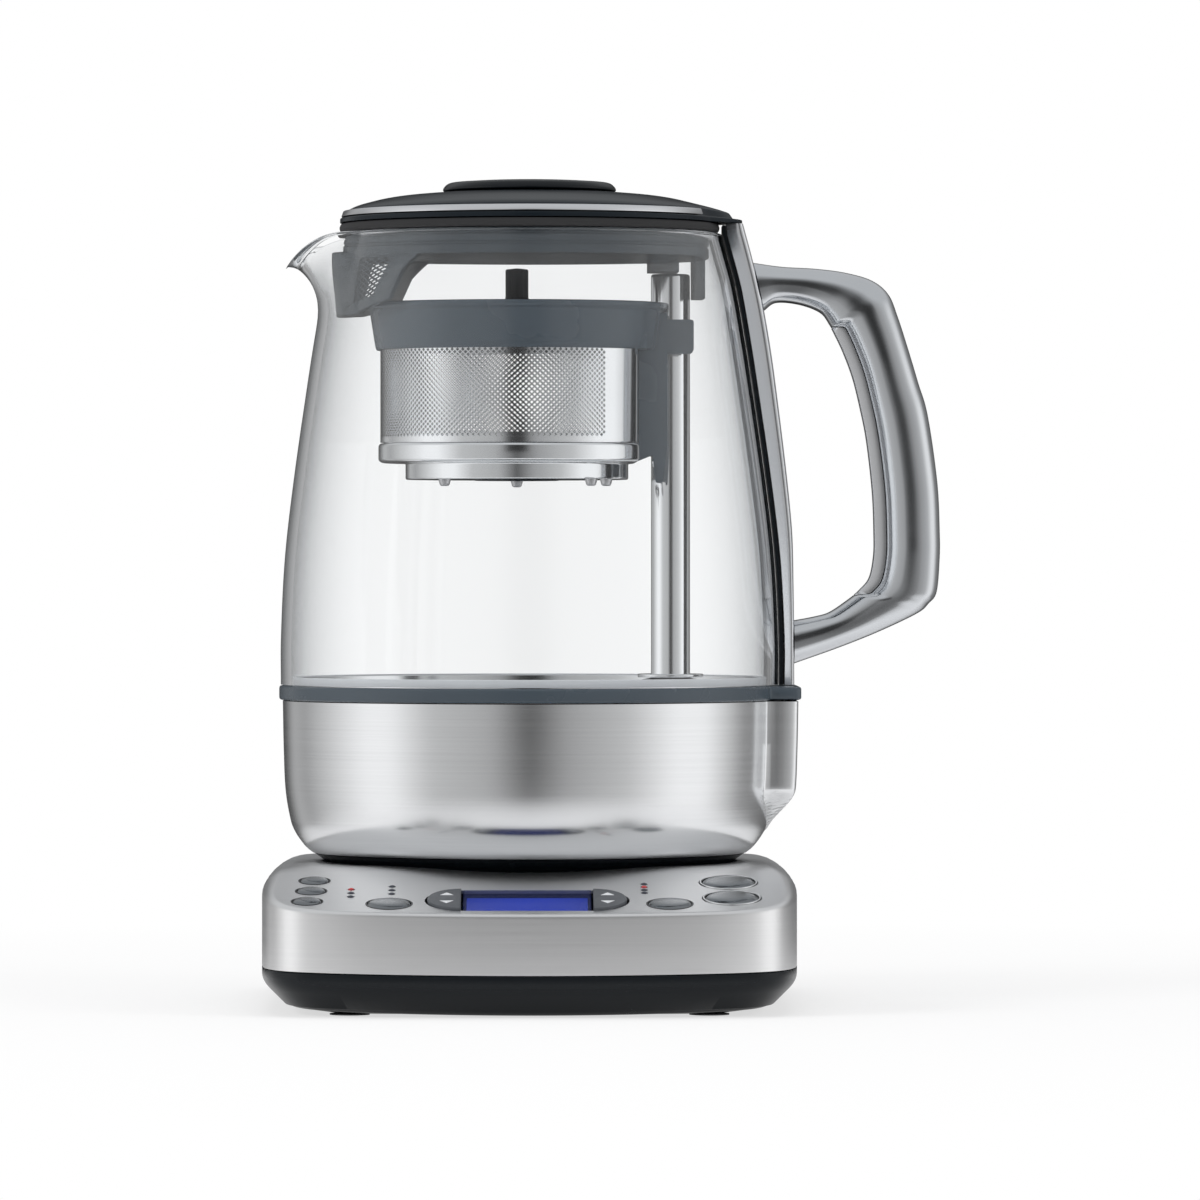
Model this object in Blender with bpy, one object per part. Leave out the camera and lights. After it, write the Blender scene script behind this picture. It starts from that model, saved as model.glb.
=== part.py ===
"""Automatic tea maker: a glass jug with a basket that a motor lifts, on a power base.

Metres, +Z up.  The origin lies on the floor, under the middle of the whole outline.  The jug's upright
axis carries the jug, its lid and its basket, and the base's front is at -Y.
"""
import math

import bmesh
import bpy
from mathutils import Matrix, Vector

# Clearances and the fineness of round shapes
GAP = 0.0003
SLIDE_GAP = 0.0004
OVERRUN = 0.004
MERGE_DISTANCE = 0.00001
JUG_SEGMENTS = 32
MID_SEGMENTS = 20
SMALL_SEGMENTS = 12
TINY_SEGMENTS = 8
TUBE_SEGMENTS = 6
SMOOTH_ANGLE = math.radians(35.0)

# Power base: outline, heights and walls
BASE_WIDTH = 0.163
BASE_DEPTH = 0.200
AXIS_TO_FRONT = 0.115
BASE_SQUARENESS = 10
CORNER_TURN_SHARES = (0.0, 0.28, 0.52, 0.72, 0.86, 0.94)
SIDE_BOW_SHARE = 0.03
FRONT_BOW_SHARE = 0.055
FOOT_HEIGHT = 0.0012
SPLIT_HEIGHT = 0.0125
SPLIT_CORNER_RISE = 0.0012
CREASE_HEIGHT = 0.031
PANEL_RUN = 0.057
PANEL_ANGLE = math.radians(11.8)
FOLD_EASE = 0.008
SHELL_WALL = 0.001
CREASE_RADIUS = 0.0013
SIDE_RADIUS = 0.009
SIDE_RADIUS_RUN = 0.070
INNER_RADIUS_LEAST = 0.0002
TRAY_WALL = 0.002
TRAY_CHAMFER = 0.008
TRAY_LIP = 0.003
TRAY_BOTTOM_RISE = 0.0012
TRAY_FLAT_INSET = 0.018
BASE_TOP = CREASE_HEIGHT + PANEL_RUN * math.tan(PANEL_ANGLE)
BASE_MIDDLE_Y = BASE_DEPTH / 2 - AXIS_TO_FRONT
TRAY_FLOOR = FOOT_HEIGHT + TRAY_WALL
SHELL_LOFT_SHARES = (0.25, 0.48, 0.72, 1.0)
SHOULDER_TURN_SHARES = (0.333, 0.667)

# Feet, screws and the seat under the jug
FOOT_RADIUS = 0.0075
FOOT_PLACE_SHARES = (0.66, 0.74)
SEAT_INSET = 0.0026
SEAT_FLANGE = 0.0025
SEAT_FLANGE_HEIGHT = 0.0017
SEAT_DEPTH = 0.0057
SEAT_THICKNESS = 0.0016
SEAT_WALL_INSET = 0.0013
SEAT_DISH_INSET = 0.0019
SEAT_BOSS_RADIUS = 0.004
SEAT_BOSS_INSET = 0.0105
SCREW_SHANK_RADIUS = 0.00125
SCREW_HEAD_RADIUS = 0.003
SCREW_HEAD_HEIGHT = 0.0012
SCREW_HEAD_DEPTH = 0.0002
SCREW_REACH = 0.010
SCREW_BORE_EXTRA = 0.002

# Cordless connector: the base's boss and the jug's plug half
SOCKET_RADIUS = 0.0162
SOCKET_TOP_RADIUS = 0.0145
SOCKET_HEIGHT = 0.0058
SOCKET_BEND = 0.0013
SOCKET_FLANGE = 0.0023
SOCKET_DEPTH = 0.0062
SOCKET_GROOVE_RADIUS = 0.006
SOCKET_GROOVE_DEPTH = 0.0012
SOCKET_PIN_RADIUS = 0.003
SOCKET_PIN_PROUD = 0.0015
COUPLER_WALL = 0.0035
COUPLER_PLATE = 0.0016
COUPLER_FLANGE = 0.0016
COUPLER_CLEARANCE = 0.0007

# Boards and gland in the base
POWER_BOARD_DEPTH = 0.080
POWER_BOARD_THICKNESS = 0.0016
POWER_BOARD_CLEARANCE = 0.0042
POWER_BOARD_LIFT = 0.004
POWER_PILLAR_RADIUS = 0.0025
POWER_PILLAR_INSET = 0.004
TRANSFORMER_SIZE = (0.028, 0.030, 0.014)
TRANSFORMER_PLACE = (-0.006, -0.016)
GLAND_RADIUS = 0.005
GLAND_BORE_RADIUS = 0.0033
GLAND_FLANGE = 0.0015
GLAND_LENGTH = 0.006
GLAND_HEIGHT = 0.024

# Control panel, in the panel's own plane: across, up the slope, and out of it
BUTTON_TRAVEL = 0.001
BUTTON_PROUD = 0.0009
BUTTON_FLANGE = 0.001
BUTTON_FLANGE_THICKNESS = 0.0008
STEM_RADIUS = 0.0015
SMALL_BUTTON_RADIUS = 0.0043
SMALL_BUTTON_PLACES = {
    "basket_button": (-0.0663, 0.0158),
    "keep_warm_button": (-0.0654, 0.0285),
    "auto_start_button": (-0.0647, 0.0412),
}
ROUND_BUTTON_RADIUS = 0.0065
ROUND_BUTTON_PLACES = {
    "tea_type_button": (-0.0418, 0.0130),
    "strength_button": (0.0418, 0.0130),
}
LARGE_BUTTON_RADIUS = 0.0079
LARGE_BUTTON_PLACES = {
    "start_cancel_button": (0.0604, 0.0201),
    "hot_water_button": (0.0598, 0.0392),
}
RING_WIDTH = 0.0005
RING_FLANGE = 0.0005
RING_FLANGE_THICKNESS = 0.0006
DISPLAY_PLACE = (-0.0007, 0.0170)
DISPLAY_LENGTH = 0.0612
DISPLAY_WIDTH = 0.0250
DISPLAY_END = 0.0112
BUTTON_DOME_SHARES = ((0.0, 1.0), (0.55, 0.93), (0.86, 0.6), (1.0, 0.0))
WINDOW_THICKNESS = 0.0021
WINDOW_PROUD = 0.0002
LCD_INSET = 0.0012
ROCKER_PROUD = 0.0008
ROCKER_DEPTH = 0.0026
ROCKER_TILT_CLEARANCE = 0.0005
LIGHT_RADIUS = 0.0009
LIGHT_PLATE_THICKNESS = 0.001
LIGHT_PLATE_MARGIN = 0.0017
TEA_LIGHT_PLACES = (
    (-0.0534, 0.0216), (-0.0534, 0.0261), (-0.0534, 0.0306),
    (-0.0412, 0.0251), (-0.0412, 0.0296), (-0.0412, 0.0341),
)
STRENGTH_LIGHT_PLACES = ((0.0344, 0.0263), (0.0344, 0.0299), (0.0344, 0.0335), (0.0344, 0.0371))
CARRIER_HALF_WIDTH = 0.0705
CARRIER_LOW_EDGE = 0.010
CARRIER_HIGH_EDGE = 0.048
CARRIER_THICKNESS = 0.002
LEG_RADIUS = 0.003
LEG_SPREAD = 0.050
LEG_ROWS_BEHIND_FRONT = (0.026, 0.042)
CONTROL_BOARD_THICKNESS = 0.0016
CONTROL_BOARD_INSET = 0.002

# Jug: steel body, boss under the handle, collar, floor and glass
BODY_LIFT = 0.0027
BODY_HEIGHT = 0.0469
BODY_INSET = 0.0006
BODY_WALL = 0.001
BODY_SHARES = (
    (0.0, 0.878), (0.07, 0.923), (0.2, 0.966), (0.4, 0.988), (0.67, 0.996), (1.0, 1.0),
)
BODY_RING_SHARES = (0.0, 0.06, 0.16, 0.28, 0.42, 1.0)
BOSS_REACH = 0.0063
BOSS_HALF_WIDTH = 0.023
BOSS_START_SHARE = 0.168
BOSS_FULL_SHARE = 0.424
BOTTOM_RING_INSET = 0.0034
BOTTOM_RING_DROP = 0.0041
BOTTOM_RING_WALL = 0.0015
COLLAR_PROUD = 0.0005
COLLAR_HEIGHT = 0.0044
COLLAR_ROUNDING = 0.0007
COLLAR_REACH = 0.0061
COLLAR_LEDGE_WIDTH = 0.004
COLLAR_LEDGE = 0.0028
PLATE_THICKNESS = 0.0012
PLATE_UPSTAND = 0.0024
PLATE_WALL = 0.0008
SEAL_SPACE = 0.0018
SEAL_HEIGHT = 0.0024
GLASS_RADIUS = 0.077
GLASS_WALL = 0.0032
GLASS_HEIGHT = 0.1395
GLASS_SHARES = (
    (0.0, 1.0), (0.10, 1.0), (0.28, 0.984), (0.455, 0.948), (0.656, 0.896), (0.763, 0.866),
    (0.878, 0.829), (0.95, 0.795), (1.0, 0.770),
)
GLASS_RING_SHARES = (0.0, 0.15, 0.32, 0.50, 0.68, 0.84, 0.90, 0.95, 1.0)
SPOUT_HEIGHT = 0.018
SPOUT_REACH = 0.0158
SPOUT_DROP = 0.009
SPOUT_HALF_ANGLE = math.radians(28.0)
SPOUT_CURVE = 1.3

# Heater, sensor and the basket's lift
ELEMENT_TO_MOTOR = 0.0067
ELEMENT_RADIUS = 0.0032
SENSOR_RADIUS = 0.005
SENSOR_HEIGHT = 0.006
POST_INSET = 0.0156
POST_RADIUS = 0.00605
POST_WALL = 0.00075
POST_TOP_DROP = 0.0128
POST_CAP = 0.001
POST_FLANGE = 0.003
POST_FLANGE_HEIGHT = 0.0016
MOTOR_RADIUS = 0.011
MOTOR_LENGTH = 0.026
SCREW_RADIUS = 0.0017
THREAD_DEPTH = 0.0004
SCREW_LEAD = 0.016
THREAD_RINGS_PER_TURN = 4
SCREW_INTO_MOTOR = 0.010
SCREW_END_CLEARANCE = 0.0012
CARRIAGE_HEIGHT = 0.020

# Basket
BASKET_PLACE = -0.0039
BASKET_DROP = 0.0218
BASKET_FLAT_DEPTH = 0.0052
BASKET_FLAT_TO_POST = 0.0105
BASKET_FLAT_EASE = 0.0015
BASKET_WALL = 0.0006
BASKET_RIM_DROP = 0.0022
BASKET_RIM_LIP = 0.0019
BASKET_HEIGHT = 0.0411
BASKET_SEAM_HEIGHT = 0.0061
PAN_INSET = 0.0078
PAN_DEPTH = 0.0052
PAN_WALL = 0.0008
PAN_UPSTAND = 0.0031
COLLAR_RING_HEIGHT = 0.0145
COLLAR_RING_WIDTH = 0.0047
COLLAR_RING_TAPER = 0.0034
COLLAR_RING_ROUNDING = 0.0006
COLLAR_RING_LIP = 0.0012
COLLAR_RING_LIP_HEIGHT = 0.0024
COLLAR_RING_FOOT_HEIGHT = 0.0018
ARM_TO_POST = 0.0014
ARM_HALF_WIDTH = 0.011
ARM_TOP_DROP = 0.0032
ARM_FALL = 0.0054
ARM_SLANT = 0.004
ARM_TONGUE = 0.0069
TONGUE_WIDTH = 0.003
CLIP_PAST_POST = 0.0067
CLIP_DROP = 0.002
CLIP_HEIGHT = 0.010
CLIP_HALF_WIDTH = 0.009
MAGNET_SIZE = (0.0018, 0.010, 0.020)
MAGNET_LIFT = 0.0161
BASKET_LID_THICKNESS = 0.001
BASKET_LID_LIP = 0.0017
BASKET_KNOB_RADIUS = 0.00355
BASKET_KNOB_HEIGHT = 0.013
BASKET_KNOB_ROUNDING = 0.0005

# Jug lid
LID_INSET = 0.0006
LID_SEAL_HEIGHT = 0.0026
LID_SEAL_WIDTH = 0.0052
LID_WALL = 0.0018
LID_RISE = 0.0096
LID_SHARES = (
    (0.971, 0.16), (0.954, 0.42), (0.911, 0.56), (0.731, 0.84), (0.460, 0.98),
)
TRIM_THICKNESS = 0.001
TRIM_HEIGHT = 0.0021
TRIM_LIFT = 0.0019
TRIM_LEAN = 0.0012
TRIM_OPENING = math.radians(22.0)
TONGUE_REACH = 0.0072
TONGUE_DROP = 0.0026
TONGUE_HALF_ANGLE = math.radians(20.0)
TONGUE_START_SHARE = 0.77
KNOB_RADIUS = 0.0268
KNOB_HEIGHT = 0.0035
KNOB_STEM_RADIUS = 0.0029
KNOB_SHARES = ((0.0, 1.0), (0.56, 0.92), (0.9, 0.66), (1.0, 0.25), (1.0, 0.0))
SKIRT_DEPTH = 0.008
SKIRT_WALL = 0.0016
SKIRT_CLEARANCE = 0.0005
CEILING_THICKNESS = 0.0016
LEG_HALF_ANGLE_TOP = math.radians(50.0)
LEG_HALF_ANGLE_BOTTOM = math.radians(40.0)
LEG_LENGTH = 0.018
LEG_EDGE_RISE = 0.0047
LEG_NOSE = 0.0044
LEG_NOSE_ANGLE = math.radians(10.0)
LEG_NOSE_END_ANGLE = math.radians(17.0)
LEG_WINDOW = (0.018, 0.010)
LEG_SECTIONS = 12
COVER_CLEARANCE = 0.0005
COVER_BEFORE_POST = 0.0071
COVER_SPLIT_PAST_POST = 0.0023
COVER_PAST_POST = 0.0103
COVER_HALF_WIDTH = 0.009
COVER_SIDE_DROP = 0.0076

# Spine and handle
SPINE_PROUD = 0.0048
SPINE_EDGE_SHARE = 0.333
SPINE_HALF_WIDTH = 0.010
SPINE_SHARES = (
    (0.0, 1.0), (0.208, 0.9975), (0.355, 0.989), (0.662, 0.927), (0.811, 0.886), (0.916, 0.845),
    (1.0, 0.806),
)
SPINE_RING_SHARES = (0.0, 0.208, 0.355, 0.5, 0.662, 0.811, 0.916, 1.0)
STRIP_THICKNESS = 0.001
STRIP_HALF_WIDTH = 0.008
STRIP_TOP_INSET = 0.004
HANDLE_REACH = 0.1271
HANDLE_TOP_DROP = 0.009
HANDLE_LIFT = 0.0064
HANDLE_HALF_WIDTH = 0.0105
HANDLE_SHARES = (
    (0.00, 1.00, 0.00, 0.88, 0.84), (0.15, 0.99, 0.08, 0.90, 0.82), (0.33, 0.985, 0.21, 0.895, 0.82),
    (0.49, 0.975, 0.32, 0.875, 0.86), (0.63, 0.955, 0.365, 0.845, 0.92), (0.715, 0.92, 0.395, 0.815, 0.96),
    (0.76, 0.865, 0.43, 0.775, 0.98), (0.81, 0.79, 0.475, 0.71, 1.00), (0.87, 0.70, 0.51, 0.63, 1.00),
    (0.925, 0.62, 0.535, 0.555, 1.00), (0.985, 0.45, 0.555, 0.43, 1.00), (1.00, 0.33, 0.555, 0.33, 1.00),
    (1.00, 0.265, 0.55, 0.27, 1.00), (0.98, 0.18, 0.52, 0.215, 0.98), (0.925, 0.15, 0.455, 0.185, 0.94),
    (0.845, 0.125, 0.39, 0.165, 0.90), (0.585, 0.08, 0.25, 0.13, 0.84), (0.31, 0.04, 0.145, 0.118, 0.82),
    (0.00, 0.00, 0.00, 0.108, 0.84),
)
GRIP_SECTION_SHARES = (
    (-1.0, -0.56), (-1.0, 0.56), (-0.74, 0.86), (-0.2, 1.0), (0.4, 1.0), (0.82, 0.8),
    (1.0, 0.45), (1.0, -0.45), (0.82, -0.8), (0.4, -1.0), (-0.2, -1.0), (-0.74, -0.86),
)
INSERT_THICKNESS = 0.0034
INSERT_WIDTH_SHARE = 0.52
INSERT_EDGE_SHARE = 0.8
INSERT_FIRST = 5
INSERT_LAST = 14
HANDLE_SCREW_LIFT = 0.0067
HANDLE_SCREW_RADIUS = 0.0013
HANDLE_SCREW_HEAD = 0.0025
HANDLE_SCREW_HEAD_HEIGHT = 0.0014
HANDLE_SCREW_REACH = 0.007

# The jug's axis, set so that the whole outline is centred on the origin
AXIS_X = -(HANDLE_REACH - BASE_WIDTH / 2) / 2
AXIS_Y = -BASE_MIDDLE_Y


def interpolate(pairs, at):
    """Value on the broken line through (place, value) pairs."""
    for (low, low_value), (high, high_value) in zip(pairs, pairs[1:]):
        if at <= high:
            return low_value + (high_value - low_value) * (at - low) / (high - low)
    return pairs[-1][1]


def smooth_curve(pairs, at):
    """Value on a smooth curve through (place, value) pairs, with slopes taken from the neighbours."""
    for index in range(len(pairs) - 1):
        (low, low_value), (high, high_value) = pairs[index], pairs[index + 1]
        if at <= high or index == len(pairs) - 2:
            before = pairs[max(index - 1, 0)]
            after = pairs[min(index + 2, len(pairs) - 1)]
            span = high - low
            low_slope = (high_value - before[1]) / (high - before[0]) * span
            high_slope = (after[1] - low_value) / (after[0] - low) * span
            t = min(max((at - low) / span, 0.0), 1.0)
            rise = t * t * (3 - 2 * t)
            return (low_value + (high_value - low_value) * rise
                    + low_slope * t * (1 - t) ** 2 - high_slope * t * t * (1 - t))
    return pairs[-1][1]


def ease(value):
    """Smooth step from 0 to 1."""
    t = min(max(value, 0.0), 1.0)
    return t * t * (3 - 2 * t)


def bell(angle, half_angle):
    """1 at zero angle, falling smoothly to 0 at the half angle."""
    if abs(angle) >= half_angle:
        return 0.0
    return math.cos(math.pi / 2 * angle / half_angle) ** 2


def angles(count):
    """Evenly spaced angles of a full turn."""
    return [2 * math.pi * index / count for index in range(count)]


def base_angles():
    """Angles about the base's middle, close together at its corners."""
    corner = math.atan2(BASE_DEPTH, BASE_WIDTH)
    quarter = [corner * share for share in CORNER_TURN_SHARES] + [corner]
    rest = math.pi / 2 - corner
    quarter += [math.pi / 2 - rest * share for share in reversed(CORNER_TURN_SHARES)]
    half = quarter + [math.pi - turn for turn in reversed(quarter[:-1])]
    return half[:-1] + [math.pi + turn for turn in half[:-1]]


def clear_objects():
    """Empties the scene of objects."""
    for old in list(bpy.data.objects):
        bpy.data.objects.remove(old)


def make_material(name, colour, roughness, metallic):
    """A Principled material."""
    material = bpy.data.materials.new(name)
    material.use_nodes = True
    shader = material.node_tree.nodes["Principled BSDF"]
    shader.inputs["Base Color"].default_value = (*colour, 1.0)
    shader.inputs["Roughness"].default_value = roughness
    shader.inputs["Metallic"].default_value = metallic
    material.diffuse_color = (*colour, 1.0)
    return material


def add_empty(name, location, rotation=(0.0, 0.0, 0.0), parent=None):
    """An empty that carries other objects."""
    empty = bpy.data.objects.new(name, None)
    empty.location = location
    empty.rotation_euler = rotation
    empty.parent = parent
    bpy.context.scene.collection.objects.link(empty)
    return empty


def add_object(name, bm, material, parent, location=(0.0, 0.0, 0.0)):
    """Turns a bmesh into a named object that its parent carries."""
    bmesh.ops.recalc_face_normals(bm, faces=bm.faces)
    mesh = bpy.data.meshes.new(name)
    bm.to_mesh(mesh)
    bm.free()
    mesh.shade_smooth()
    mesh.set_sharp_from_angle(angle=SMOOTH_ANGLE)
    thing = bpy.data.objects.new(name, mesh)
    thing.location = location
    thing.parent = parent
    if material is not None:
        mesh.materials.append(material)
    bpy.context.scene.collection.objects.link(thing)
    return thing


def boolean(target, operation, bm, parent=None, location=(0.0, 0.0, 0.0)):
    """Cuts or joins a helper shape that isn't a piece of the object."""
    number = len(target.modifiers)
    helper = add_object(f"{target.name}_helper_{number}", bm, None, parent, location)
    helper.hide_render = True
    helper.display_type = "WIRE"
    modifier = target.modifiers.new(f"{operation.lower()}_{number}", "BOOLEAN")
    modifier.operation = operation
    modifier.object = helper
    modifier.solver = "EXACT"
    return helper


def cylinder(bm, radius, low, high, segments=SMALL_SEGMENTS, at=(0.0, 0.0)):
    """Adds an upright cylinder to a bmesh."""
    middle = Matrix.Translation((at[0], at[1], (low + high) / 2))
    bmesh.ops.create_cone(bm, cap_ends=True, cap_tris=False, segments=segments, radius1=radius,
                          radius2=radius, depth=high - low, matrix=middle)


def box(bm, low, high):
    """Adds a box between two corners to a bmesh."""
    low = Vector(low)
    high = Vector(high)
    size = high - low
    place = Matrix.Translation((low + high) / 2) @ Matrix.Diagonal((*size, 1.0))
    bmesh.ops.create_cube(bm, size=1.0, matrix=place)


def turned(profile, segments):
    """Spins a closed (radius, height) outline about the upright axis."""
    bm = bmesh.new()
    verts = [bm.verts.new((radius, 0.0, height)) for radius, height in profile]
    edges = [bm.edges.new((verts[i], verts[(i + 1) % len(verts)])) for i in range(len(verts))]
    bmesh.ops.spin(bm, geom=verts + edges, cent=(0, 0, 0), axis=(0, 0, 1), angle=2 * math.pi,
                   steps=segments, use_merge=True)
    bmesh.ops.remove_doubles(bm, verts=bm.verts, dist=MERGE_DISTANCE)
    on_axis = [edge for edge in bm.edges if not edge.link_faces]
    bmesh.ops.delete(bm, geom=on_axis, context="EDGES")
    return bm


def loft(rings, closed=False):
    """Skins a row of rings; the ends are capped, or the last ring joins the first."""
    bm = bmesh.new()
    skins = [[bm.verts.new(point) for point in ring] for ring in rings]
    pairs = list(zip(skins, skins[1:]))
    if closed:
        pairs.append((skins[-1], skins[0]))
    for low, high in pairs:
        count = len(low)
        for index in range(count):
            after = (index + 1) % count
            bm.faces.new((low[index], low[after], high[after], high[index]))
    if not closed:
        bm.faces.new(list(reversed(skins[0])))
        bm.faces.new(skins[-1])
    return bm


def prism(outline, low, high, axis="Z"):
    """Extrudes a flat outline; with axis Y the outline lies in X and Z."""
    bm = bmesh.new()
    if axis == "Z":
        verts = [bm.verts.new((x, y, low)) for x, y in outline]
        step = Vector((0.0, 0.0, high - low))
    else:
        verts = [bm.verts.new((x, low, z)) for x, z in outline]
        step = Vector((0.0, high - low, 0.0))
    face = bm.faces.new(verts)
    grown = bmesh.ops.extrude_face_region(bm, geom=[face])["geom"]
    moved = [item for item in grown if isinstance(item, bmesh.types.BMVert)]
    bmesh.ops.translate(bm, verts=moved, vec=step)
    return bm


# Outlines that several pieces follow

def plan_point(angle, inset):
    """Point of the base's outline from above, drawn in by the inset: a bowed, rounded rectangle."""
    half_width = BASE_WIDTH / 2 - inset
    half_depth = BASE_DEPTH / 2 - inset
    across = math.cos(angle)
    along = math.sin(angle)
    reach = (abs(across / half_width) ** BASE_SQUARENESS
             + abs(along / half_depth) ** BASE_SQUARENESS) ** (-1 / BASE_SQUARENESS)
    x = reach * across
    y = reach * along
    bowed_x = x * (1 - SIDE_BOW_SHARE * (y / half_depth) ** 2)
    bowed_y = y * (1 - FRONT_BOW_SHARE * (x / half_width) ** 2)
    return Vector((bowed_x, bowed_y + BASE_MIDDLE_Y, 0.0))


def at_height(point, height):
    """The same place in plan, at a height."""
    return Vector((point.x, point.y, height))


def top_height(y):
    """Height of the shell's outer face: the sloped panel eases into the flat seat."""
    behind = y + AXIS_TO_FRONT - PANEL_RUN
    slope = math.tan(PANEL_ANGLE)
    if behind <= -FOLD_EASE:
        return BASE_TOP + slope * behind
    if behind >= FOLD_EASE:
        return BASE_TOP
    return BASE_TOP - slope * (FOLD_EASE - behind) ** 2 / (4 * FOLD_EASE)


def corner_lift(point, rise):
    """How much an edge of the base rises towards its corners."""
    return rise * (point.x / (BASE_WIDTH / 2)) ** 2


def split_height(point):
    """Height of the line between tray and shell."""
    return SPLIT_HEIGHT + corner_lift(point, SPLIT_CORNER_RISE)


def glass_radius(height):
    """Outer radius of the round glass, without its spout."""
    share = (height - GLASS_BOTTOM) / (GLASS_TOP - GLASS_BOTTOM)
    return GLASS_RADIUS * smooth_curve(GLASS_SHARES, min(max(share, 0.0), 1.0))


def body_radius(height):
    """Outer radius of the steel body, without its boss."""
    share = (height - BODY_BOTTOM) / (BODY_TOP - BODY_BOTTOM)
    return BODY_RADIUS * smooth_curve(BODY_SHARES, share)


def lobed_point(angle, radius, reach, half_width, height):
    """Point of a circle with a flat boss on its handle side."""
    distance = radius
    if reach > 0 and abs(math.cos(angle)) > abs(math.sin(angle)) and math.cos(angle) > 0:
        side = abs(math.sin(angle))
        to_face = (radius + reach) / math.cos(angle)
        to_side = half_width / side if side > 0 else to_face
        distance = max(radius, min(to_face, to_side))
    return Vector((distance * math.cos(angle), distance * math.sin(angle), height))


def basket_point(angle, radius, height):
    """Point of a basket ring: round, with a flat towards the post."""
    flat = BASKET_FLAT + max(radius - BASKET_RADIUS, -BASKET_FLAT_EASE)
    return Vector((min(radius * math.cos(angle), flat), radius * math.sin(angle), height))


def spine_outer(height):
    """Outer face of the spine."""
    share = (height - GLASS_BOTTOM) / (SPINE_TOP - GLASS_BOTTOM)
    return SPINE_REACH * interpolate(SPINE_SHARES, share)


def spine_inner(height):
    """Inner face of the spine, clear of the dark strip that lies on the glass."""
    return glass_radius(min(height, GLASS_TOP)) + STRIP_THICKNESS + 2 * GAP


# Heights that follow from pieces that rest on each other
SEAT_FLOOR = BASE_TOP - SEAT_DEPTH
SOCKET_TOP = SEAT_FLOOR + SOCKET_HEIGHT
SOCKET_GROOVE_FLOOR = SEAT_FLOOR - SOCKET_GROOVE_DEPTH
SOCKET_PIN_TOP = SOCKET_TOP + SOCKET_PIN_PROUD
BODY_BOTTOM = BASE_TOP + BODY_LIFT
BODY_TOP = BODY_BOTTOM + BODY_HEIGHT
BODY_RADIUS = GLASS_RADIUS - BODY_INSET
SEAT_HOLE_RADIUS = BODY_RADIUS * BODY_SHARES[0][1] - SEAT_INSET
SEAT_BOSS_CIRCLE = SEAT_HOLE_RADIUS - SEAT_BOSS_INSET
SEAT_BOSS_PLACE = SEAT_BOSS_CIRCLE * math.cos(math.pi / 4)
POWER_BOARD_WIDTH = 2 * (SEAT_BOSS_PLACE - SEAT_BOSS_RADIUS - POWER_BOARD_CLEARANCE)
BOTTOM_RING_RADIUS = SEAT_HOLE_RADIUS - BOTTOM_RING_INSET
BOTTOM_RING_HEIGHT = BODY_BOTTOM - BOTTOM_RING_DROP
COLLAR_RADIUS = GLASS_RADIUS + COLLAR_PROUD
COLLAR_BOTTOM = BODY_TOP + GAP
COLLAR_TOP = COLLAR_BOTTOM + COLLAR_HEIGHT
GLASS_BOTTOM = COLLAR_TOP + GAP
GLASS_TOP = GLASS_BOTTOM + GLASS_HEIGHT
SPOUT_START = GLASS_TOP - SPOUT_HEIGHT
PLATE_RADIUS = GLASS_RADIUS - GLASS_WALL - SEAL_SPACE
COLLAR_LEDGE_RADIUS = PLATE_RADIUS - COLLAR_LEDGE_WIDTH
PLATE_BOTTOM = COLLAR_BOTTOM + COLLAR_LEDGE + GAP
PLATE_TOP = PLATE_BOTTOM + PLATE_THICKNESS
POST_BOTTOM = PLATE_TOP + GAP
POST_TOP = GLASS_TOP - POST_TOP_DROP
RIM_RADIUS = GLASS_RADIUS * GLASS_SHARES[-1][1]
POST_PLACE = RIM_RADIUS - POST_INSET
ELEMENT_CIRCLE = POST_PLACE - MOTOR_RADIUS - ELEMENT_TO_MOTOR
COLLAR_RING_TOP = GLASS_TOP - BASKET_DROP
BASKET_RIM = COLLAR_RING_TOP - BASKET_RIM_DROP
BASKET_SEAM = BASKET_RIM - BASKET_HEIGHT
BASKET_FLAT = POST_PLACE - BASKET_FLAT_TO_POST - BASKET_PLACE
BASKET_RADIUS = BASKET_FLAT + BASKET_FLAT_DEPTH
PAN_RADIUS = BASKET_RADIUS - PAN_INSET
COLLAR_RING_RADIUS = BASKET_RADIUS + COLLAR_RING_WIDTH
ARM_OUTER = POST_PLACE - ARM_TO_POST
ARM_TOP = COLLAR_RING_TOP - ARM_TOP_DROP
ARM_BOTTOM = BASKET_SEAM - ARM_FALL
TONGUE_BOTTOM = ARM_BOTTOM - ARM_TONGUE
CLIP_REACH = POST_PLACE + CLIP_PAST_POST
CLIP_TOP = ARM_TOP - CLIP_DROP
MAGNET_HEIGHT = BASKET_SEAM + MAGNET_LIFT
BASKET_KNOB_TOP = BASKET_RIM + BASKET_KNOB_HEIGHT
LID_RADIUS = RIM_RADIUS - LID_INSET
LID_SEAL_INNER = LID_RADIUS - LID_SEAL_WIDTH
LID_SEAL_BOTTOM = GLASS_TOP + GAP
LID_BOTTOM = LID_SEAL_BOTTOM + LID_SEAL_HEIGHT + GAP
SKIRT_RADIUS = RIM_RADIUS - GLASS_WALL - SKIRT_CLEARANCE
CEILING_TOP = LID_BOTTOM - GAP
LID_TOP = LID_BOTTOM + LID_RISE
SKIRT_BOTTOM = GLASS_TOP - SKIRT_DEPTH
LEG_BOTTOM = SKIRT_BOTTOM - LEG_LENGTH
COVER_BOTTOM = POST_TOP + COVER_CLEARANCE
COVER_INNER = POST_PLACE - COVER_BEFORE_POST
COVER_SPLIT = POST_PLACE + COVER_SPLIT_PAST_POST
COVER_OUTER = POST_PLACE + COVER_PAST_POST
COVER_SIDE_BOTTOM = POST_TOP - COVER_SIDE_DROP
SPINE_TOP = LID_BOTTOM - GAP
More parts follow.
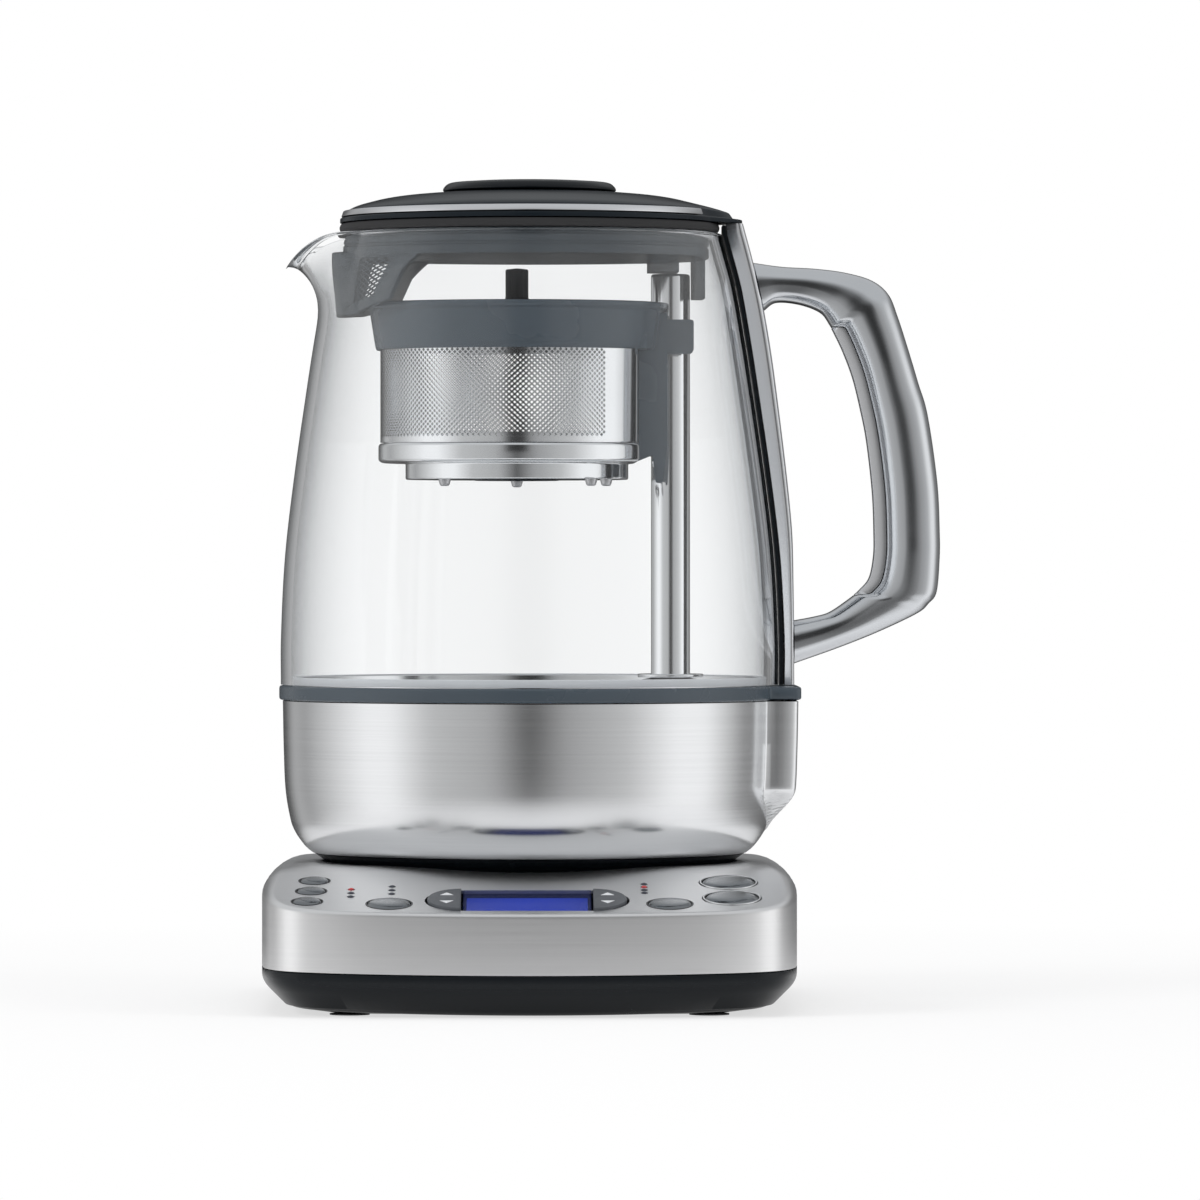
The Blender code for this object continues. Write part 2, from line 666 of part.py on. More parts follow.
SPINE_REACH = GLASS_RADIUS + SPINE_PROUD
HANDLE_TOP = GLASS_TOP - HANDLE_TOP_DROP
HANDLE_BOTTOM = GLASS_BOTTOM + HANDLE_LIFT
HANDLE_SCREW_HEIGHT = HANDLE_BOTTOM + HANDLE_SCREW_LIFT

# Depths below the panel's outer face, along its normal
FLANGE_TOP = -(SHELL_WALL + GAP)
RING_FLANGE_BOTTOM = FLANGE_TOP - RING_FLANGE_THICKNESS
LARGE_FLANGE_TOP = RING_FLANGE_BOTTOM - GAP
CARRIER_TOP = LARGE_FLANGE_TOP - BUTTON_FLANGE_THICKNESS - BUTTON_TRAVEL - GAP
CARRIER_BOTTOM = CARRIER_TOP - CARRIER_THICKNESS
CONTROL_BOARD_TOP = CARRIER_BOTTOM - GAP
STEM_BOTTOM = CONTROL_BOARD_TOP + BUTTON_TRAVEL + SLIDE_GAP


def make_materials():
    """All finishes, by the name that the pieces use."""
    return {
        "steel": make_material("brushed_steel", (0.62, 0.63, 0.64), 0.32, 1.0),
        "bright": make_material("polished_steel", (0.74, 0.75, 0.76), 0.12, 1.0),
        "grey": make_material("grey_plastic", (0.13, 0.15, 0.17), 0.42, 0.0),
        "dark": make_material("dark_plastic", (0.035, 0.038, 0.042), 0.38, 0.0),
        "black": make_material("black_plastic", (0.012, 0.013, 0.015), 0.30, 0.0),
        "rubber": make_material("rubber", (0.03, 0.03, 0.03), 0.8, 0.0),
        "glass": make_material("clear_glass", (0.90, 0.93, 0.94), 0.04, 0.0),
        "smoke": make_material("smoked_plastic", (0.22, 0.25, 0.28), 0.25, 0.0),
        "display": make_material("blue_display", (0.03, 0.09, 0.50), 0.2, 0.0),
        "board": make_material("circuit_board", (0.03, 0.16, 0.07), 0.5, 0.0),
        "copper": make_material("copper", (0.72, 0.42, 0.25), 0.35, 1.0),
        "magnet": make_material("magnet", (0.30, 0.30, 0.31), 0.4, 1.0),
        "silicone": make_material("silicone", (0.70, 0.71, 0.72), 0.6, 0.0),
        "light": make_material("light_guide", (0.55, 0.10, 0.08), 0.3, 0.0),
    }


# Power base

def shell_rings(inset, drop):
    """Rings of one face of the shell, from its lower edge up and in to the seat's hole."""
    first_loft = 3 + len(SHOULDER_TURN_SHARES)
    rings = [[] for _ in range(first_loft + len(SHELL_LOFT_SHARES))]
    for angle in base_angles():
        edge = plan_point(angle, inset)
        run = ease((edge.y + AXIS_TO_FRONT) / SIDE_RADIUS_RUN)
        radius = CREASE_RADIUS + (SIDE_RADIUS - CREASE_RADIUS) * run
        radius = max(radius - inset, INNER_RADIUS_LEAST)
        shoulder = plan_point(angle, inset + radius)
        shoulder_height = top_height(shoulder.y) - drop
        rings[0].append(at_height(edge, split_height(edge) + GAP))
        rings[1].append(at_height(edge, shoulder_height - radius))
        for index, share in enumerate(SHOULDER_TURN_SHARES):
            turn = math.pi / 2 * share
            place = edge.lerp(shoulder, 1 - math.cos(turn))
            rings[2 + index].append(at_height(place, shoulder_height - radius * (1 - math.sin(turn))))
        rings[first_loft - 1].append(at_height(shoulder, shoulder_height))
        hole = shoulder.normalized() * SEAT_HOLE_RADIUS
        for index, share in enumerate(SHELL_LOFT_SHARES):
            place = shoulder.lerp(hole, share)
            rings[first_loft + index].append(at_height(place, top_height(place.y) - drop))
    return rings


def panel_holes(bm):
    """Holes of the panel, in the panel's own plane."""
    depth = SHELL_WALL + OVERRUN
    holes = [(place, SMALL_BUTTON_RADIUS + GAP, SMALL_SEGMENTS) for place in SMALL_BUTTON_PLACES.values()]
    holes += [(place, ROUND_BUTTON_RADIUS + GAP, MID_SEGMENTS) for place in ROUND_BUTTON_PLACES.values()]
    ring_hole = LARGE_BUTTON_RADIUS + RING_WIDTH + 2 * GAP
    holes += [(place, ring_hole, MID_SEGMENTS) for place in LARGE_BUTTON_PLACES.values()]
    lights = TEA_LIGHT_PLACES + STRENGTH_LIGHT_PLACES
    holes += [(place, LIGHT_RADIUS + GAP, TINY_SEGMENTS) for place in lights]
    for place, radius, segments in holes:
        cylinder(bm, radius, -depth, depth, segments, place)


def display_outline():
    """Outline of the display with its rounded ends."""
    straight = DISPLAY_LENGTH / 2 - DISPLAY_END
    width = DISPLAY_WIDTH / 2
    end = DISPLAY_END
    points = []
    for side in (1, -1):
        for step in range(SMALL_SEGMENTS // 2 + 1):
            turn = math.pi * step / (SMALL_SEGMENTS // 2) - math.pi / 2
            points.append((side * (straight + end * math.cos(turn)), side * width * math.sin(turn)))
    return points


def rocker_outline(side):
    """Outline of one rocker key: the rounded end of the display."""
    straight = DISPLAY_LENGTH / 2 - DISPLAY_END + GAP
    width = DISPLAY_WIDTH / 2 - ROCKER_TILT_CLEARANCE
    end = DISPLAY_END - 2 * GAP - ROCKER_TILT_CLEARANCE
    points = []
    for step in range(SMALL_SEGMENTS // 2 + 1):
        turn = math.pi * step / (SMALL_SEGMENTS // 2) - math.pi / 2
        points.append((side * (straight + end * math.cos(turn)), side * width * math.sin(turn)))
    return points


def build_base(finish, axis, panel):
    """Tray, shell, seat, socket, boards, screws, feet and gland."""
    shell = add_object("base_shell", loft(shell_rings(0.0, 0.0)
                       + list(reversed(shell_rings(SHELL_WALL, SHELL_WALL / math.cos(PANEL_ANGLE)))),
                       closed=True), finish["steel"], axis)
    holes = bmesh.new()
    panel_holes(holes)
    boolean(shell, "DIFFERENCE", holes, panel)
    slot = [(x + DISPLAY_PLACE[0], y + DISPLAY_PLACE[1]) for x, y in display_outline()]
    boolean(shell, "DIFFERENCE", prism(slot, -SHELL_WALL - OVERRUN, SHELL_WALL + OVERRUN), panel)
    back = plan_point(math.pi / 2, 0.0).y
    gland_hole = bmesh.new()
    along_y = Matrix.Translation((0.0, back, GLAND_HEIGHT)) @ Matrix.Rotation(math.pi / 2, 4, "X")
    bmesh.ops.create_cone(gland_hole, cap_ends=True, segments=SMALL_SEGMENTS, radius1=GLAND_RADIUS + GAP,
                          radius2=GLAND_RADIUS + GAP, depth=2 * OVERRUN, matrix=along_y)
    boolean(shell, "DIFFERENCE", gland_hole, axis)

    gland_profile = [
        (GLAND_BORE_RADIUS, -GLAND_LENGTH), (GLAND_RADIUS + GLAND_FLANGE, -GLAND_LENGTH),
        (GLAND_RADIUS + GLAND_FLANGE, -SHELL_WALL - GAP), (GLAND_RADIUS, -SHELL_WALL - GAP),
        (GLAND_RADIUS, -GAP), (GLAND_BORE_RADIUS, -GAP),
    ]
    gland = add_object("cord_gland", turned(gland_profile, SMALL_SEGMENTS), finish["dark"], axis,
                       (0.0, back, GLAND_HEIGHT))
    gland.rotation_euler = (-math.pi / 2, 0.0, 0.0)

    build_tray(finish, axis)
    build_seat(finish, axis)
    build_power_board(finish, axis)


def build_tray(finish, axis):
    """Lower tray with its chamfered edge, its lip inside the shell, and its holes and pillars."""
    lip_inset = SHELL_WALL + GAP
    layers = [[] for _ in range(9)]
    for angle in base_angles():
        flat = plan_point(angle, TRAY_FLAT_INSET)
        low = plan_point(angle, TRAY_CHAMFER)
        side = plan_point(angle, 0.0)
        lip = plan_point(angle, lip_inset)
        inner = plan_point(angle, lip_inset + TRAY_WALL)
        inner_low = plan_point(angle, TRAY_CHAMFER + TRAY_WALL)
        split = split_height(side)
        layers[0].append(at_height(flat, FOOT_HEIGHT))
        layers[1].append(at_height(low, FOOT_HEIGHT + corner_lift(low, TRAY_BOTTOM_RISE)))
        layers[2].append(at_height(side, FOOT_HEIGHT + TRAY_CHAMFER))
        layers[3].append(at_height(side, split))
        layers[4].append(at_height(lip, split))
        layers[5].append(at_height(lip, split + TRAY_LIP))
        layers[6].append(at_height(inner, split + TRAY_LIP))
        layers[7].append(at_height(inner, FOOT_HEIGHT + TRAY_CHAMFER + TRAY_WALL))
        layers[8].append(at_height(inner_low, TRAY_FLOOR + TRAY_BOTTOM_RISE))
    floor = [at_height(plan_point(angle, TRAY_FLAT_INSET), TRAY_FLOOR) for angle in base_angles()]
    tray = add_object("base_tray", loft(layers + [floor]), finish["black"], axis)

    pillars = bmesh.new()
    for x, y in power_pillar_places():
        cylinder(pillars, POWER_PILLAR_RADIUS, TRAY_FLOOR - TRAY_WALL / 2, TRAY_FLOOR + POWER_BOARD_LIFT,
                 TINY_SEGMENTS, (x, y))
    boolean(tray, "UNION", pillars, axis)
    screw_holes = bmesh.new()
    for x, y in seat_screw_places():
        cylinder(screw_holes, SCREW_SHANK_RADIUS + GAP, -OVERRUN, TRAY_FLOOR + OVERRUN, TINY_SEGMENTS,
                 (x, y))
    boolean(tray, "DIFFERENCE", screw_holes, axis)
    head_holes = bmesh.new()
    for x, y in seat_screw_places():
        cylinder(head_holes, SCREW_HEAD_RADIUS + GAP, -OVERRUN, head_top() + GAP, TINY_SEGMENTS, (x, y))
    boolean(tray, "DIFFERENCE", head_holes, axis)

    corners = (("back_right", 1, 1), ("back_left", -1, 1), ("front_left", -1, -1), ("front_right", 1, -1))
    for name, x_side, y_side in corners:
        foot = bmesh.new()
        cylinder(foot, FOOT_RADIUS, 0.0, FOOT_HEIGHT - GAP)
        x = x_side * FOOT_PLACE_SHARES[0] * BASE_WIDTH / 2
        y = BASE_MIDDLE_Y + y_side * FOOT_PLACE_SHARES[1] * BASE_DEPTH / 2
        add_object(f"foot_{name}", foot, finish["rubber"], axis, (x, y, 0.0))
    for index, (x, y) in enumerate(seat_screw_places()):
        add_object(f"tray_screw_{index + 1}", turned(tray_screw_profile(), TINY_SEGMENTS), finish["steel"],
                   axis, (x, y, 0.0))


def head_top():
    """Top face of a tray screw's head, sunk in the tray."""
    return FOOT_HEIGHT + SCREW_HEAD_DEPTH + SCREW_HEAD_HEIGHT - GAP


def tray_screw_profile():
    """Outline of a screw that holds the tray to the seat."""
    shank_top = TRAY_FLOOR + SCREW_REACH
    return [
        (0.0, FOOT_HEIGHT + SCREW_HEAD_DEPTH), (SCREW_HEAD_RADIUS, FOOT_HEIGHT + SCREW_HEAD_DEPTH),
        (SCREW_HEAD_RADIUS, head_top()), (SCREW_SHANK_RADIUS, head_top()),
        (SCREW_SHANK_RADIUS, shank_top), (0.0, shank_top + SCREW_SHANK_RADIUS),
    ]


def seat_screw_places():
    """The four screws between the seat's bosses and the tray, on a circle about the jug's axis."""
    quarter_turns = [turn + math.pi / 4 for turn in angles(4)]
    return [(SEAT_BOSS_CIRCLE * math.cos(turn), SEAT_BOSS_CIRCLE * math.sin(turn)) for turn in quarter_turns]


def power_pillar_places():
    """Pillars under the corners of the power board."""
    x = POWER_BOARD_WIDTH / 2 - POWER_PILLAR_INSET
    y = POWER_BOARD_DEPTH / 2 - POWER_PILLAR_INSET
    return [(-x, -y), (x, -y), (-x, y), (x, y)]


def build_seat(finish, axis):
    """Dished seat for the jug, on four bosses, with the socket in its middle."""
    flange_radius = SEAT_HOLE_RADIUS + SEAT_FLANGE
    flange_top = top_height(-flange_radius) - SHELL_WALL / math.cos(PANEL_ANGLE) - GAP
    bottom = SEAT_FLOOR - SEAT_THICKNESS
    hole = SOCKET_RADIUS + GAP
    dish = SEAT_HOLE_RADIUS - SEAT_DISH_INSET
    profile = [
        (hole, bottom), (SEAT_HOLE_RADIUS + SEAT_FLANGE / 2, bottom),
        (SEAT_HOLE_RADIUS + SEAT_FLANGE / 2, flange_top - SEAT_FLANGE_HEIGHT),
        (flange_radius, flange_top - SEAT_FLANGE_HEIGHT), (flange_radius, flange_top),
        (SEAT_HOLE_RADIUS - SEAT_WALL_INSET, flange_top), (dish, SEAT_FLOOR), (hole, SEAT_FLOOR),
    ]
    seat = add_object("seat_ring", turned(profile, JUG_SEGMENTS), finish["black"], axis)
    bosses = bmesh.new()
    for place in seat_screw_places():
        cylinder(bosses, SEAT_BOSS_RADIUS, TRAY_FLOOR + GAP, SEAT_FLOOR - SEAT_THICKNESS / 2, TINY_SEGMENTS,
                 place)
    boolean(seat, "UNION", bosses, axis)
    bores = bmesh.new()
    bore_top = TRAY_FLOOR + SCREW_REACH + SCREW_SHANK_RADIUS + SCREW_BORE_EXTRA
    for place in seat_screw_places():
        cylinder(bores, SCREW_SHANK_RADIUS + GAP, TRAY_FLOOR - OVERRUN, bore_top, TINY_SEGMENTS, place)
    boolean(seat, "DIFFERENCE", bores, axis)

    socket_bottom = SEAT_FLOOR - SOCKET_DEPTH
    socket = [
        (0.0, socket_bottom), (SOCKET_RADIUS + SOCKET_FLANGE, socket_bottom),
        (SOCKET_RADIUS + SOCKET_FLANGE, bottom - GAP), (SOCKET_RADIUS, bottom - GAP),
        (SOCKET_RADIUS, SEAT_FLOOR + SOCKET_BEND), (SOCKET_TOP_RADIUS, SOCKET_TOP),
        (SOCKET_GROOVE_RADIUS, SOCKET_TOP), (SOCKET_GROOVE_RADIUS, SOCKET_GROOVE_FLOOR),
        (SOCKET_PIN_RADIUS, SOCKET_GROOVE_FLOOR), (SOCKET_PIN_RADIUS, SOCKET_PIN_TOP), (0.0, SOCKET_PIN_TOP),
    ]
    add_object("base_connector", turned(socket, MID_SEGMENTS), finish["dark"], axis)


def build_power_board(finish, axis):
    """Power board with its transformer, on the tray's pillars."""
    width, depth, thickness = POWER_BOARD_WIDTH, POWER_BOARD_DEPTH, POWER_BOARD_THICKNESS
    low = TRAY_FLOOR + POWER_BOARD_LIFT + GAP
    plate = bmesh.new()
    box(plate, (-width / 2, -depth / 2, low), (width / 2, depth / 2, low + thickness))
    board = add_object("power_board", plate, finish["board"], axis)
    block = bmesh.new()
    x, y = TRANSFORMER_PLACE
    box(block, (x - TRANSFORMER_SIZE[0] / 2, y - TRANSFORMER_SIZE[1] / 2, low + thickness / 2),
        (x + TRANSFORMER_SIZE[0] / 2, y + TRANSFORMER_SIZE[1] / 2, low + thickness + TRANSFORMER_SIZE[2]))
    boolean(board, "UNION", block, axis)


# Control panel

def button_profile(radius, flange_top):
    """Outline of a round button: domed cap, flange under the panel, and stem."""
    profile = [(radius * across, BUTTON_PROUD * up) for across, up in BUTTON_DOME_SHARES]
    low = flange_top - BUTTON_FLANGE_THICKNESS
    flange = radius + BUTTON_FLANGE
    profile += [(radius, flange_top), (flange, flange_top), (flange, low)]
    profile += [(STEM_RADIUS, low), (STEM_RADIUS, STEM_BOTTOM), (0.0, STEM_BOTTOM)]
    return profile


def build_buttons(finish, panel):
    """Seven push buttons, and the bright rings round the two large ones."""
    groups = (
        (SMALL_BUTTON_PLACES, SMALL_BUTTON_RADIUS, FLANGE_TOP),
        (ROUND_BUTTON_PLACES, ROUND_BUTTON_RADIUS, FLANGE_TOP),
        (LARGE_BUTTON_PLACES, LARGE_BUTTON_RADIUS, LARGE_FLANGE_TOP),
    )
    for places, radius, flange_top in groups:
        for name, (x, y) in places.items():
            cap = turned(button_profile(radius, flange_top), SMALL_SEGMENTS)
            add_object(name, cap, finish["steel"], panel, (x, y, 0.0))
    inner = LARGE_BUTTON_RADIUS + GAP
    outer = inner + RING_WIDTH
    ring = [
        (inner, WINDOW_PROUD), (outer, WINDOW_PROUD), (outer, FLANGE_TOP), (outer + RING_FLANGE, FLANGE_TOP),
        (outer + RING_FLANGE, RING_FLANGE_BOTTOM), (inner, RING_FLANGE_BOTTOM),
    ]
    for name, (x, y) in LARGE_BUTTON_PLACES.items():
        ring_name = name.replace("_button", "_ring")
        add_object(ring_name, turned(ring, MID_SEGMENTS), finish["bright"], panel, (x, y, 0.0))


def build_display(finish, panel):
    """Window, blue display under it, and the two rocker keys at its ends."""
    x, y = DISPLAY_PLACE
    half = DISPLAY_LENGTH / 2 - DISPLAY_END - GAP
    width = DISPLAY_WIDTH / 2 - GAP
    window = bmesh.new()
    window_bottom = WINDOW_PROUD - WINDOW_THICKNESS
    box(window, (-half, -width, window_bottom), (half, width, WINDOW_PROUD))
    add_object("display_window", window, finish["smoke"], panel, (x, y, 0.0))
    lcd = bmesh.new()
    box(lcd, (LCD_INSET - half, LCD_INSET - width, CARRIER_TOP + GAP),
        (half - LCD_INSET, width - LCD_INSET, window_bottom - GAP))
    add_object("lcd_panel", lcd, finish["display"], panel, (x, y, 0.0))
    for name, side in (("left_rocker", -1), ("right_rocker", 1)):
        key = prism(rocker_outline(side), ROCKER_PROUD - ROCKER_DEPTH, ROCKER_PROUD)
        add_object(name, key, finish["grey"], panel, (x, y, 0.0))


def build_lights(finish, panel):
    """Light guides: small dots through the panel on a plate behind it."""
    rows = (("tea_type_lights", TEA_LIGHT_PLACES), ("strength_lights", STRENGTH_LIGHT_PLACES))
    for name, places in rows:
        left = min(x for x, _ in places)
        right = max(x for x, _ in places)
        margin = LIGHT_PLATE_MARGIN
        left_rows = [y for x, y in places if x == left]
        right_rows = [y for x, y in places if x == right]
        outline = [
            (left - margin, min(left_rows) - margin), (right + margin, min(right_rows) - margin),
            (right + margin, max(right_rows) + margin), (left - margin, max(left_rows) + margin),
        ]
        guide = add_object(name, prism(outline, FLANGE_TOP - LIGHT_PLATE_THICKNESS, FLANGE_TOP),
                           finish["light"], panel)
        dots = bmesh.new()
        for place in places:
            cylinder(dots, LIGHT_RADIUS, FLANGE_TOP - LIGHT_PLATE_THICKNESS / 2, WINDOW_PROUD, TINY_SEGMENTS,
                     place)
        boolean(guide, "UNION", dots, panel)


def button_places():
    """Places of all push buttons on the panel."""
    groups = (SMALL_BUTTON_PLACES, ROUND_BUTTON_PLACES, LARGE_BUTTON_PLACES)
    return [place for group in groups for place in group.values()]


def build_carrier(finish, axis, panel):
    """Plate that guides the stems, on four legs, with the control board under it."""
    plate = bmesh.new()
    box(plate, (-CARRIER_HALF_WIDTH, CARRIER_LOW_EDGE, CARRIER_BOTTOM),
        (CARRIER_HALF_WIDTH, CARRIER_HIGH_EDGE, CARRIER_TOP))
    carrier = add_object("control_carrier", plate, finish["black"], panel)
    legs = bmesh.new()
    clearances = bmesh.new()
    leg_places = [(x, row - AXIS_TO_FRONT)
                  for row in LEG_ROWS_BEHIND_FRONT for x in (-LEG_SPREAD, LEG_SPREAD)]
    for x, y in leg_places:
        top = top_height(y) + (CARRIER_TOP + CARRIER_BOTTOM) / 2
        cylinder(legs, LEG_RADIUS, TRAY_FLOOR + GAP, top, TINY_SEGMENTS, (x, y))
        cylinder(clearances, LEG_RADIUS + SLIDE_GAP, TRAY_FLOOR, BASE_TOP, TINY_SEGMENTS, (x, y))
    boolean(carrier, "UNION", legs, axis)
    bores = bmesh.new()
    for place in button_places():
        cylinder(bores, STEM_RADIUS + GAP, CARRIER_BOTTOM - OVERRUN, CARRIER_TOP + OVERRUN, TINY_SEGMENTS,
                 place)
    boolean(carrier, "DIFFERENCE", bores, panel)

    inset = CONTROL_BOARD_INSET
    board = bmesh.new()
    half = CARRIER_HALF_WIDTH - inset
    box(board, (-half, CARRIER_LOW_EDGE + inset, CONTROL_BOARD_TOP - CONTROL_BOARD_THICKNESS),
        (half, CARRIER_HIGH_EDGE - inset, CONTROL_BOARD_TOP))
    control = add_object("control_board", board, finish["board"], panel)
    boolean(control, "DIFFERENCE", clearances, axis)


# Jug

def build_jug(finish, axis):
    """Plug half, bottom, steel body, collar, floor and glass."""
    inner = SOCKET_RADIUS + COUPLER_CLEARANCE
    wall = inner + COUPLER_WALL
    plate_low = SOCKET_PIN_TOP + SLIDE_GAP
    tube = (SOCKET_PIN_RADIUS + SLIDE_GAP, SOCKET_GROOVE_RADIUS - SLIDE_GAP)
    tube_low = SOCKET_GROOVE_FLOOR + 2 * SLIDE_GAP
    low = SEAT_FLOOR + GAP
    coupler = [
        (0.0, plate_low + COUPLER_PLATE), (wall + COUPLER_FLANGE, plate_low + COUPLER_PLATE),
        (wall + COUPLER_FLANGE, plate_low - GAP), (wall, plate_low - GAP), (wall, low), (inner, low),
        (inner, plate_low), (tube[1], plate_low), (tube[1], tube_low), (tube[0], tube_low),
        (tube[0], plate_low), (0.0, plate_low),
    ]
    add_object("jug_coupler", turned(coupler, MID_SEGMENTS), finish["dark"], axis)

    edge = body_radius(BODY_BOTTOM)
    hole = wall + GAP
    floor = low + BOTTOM_RING_WALL
    hub_top = plate_low - 2 * GAP
    bottom = [
        (hole, low), (BOTTOM_RING_RADIUS - BOTTOM_RING_WALL, low),
        (BOTTOM_RING_RADIUS, low + BOTTOM_RING_WALL), (BOTTOM_RING_RADIUS, BOTTOM_RING_HEIGHT),
        (edge, BODY_BOTTOM - GAP), (edge - BOTTOM_RING_WALL, BODY_BOTTOM - GAP),
        (BOTTOM_RING_RADIUS - BOTTOM_RING_WALL, BOTTOM_RING_HEIGHT),
        (BOTTOM_RING_RADIUS - BOTTOM_RING_WALL, floor), (hole + BOTTOM_RING_WALL, floor),
        (hole + BOTTOM_RING_WALL, hub_top), (hole, hub_top),
    ]
    add_object("body_bottom", turned(bottom, JUG_SEGMENTS), finish["black"], axis)

    rings = []
    for inset in (0.0, BODY_WALL):
        side = []
        for share in BODY_RING_SHARES:
            height = BODY_BOTTOM + (BODY_TOP - BODY_BOTTOM) * share
            grown = ease((share - BOSS_START_SHARE) / (BOSS_FULL_SHARE - BOSS_START_SHARE))
            half_width = BOSS_HALF_WIDTH * math.sqrt(grown) - inset
            radius = body_radius(height) - inset
            side.append([lobed_point(angle, radius, BOSS_REACH * grown, half_width, height)
                         for angle in angles(JUG_SEGMENTS)])
        rings.append(side)
    body = loft(rings[0] + list(reversed(rings[1])), closed=True)
    add_object("body_shell", body, finish["steel"], axis)

    ledge = COLLAR_BOTTOM + COLLAR_LEDGE
    seat = PLATE_RADIUS + SLIDE_GAP
    lobes = [
        (COLLAR_RADIUS - COLLAR_ROUNDING, COLLAR_BOTTOM), (COLLAR_RADIUS, COLLAR_BOTTOM + COLLAR_ROUNDING),
        (COLLAR_RADIUS, COLLAR_TOP - COLLAR_ROUNDING), (COLLAR_RADIUS - COLLAR_ROUNDING, COLLAR_TOP),
    ]
    rounds = [
        (seat, COLLAR_TOP), (seat, ledge), (COLLAR_LEDGE_RADIUS, ledge), (COLLAR_LEDGE_RADIUS, COLLAR_BOTTOM),
    ]
    collar_rings = [[lobed_point(angle, radius, COLLAR_REACH, BOSS_HALF_WIDTH, height)
                     for angle in angles(JUG_SEGMENTS)] for radius, height in lobes]
    collar_rings += [[lobed_point(angle, radius, 0.0, 0.0, height) for angle in angles(JUG_SEGMENTS)]
                     for radius, height in rounds]
    add_object("collar_ring", loft(collar_rings, closed=True), finish["grey"], axis)

    build_floor(finish, axis)
    build_glass(finish, axis)


def build_floor(finish, axis):
    """Heated floor with its upstand, seal, element and sensor."""
    inside = PLATE_RADIUS - PLATE_WALL
    plate = [
        (0.0, PLATE_BOTTOM), (PLATE_RADIUS, PLATE_BOTTOM), (PLATE_RADIUS, PLATE_TOP + PLATE_UPSTAND),
        (inside, PLATE_TOP + PLATE_UPSTAND), (inside, PLATE_TOP), (0.0, PLATE_TOP),
    ]
    floor = add_object("heater_plate", turned(plate, JUG_SEGMENTS), finish["bright"], axis)
    hole = bmesh.new()
    cylinder(hole, SCREW_RADIUS + THREAD_DEPTH + SLIDE_GAP, PLATE_BOTTOM - OVERRUN, PLATE_TOP + OVERRUN,
             TINY_SEGMENTS, (POST_PLACE, 0.0))
    boolean(floor, "DIFFERENCE", hole, axis)

    seal_inner = PLATE_RADIUS + SLIDE_GAP
    seal_outer = GLASS_RADIUS - GLASS_WALL - SLIDE_GAP
    seal = [
        (seal_inner, GLASS_BOTTOM), (seal_outer, GLASS_BOTTOM), (seal_outer, GLASS_BOTTOM + SEAL_HEIGHT),
        (seal_inner, GLASS_BOTTOM + SEAL_HEIGHT),
    ]
    add_object("glass_seal", turned(seal, JUG_SEGMENTS), finish["silicone"], axis)

    middle = PLATE_BOTTOM - GAP - ELEMENT_RADIUS
    tube = [(ELEMENT_CIRCLE + ELEMENT_RADIUS * math.cos(turn), middle + ELEMENT_RADIUS * math.sin(turn))
            for turn in angles(TUBE_SEGMENTS)]
    add_object("heating_element", turned(tube, MID_SEGMENTS), finish["copper"], axis)
    sensor = bmesh.new()
    cylinder(sensor, SENSOR_RADIUS, PLATE_BOTTOM - GAP - SENSOR_HEIGHT, PLATE_BOTTOM - GAP)
    add_object("temperature_sensor", sensor, finish["dark"], axis)


def build_glass(finish, axis):
    """Glass wall of the jug, with the spout drawn out of its rim."""
    skins = []
    for inset in (0.0, GLASS_WALL):
        side = []
        for share in GLASS_RING_SHARES:
            height = GLASS_BOTTOM + (GLASS_TOP - GLASS_BOTTOM) * share
            drawn = min(max((height - SPOUT_START) / (GLASS_TOP - SPOUT_START), 0.0), 1.0)
            ring = []
            for angle in angles(JUG_SEGMENTS):
                weight = bell(angle - math.pi, SPOUT_HALF_ANGLE)
                radius = glass_radius(height) - inset + SPOUT_REACH * weight * drawn ** SPOUT_CURVE
                drop = SPOUT_DROP * weight * drawn
                ring.append(Vector((radius * math.cos(angle), radius * math.sin(angle), height - drop)))
            side.append(ring)
        skins.append(side)
    add_object("jug_glass", loft(skins[0] + list(reversed(skins[1])), closed=True), finish["glass"], axis)


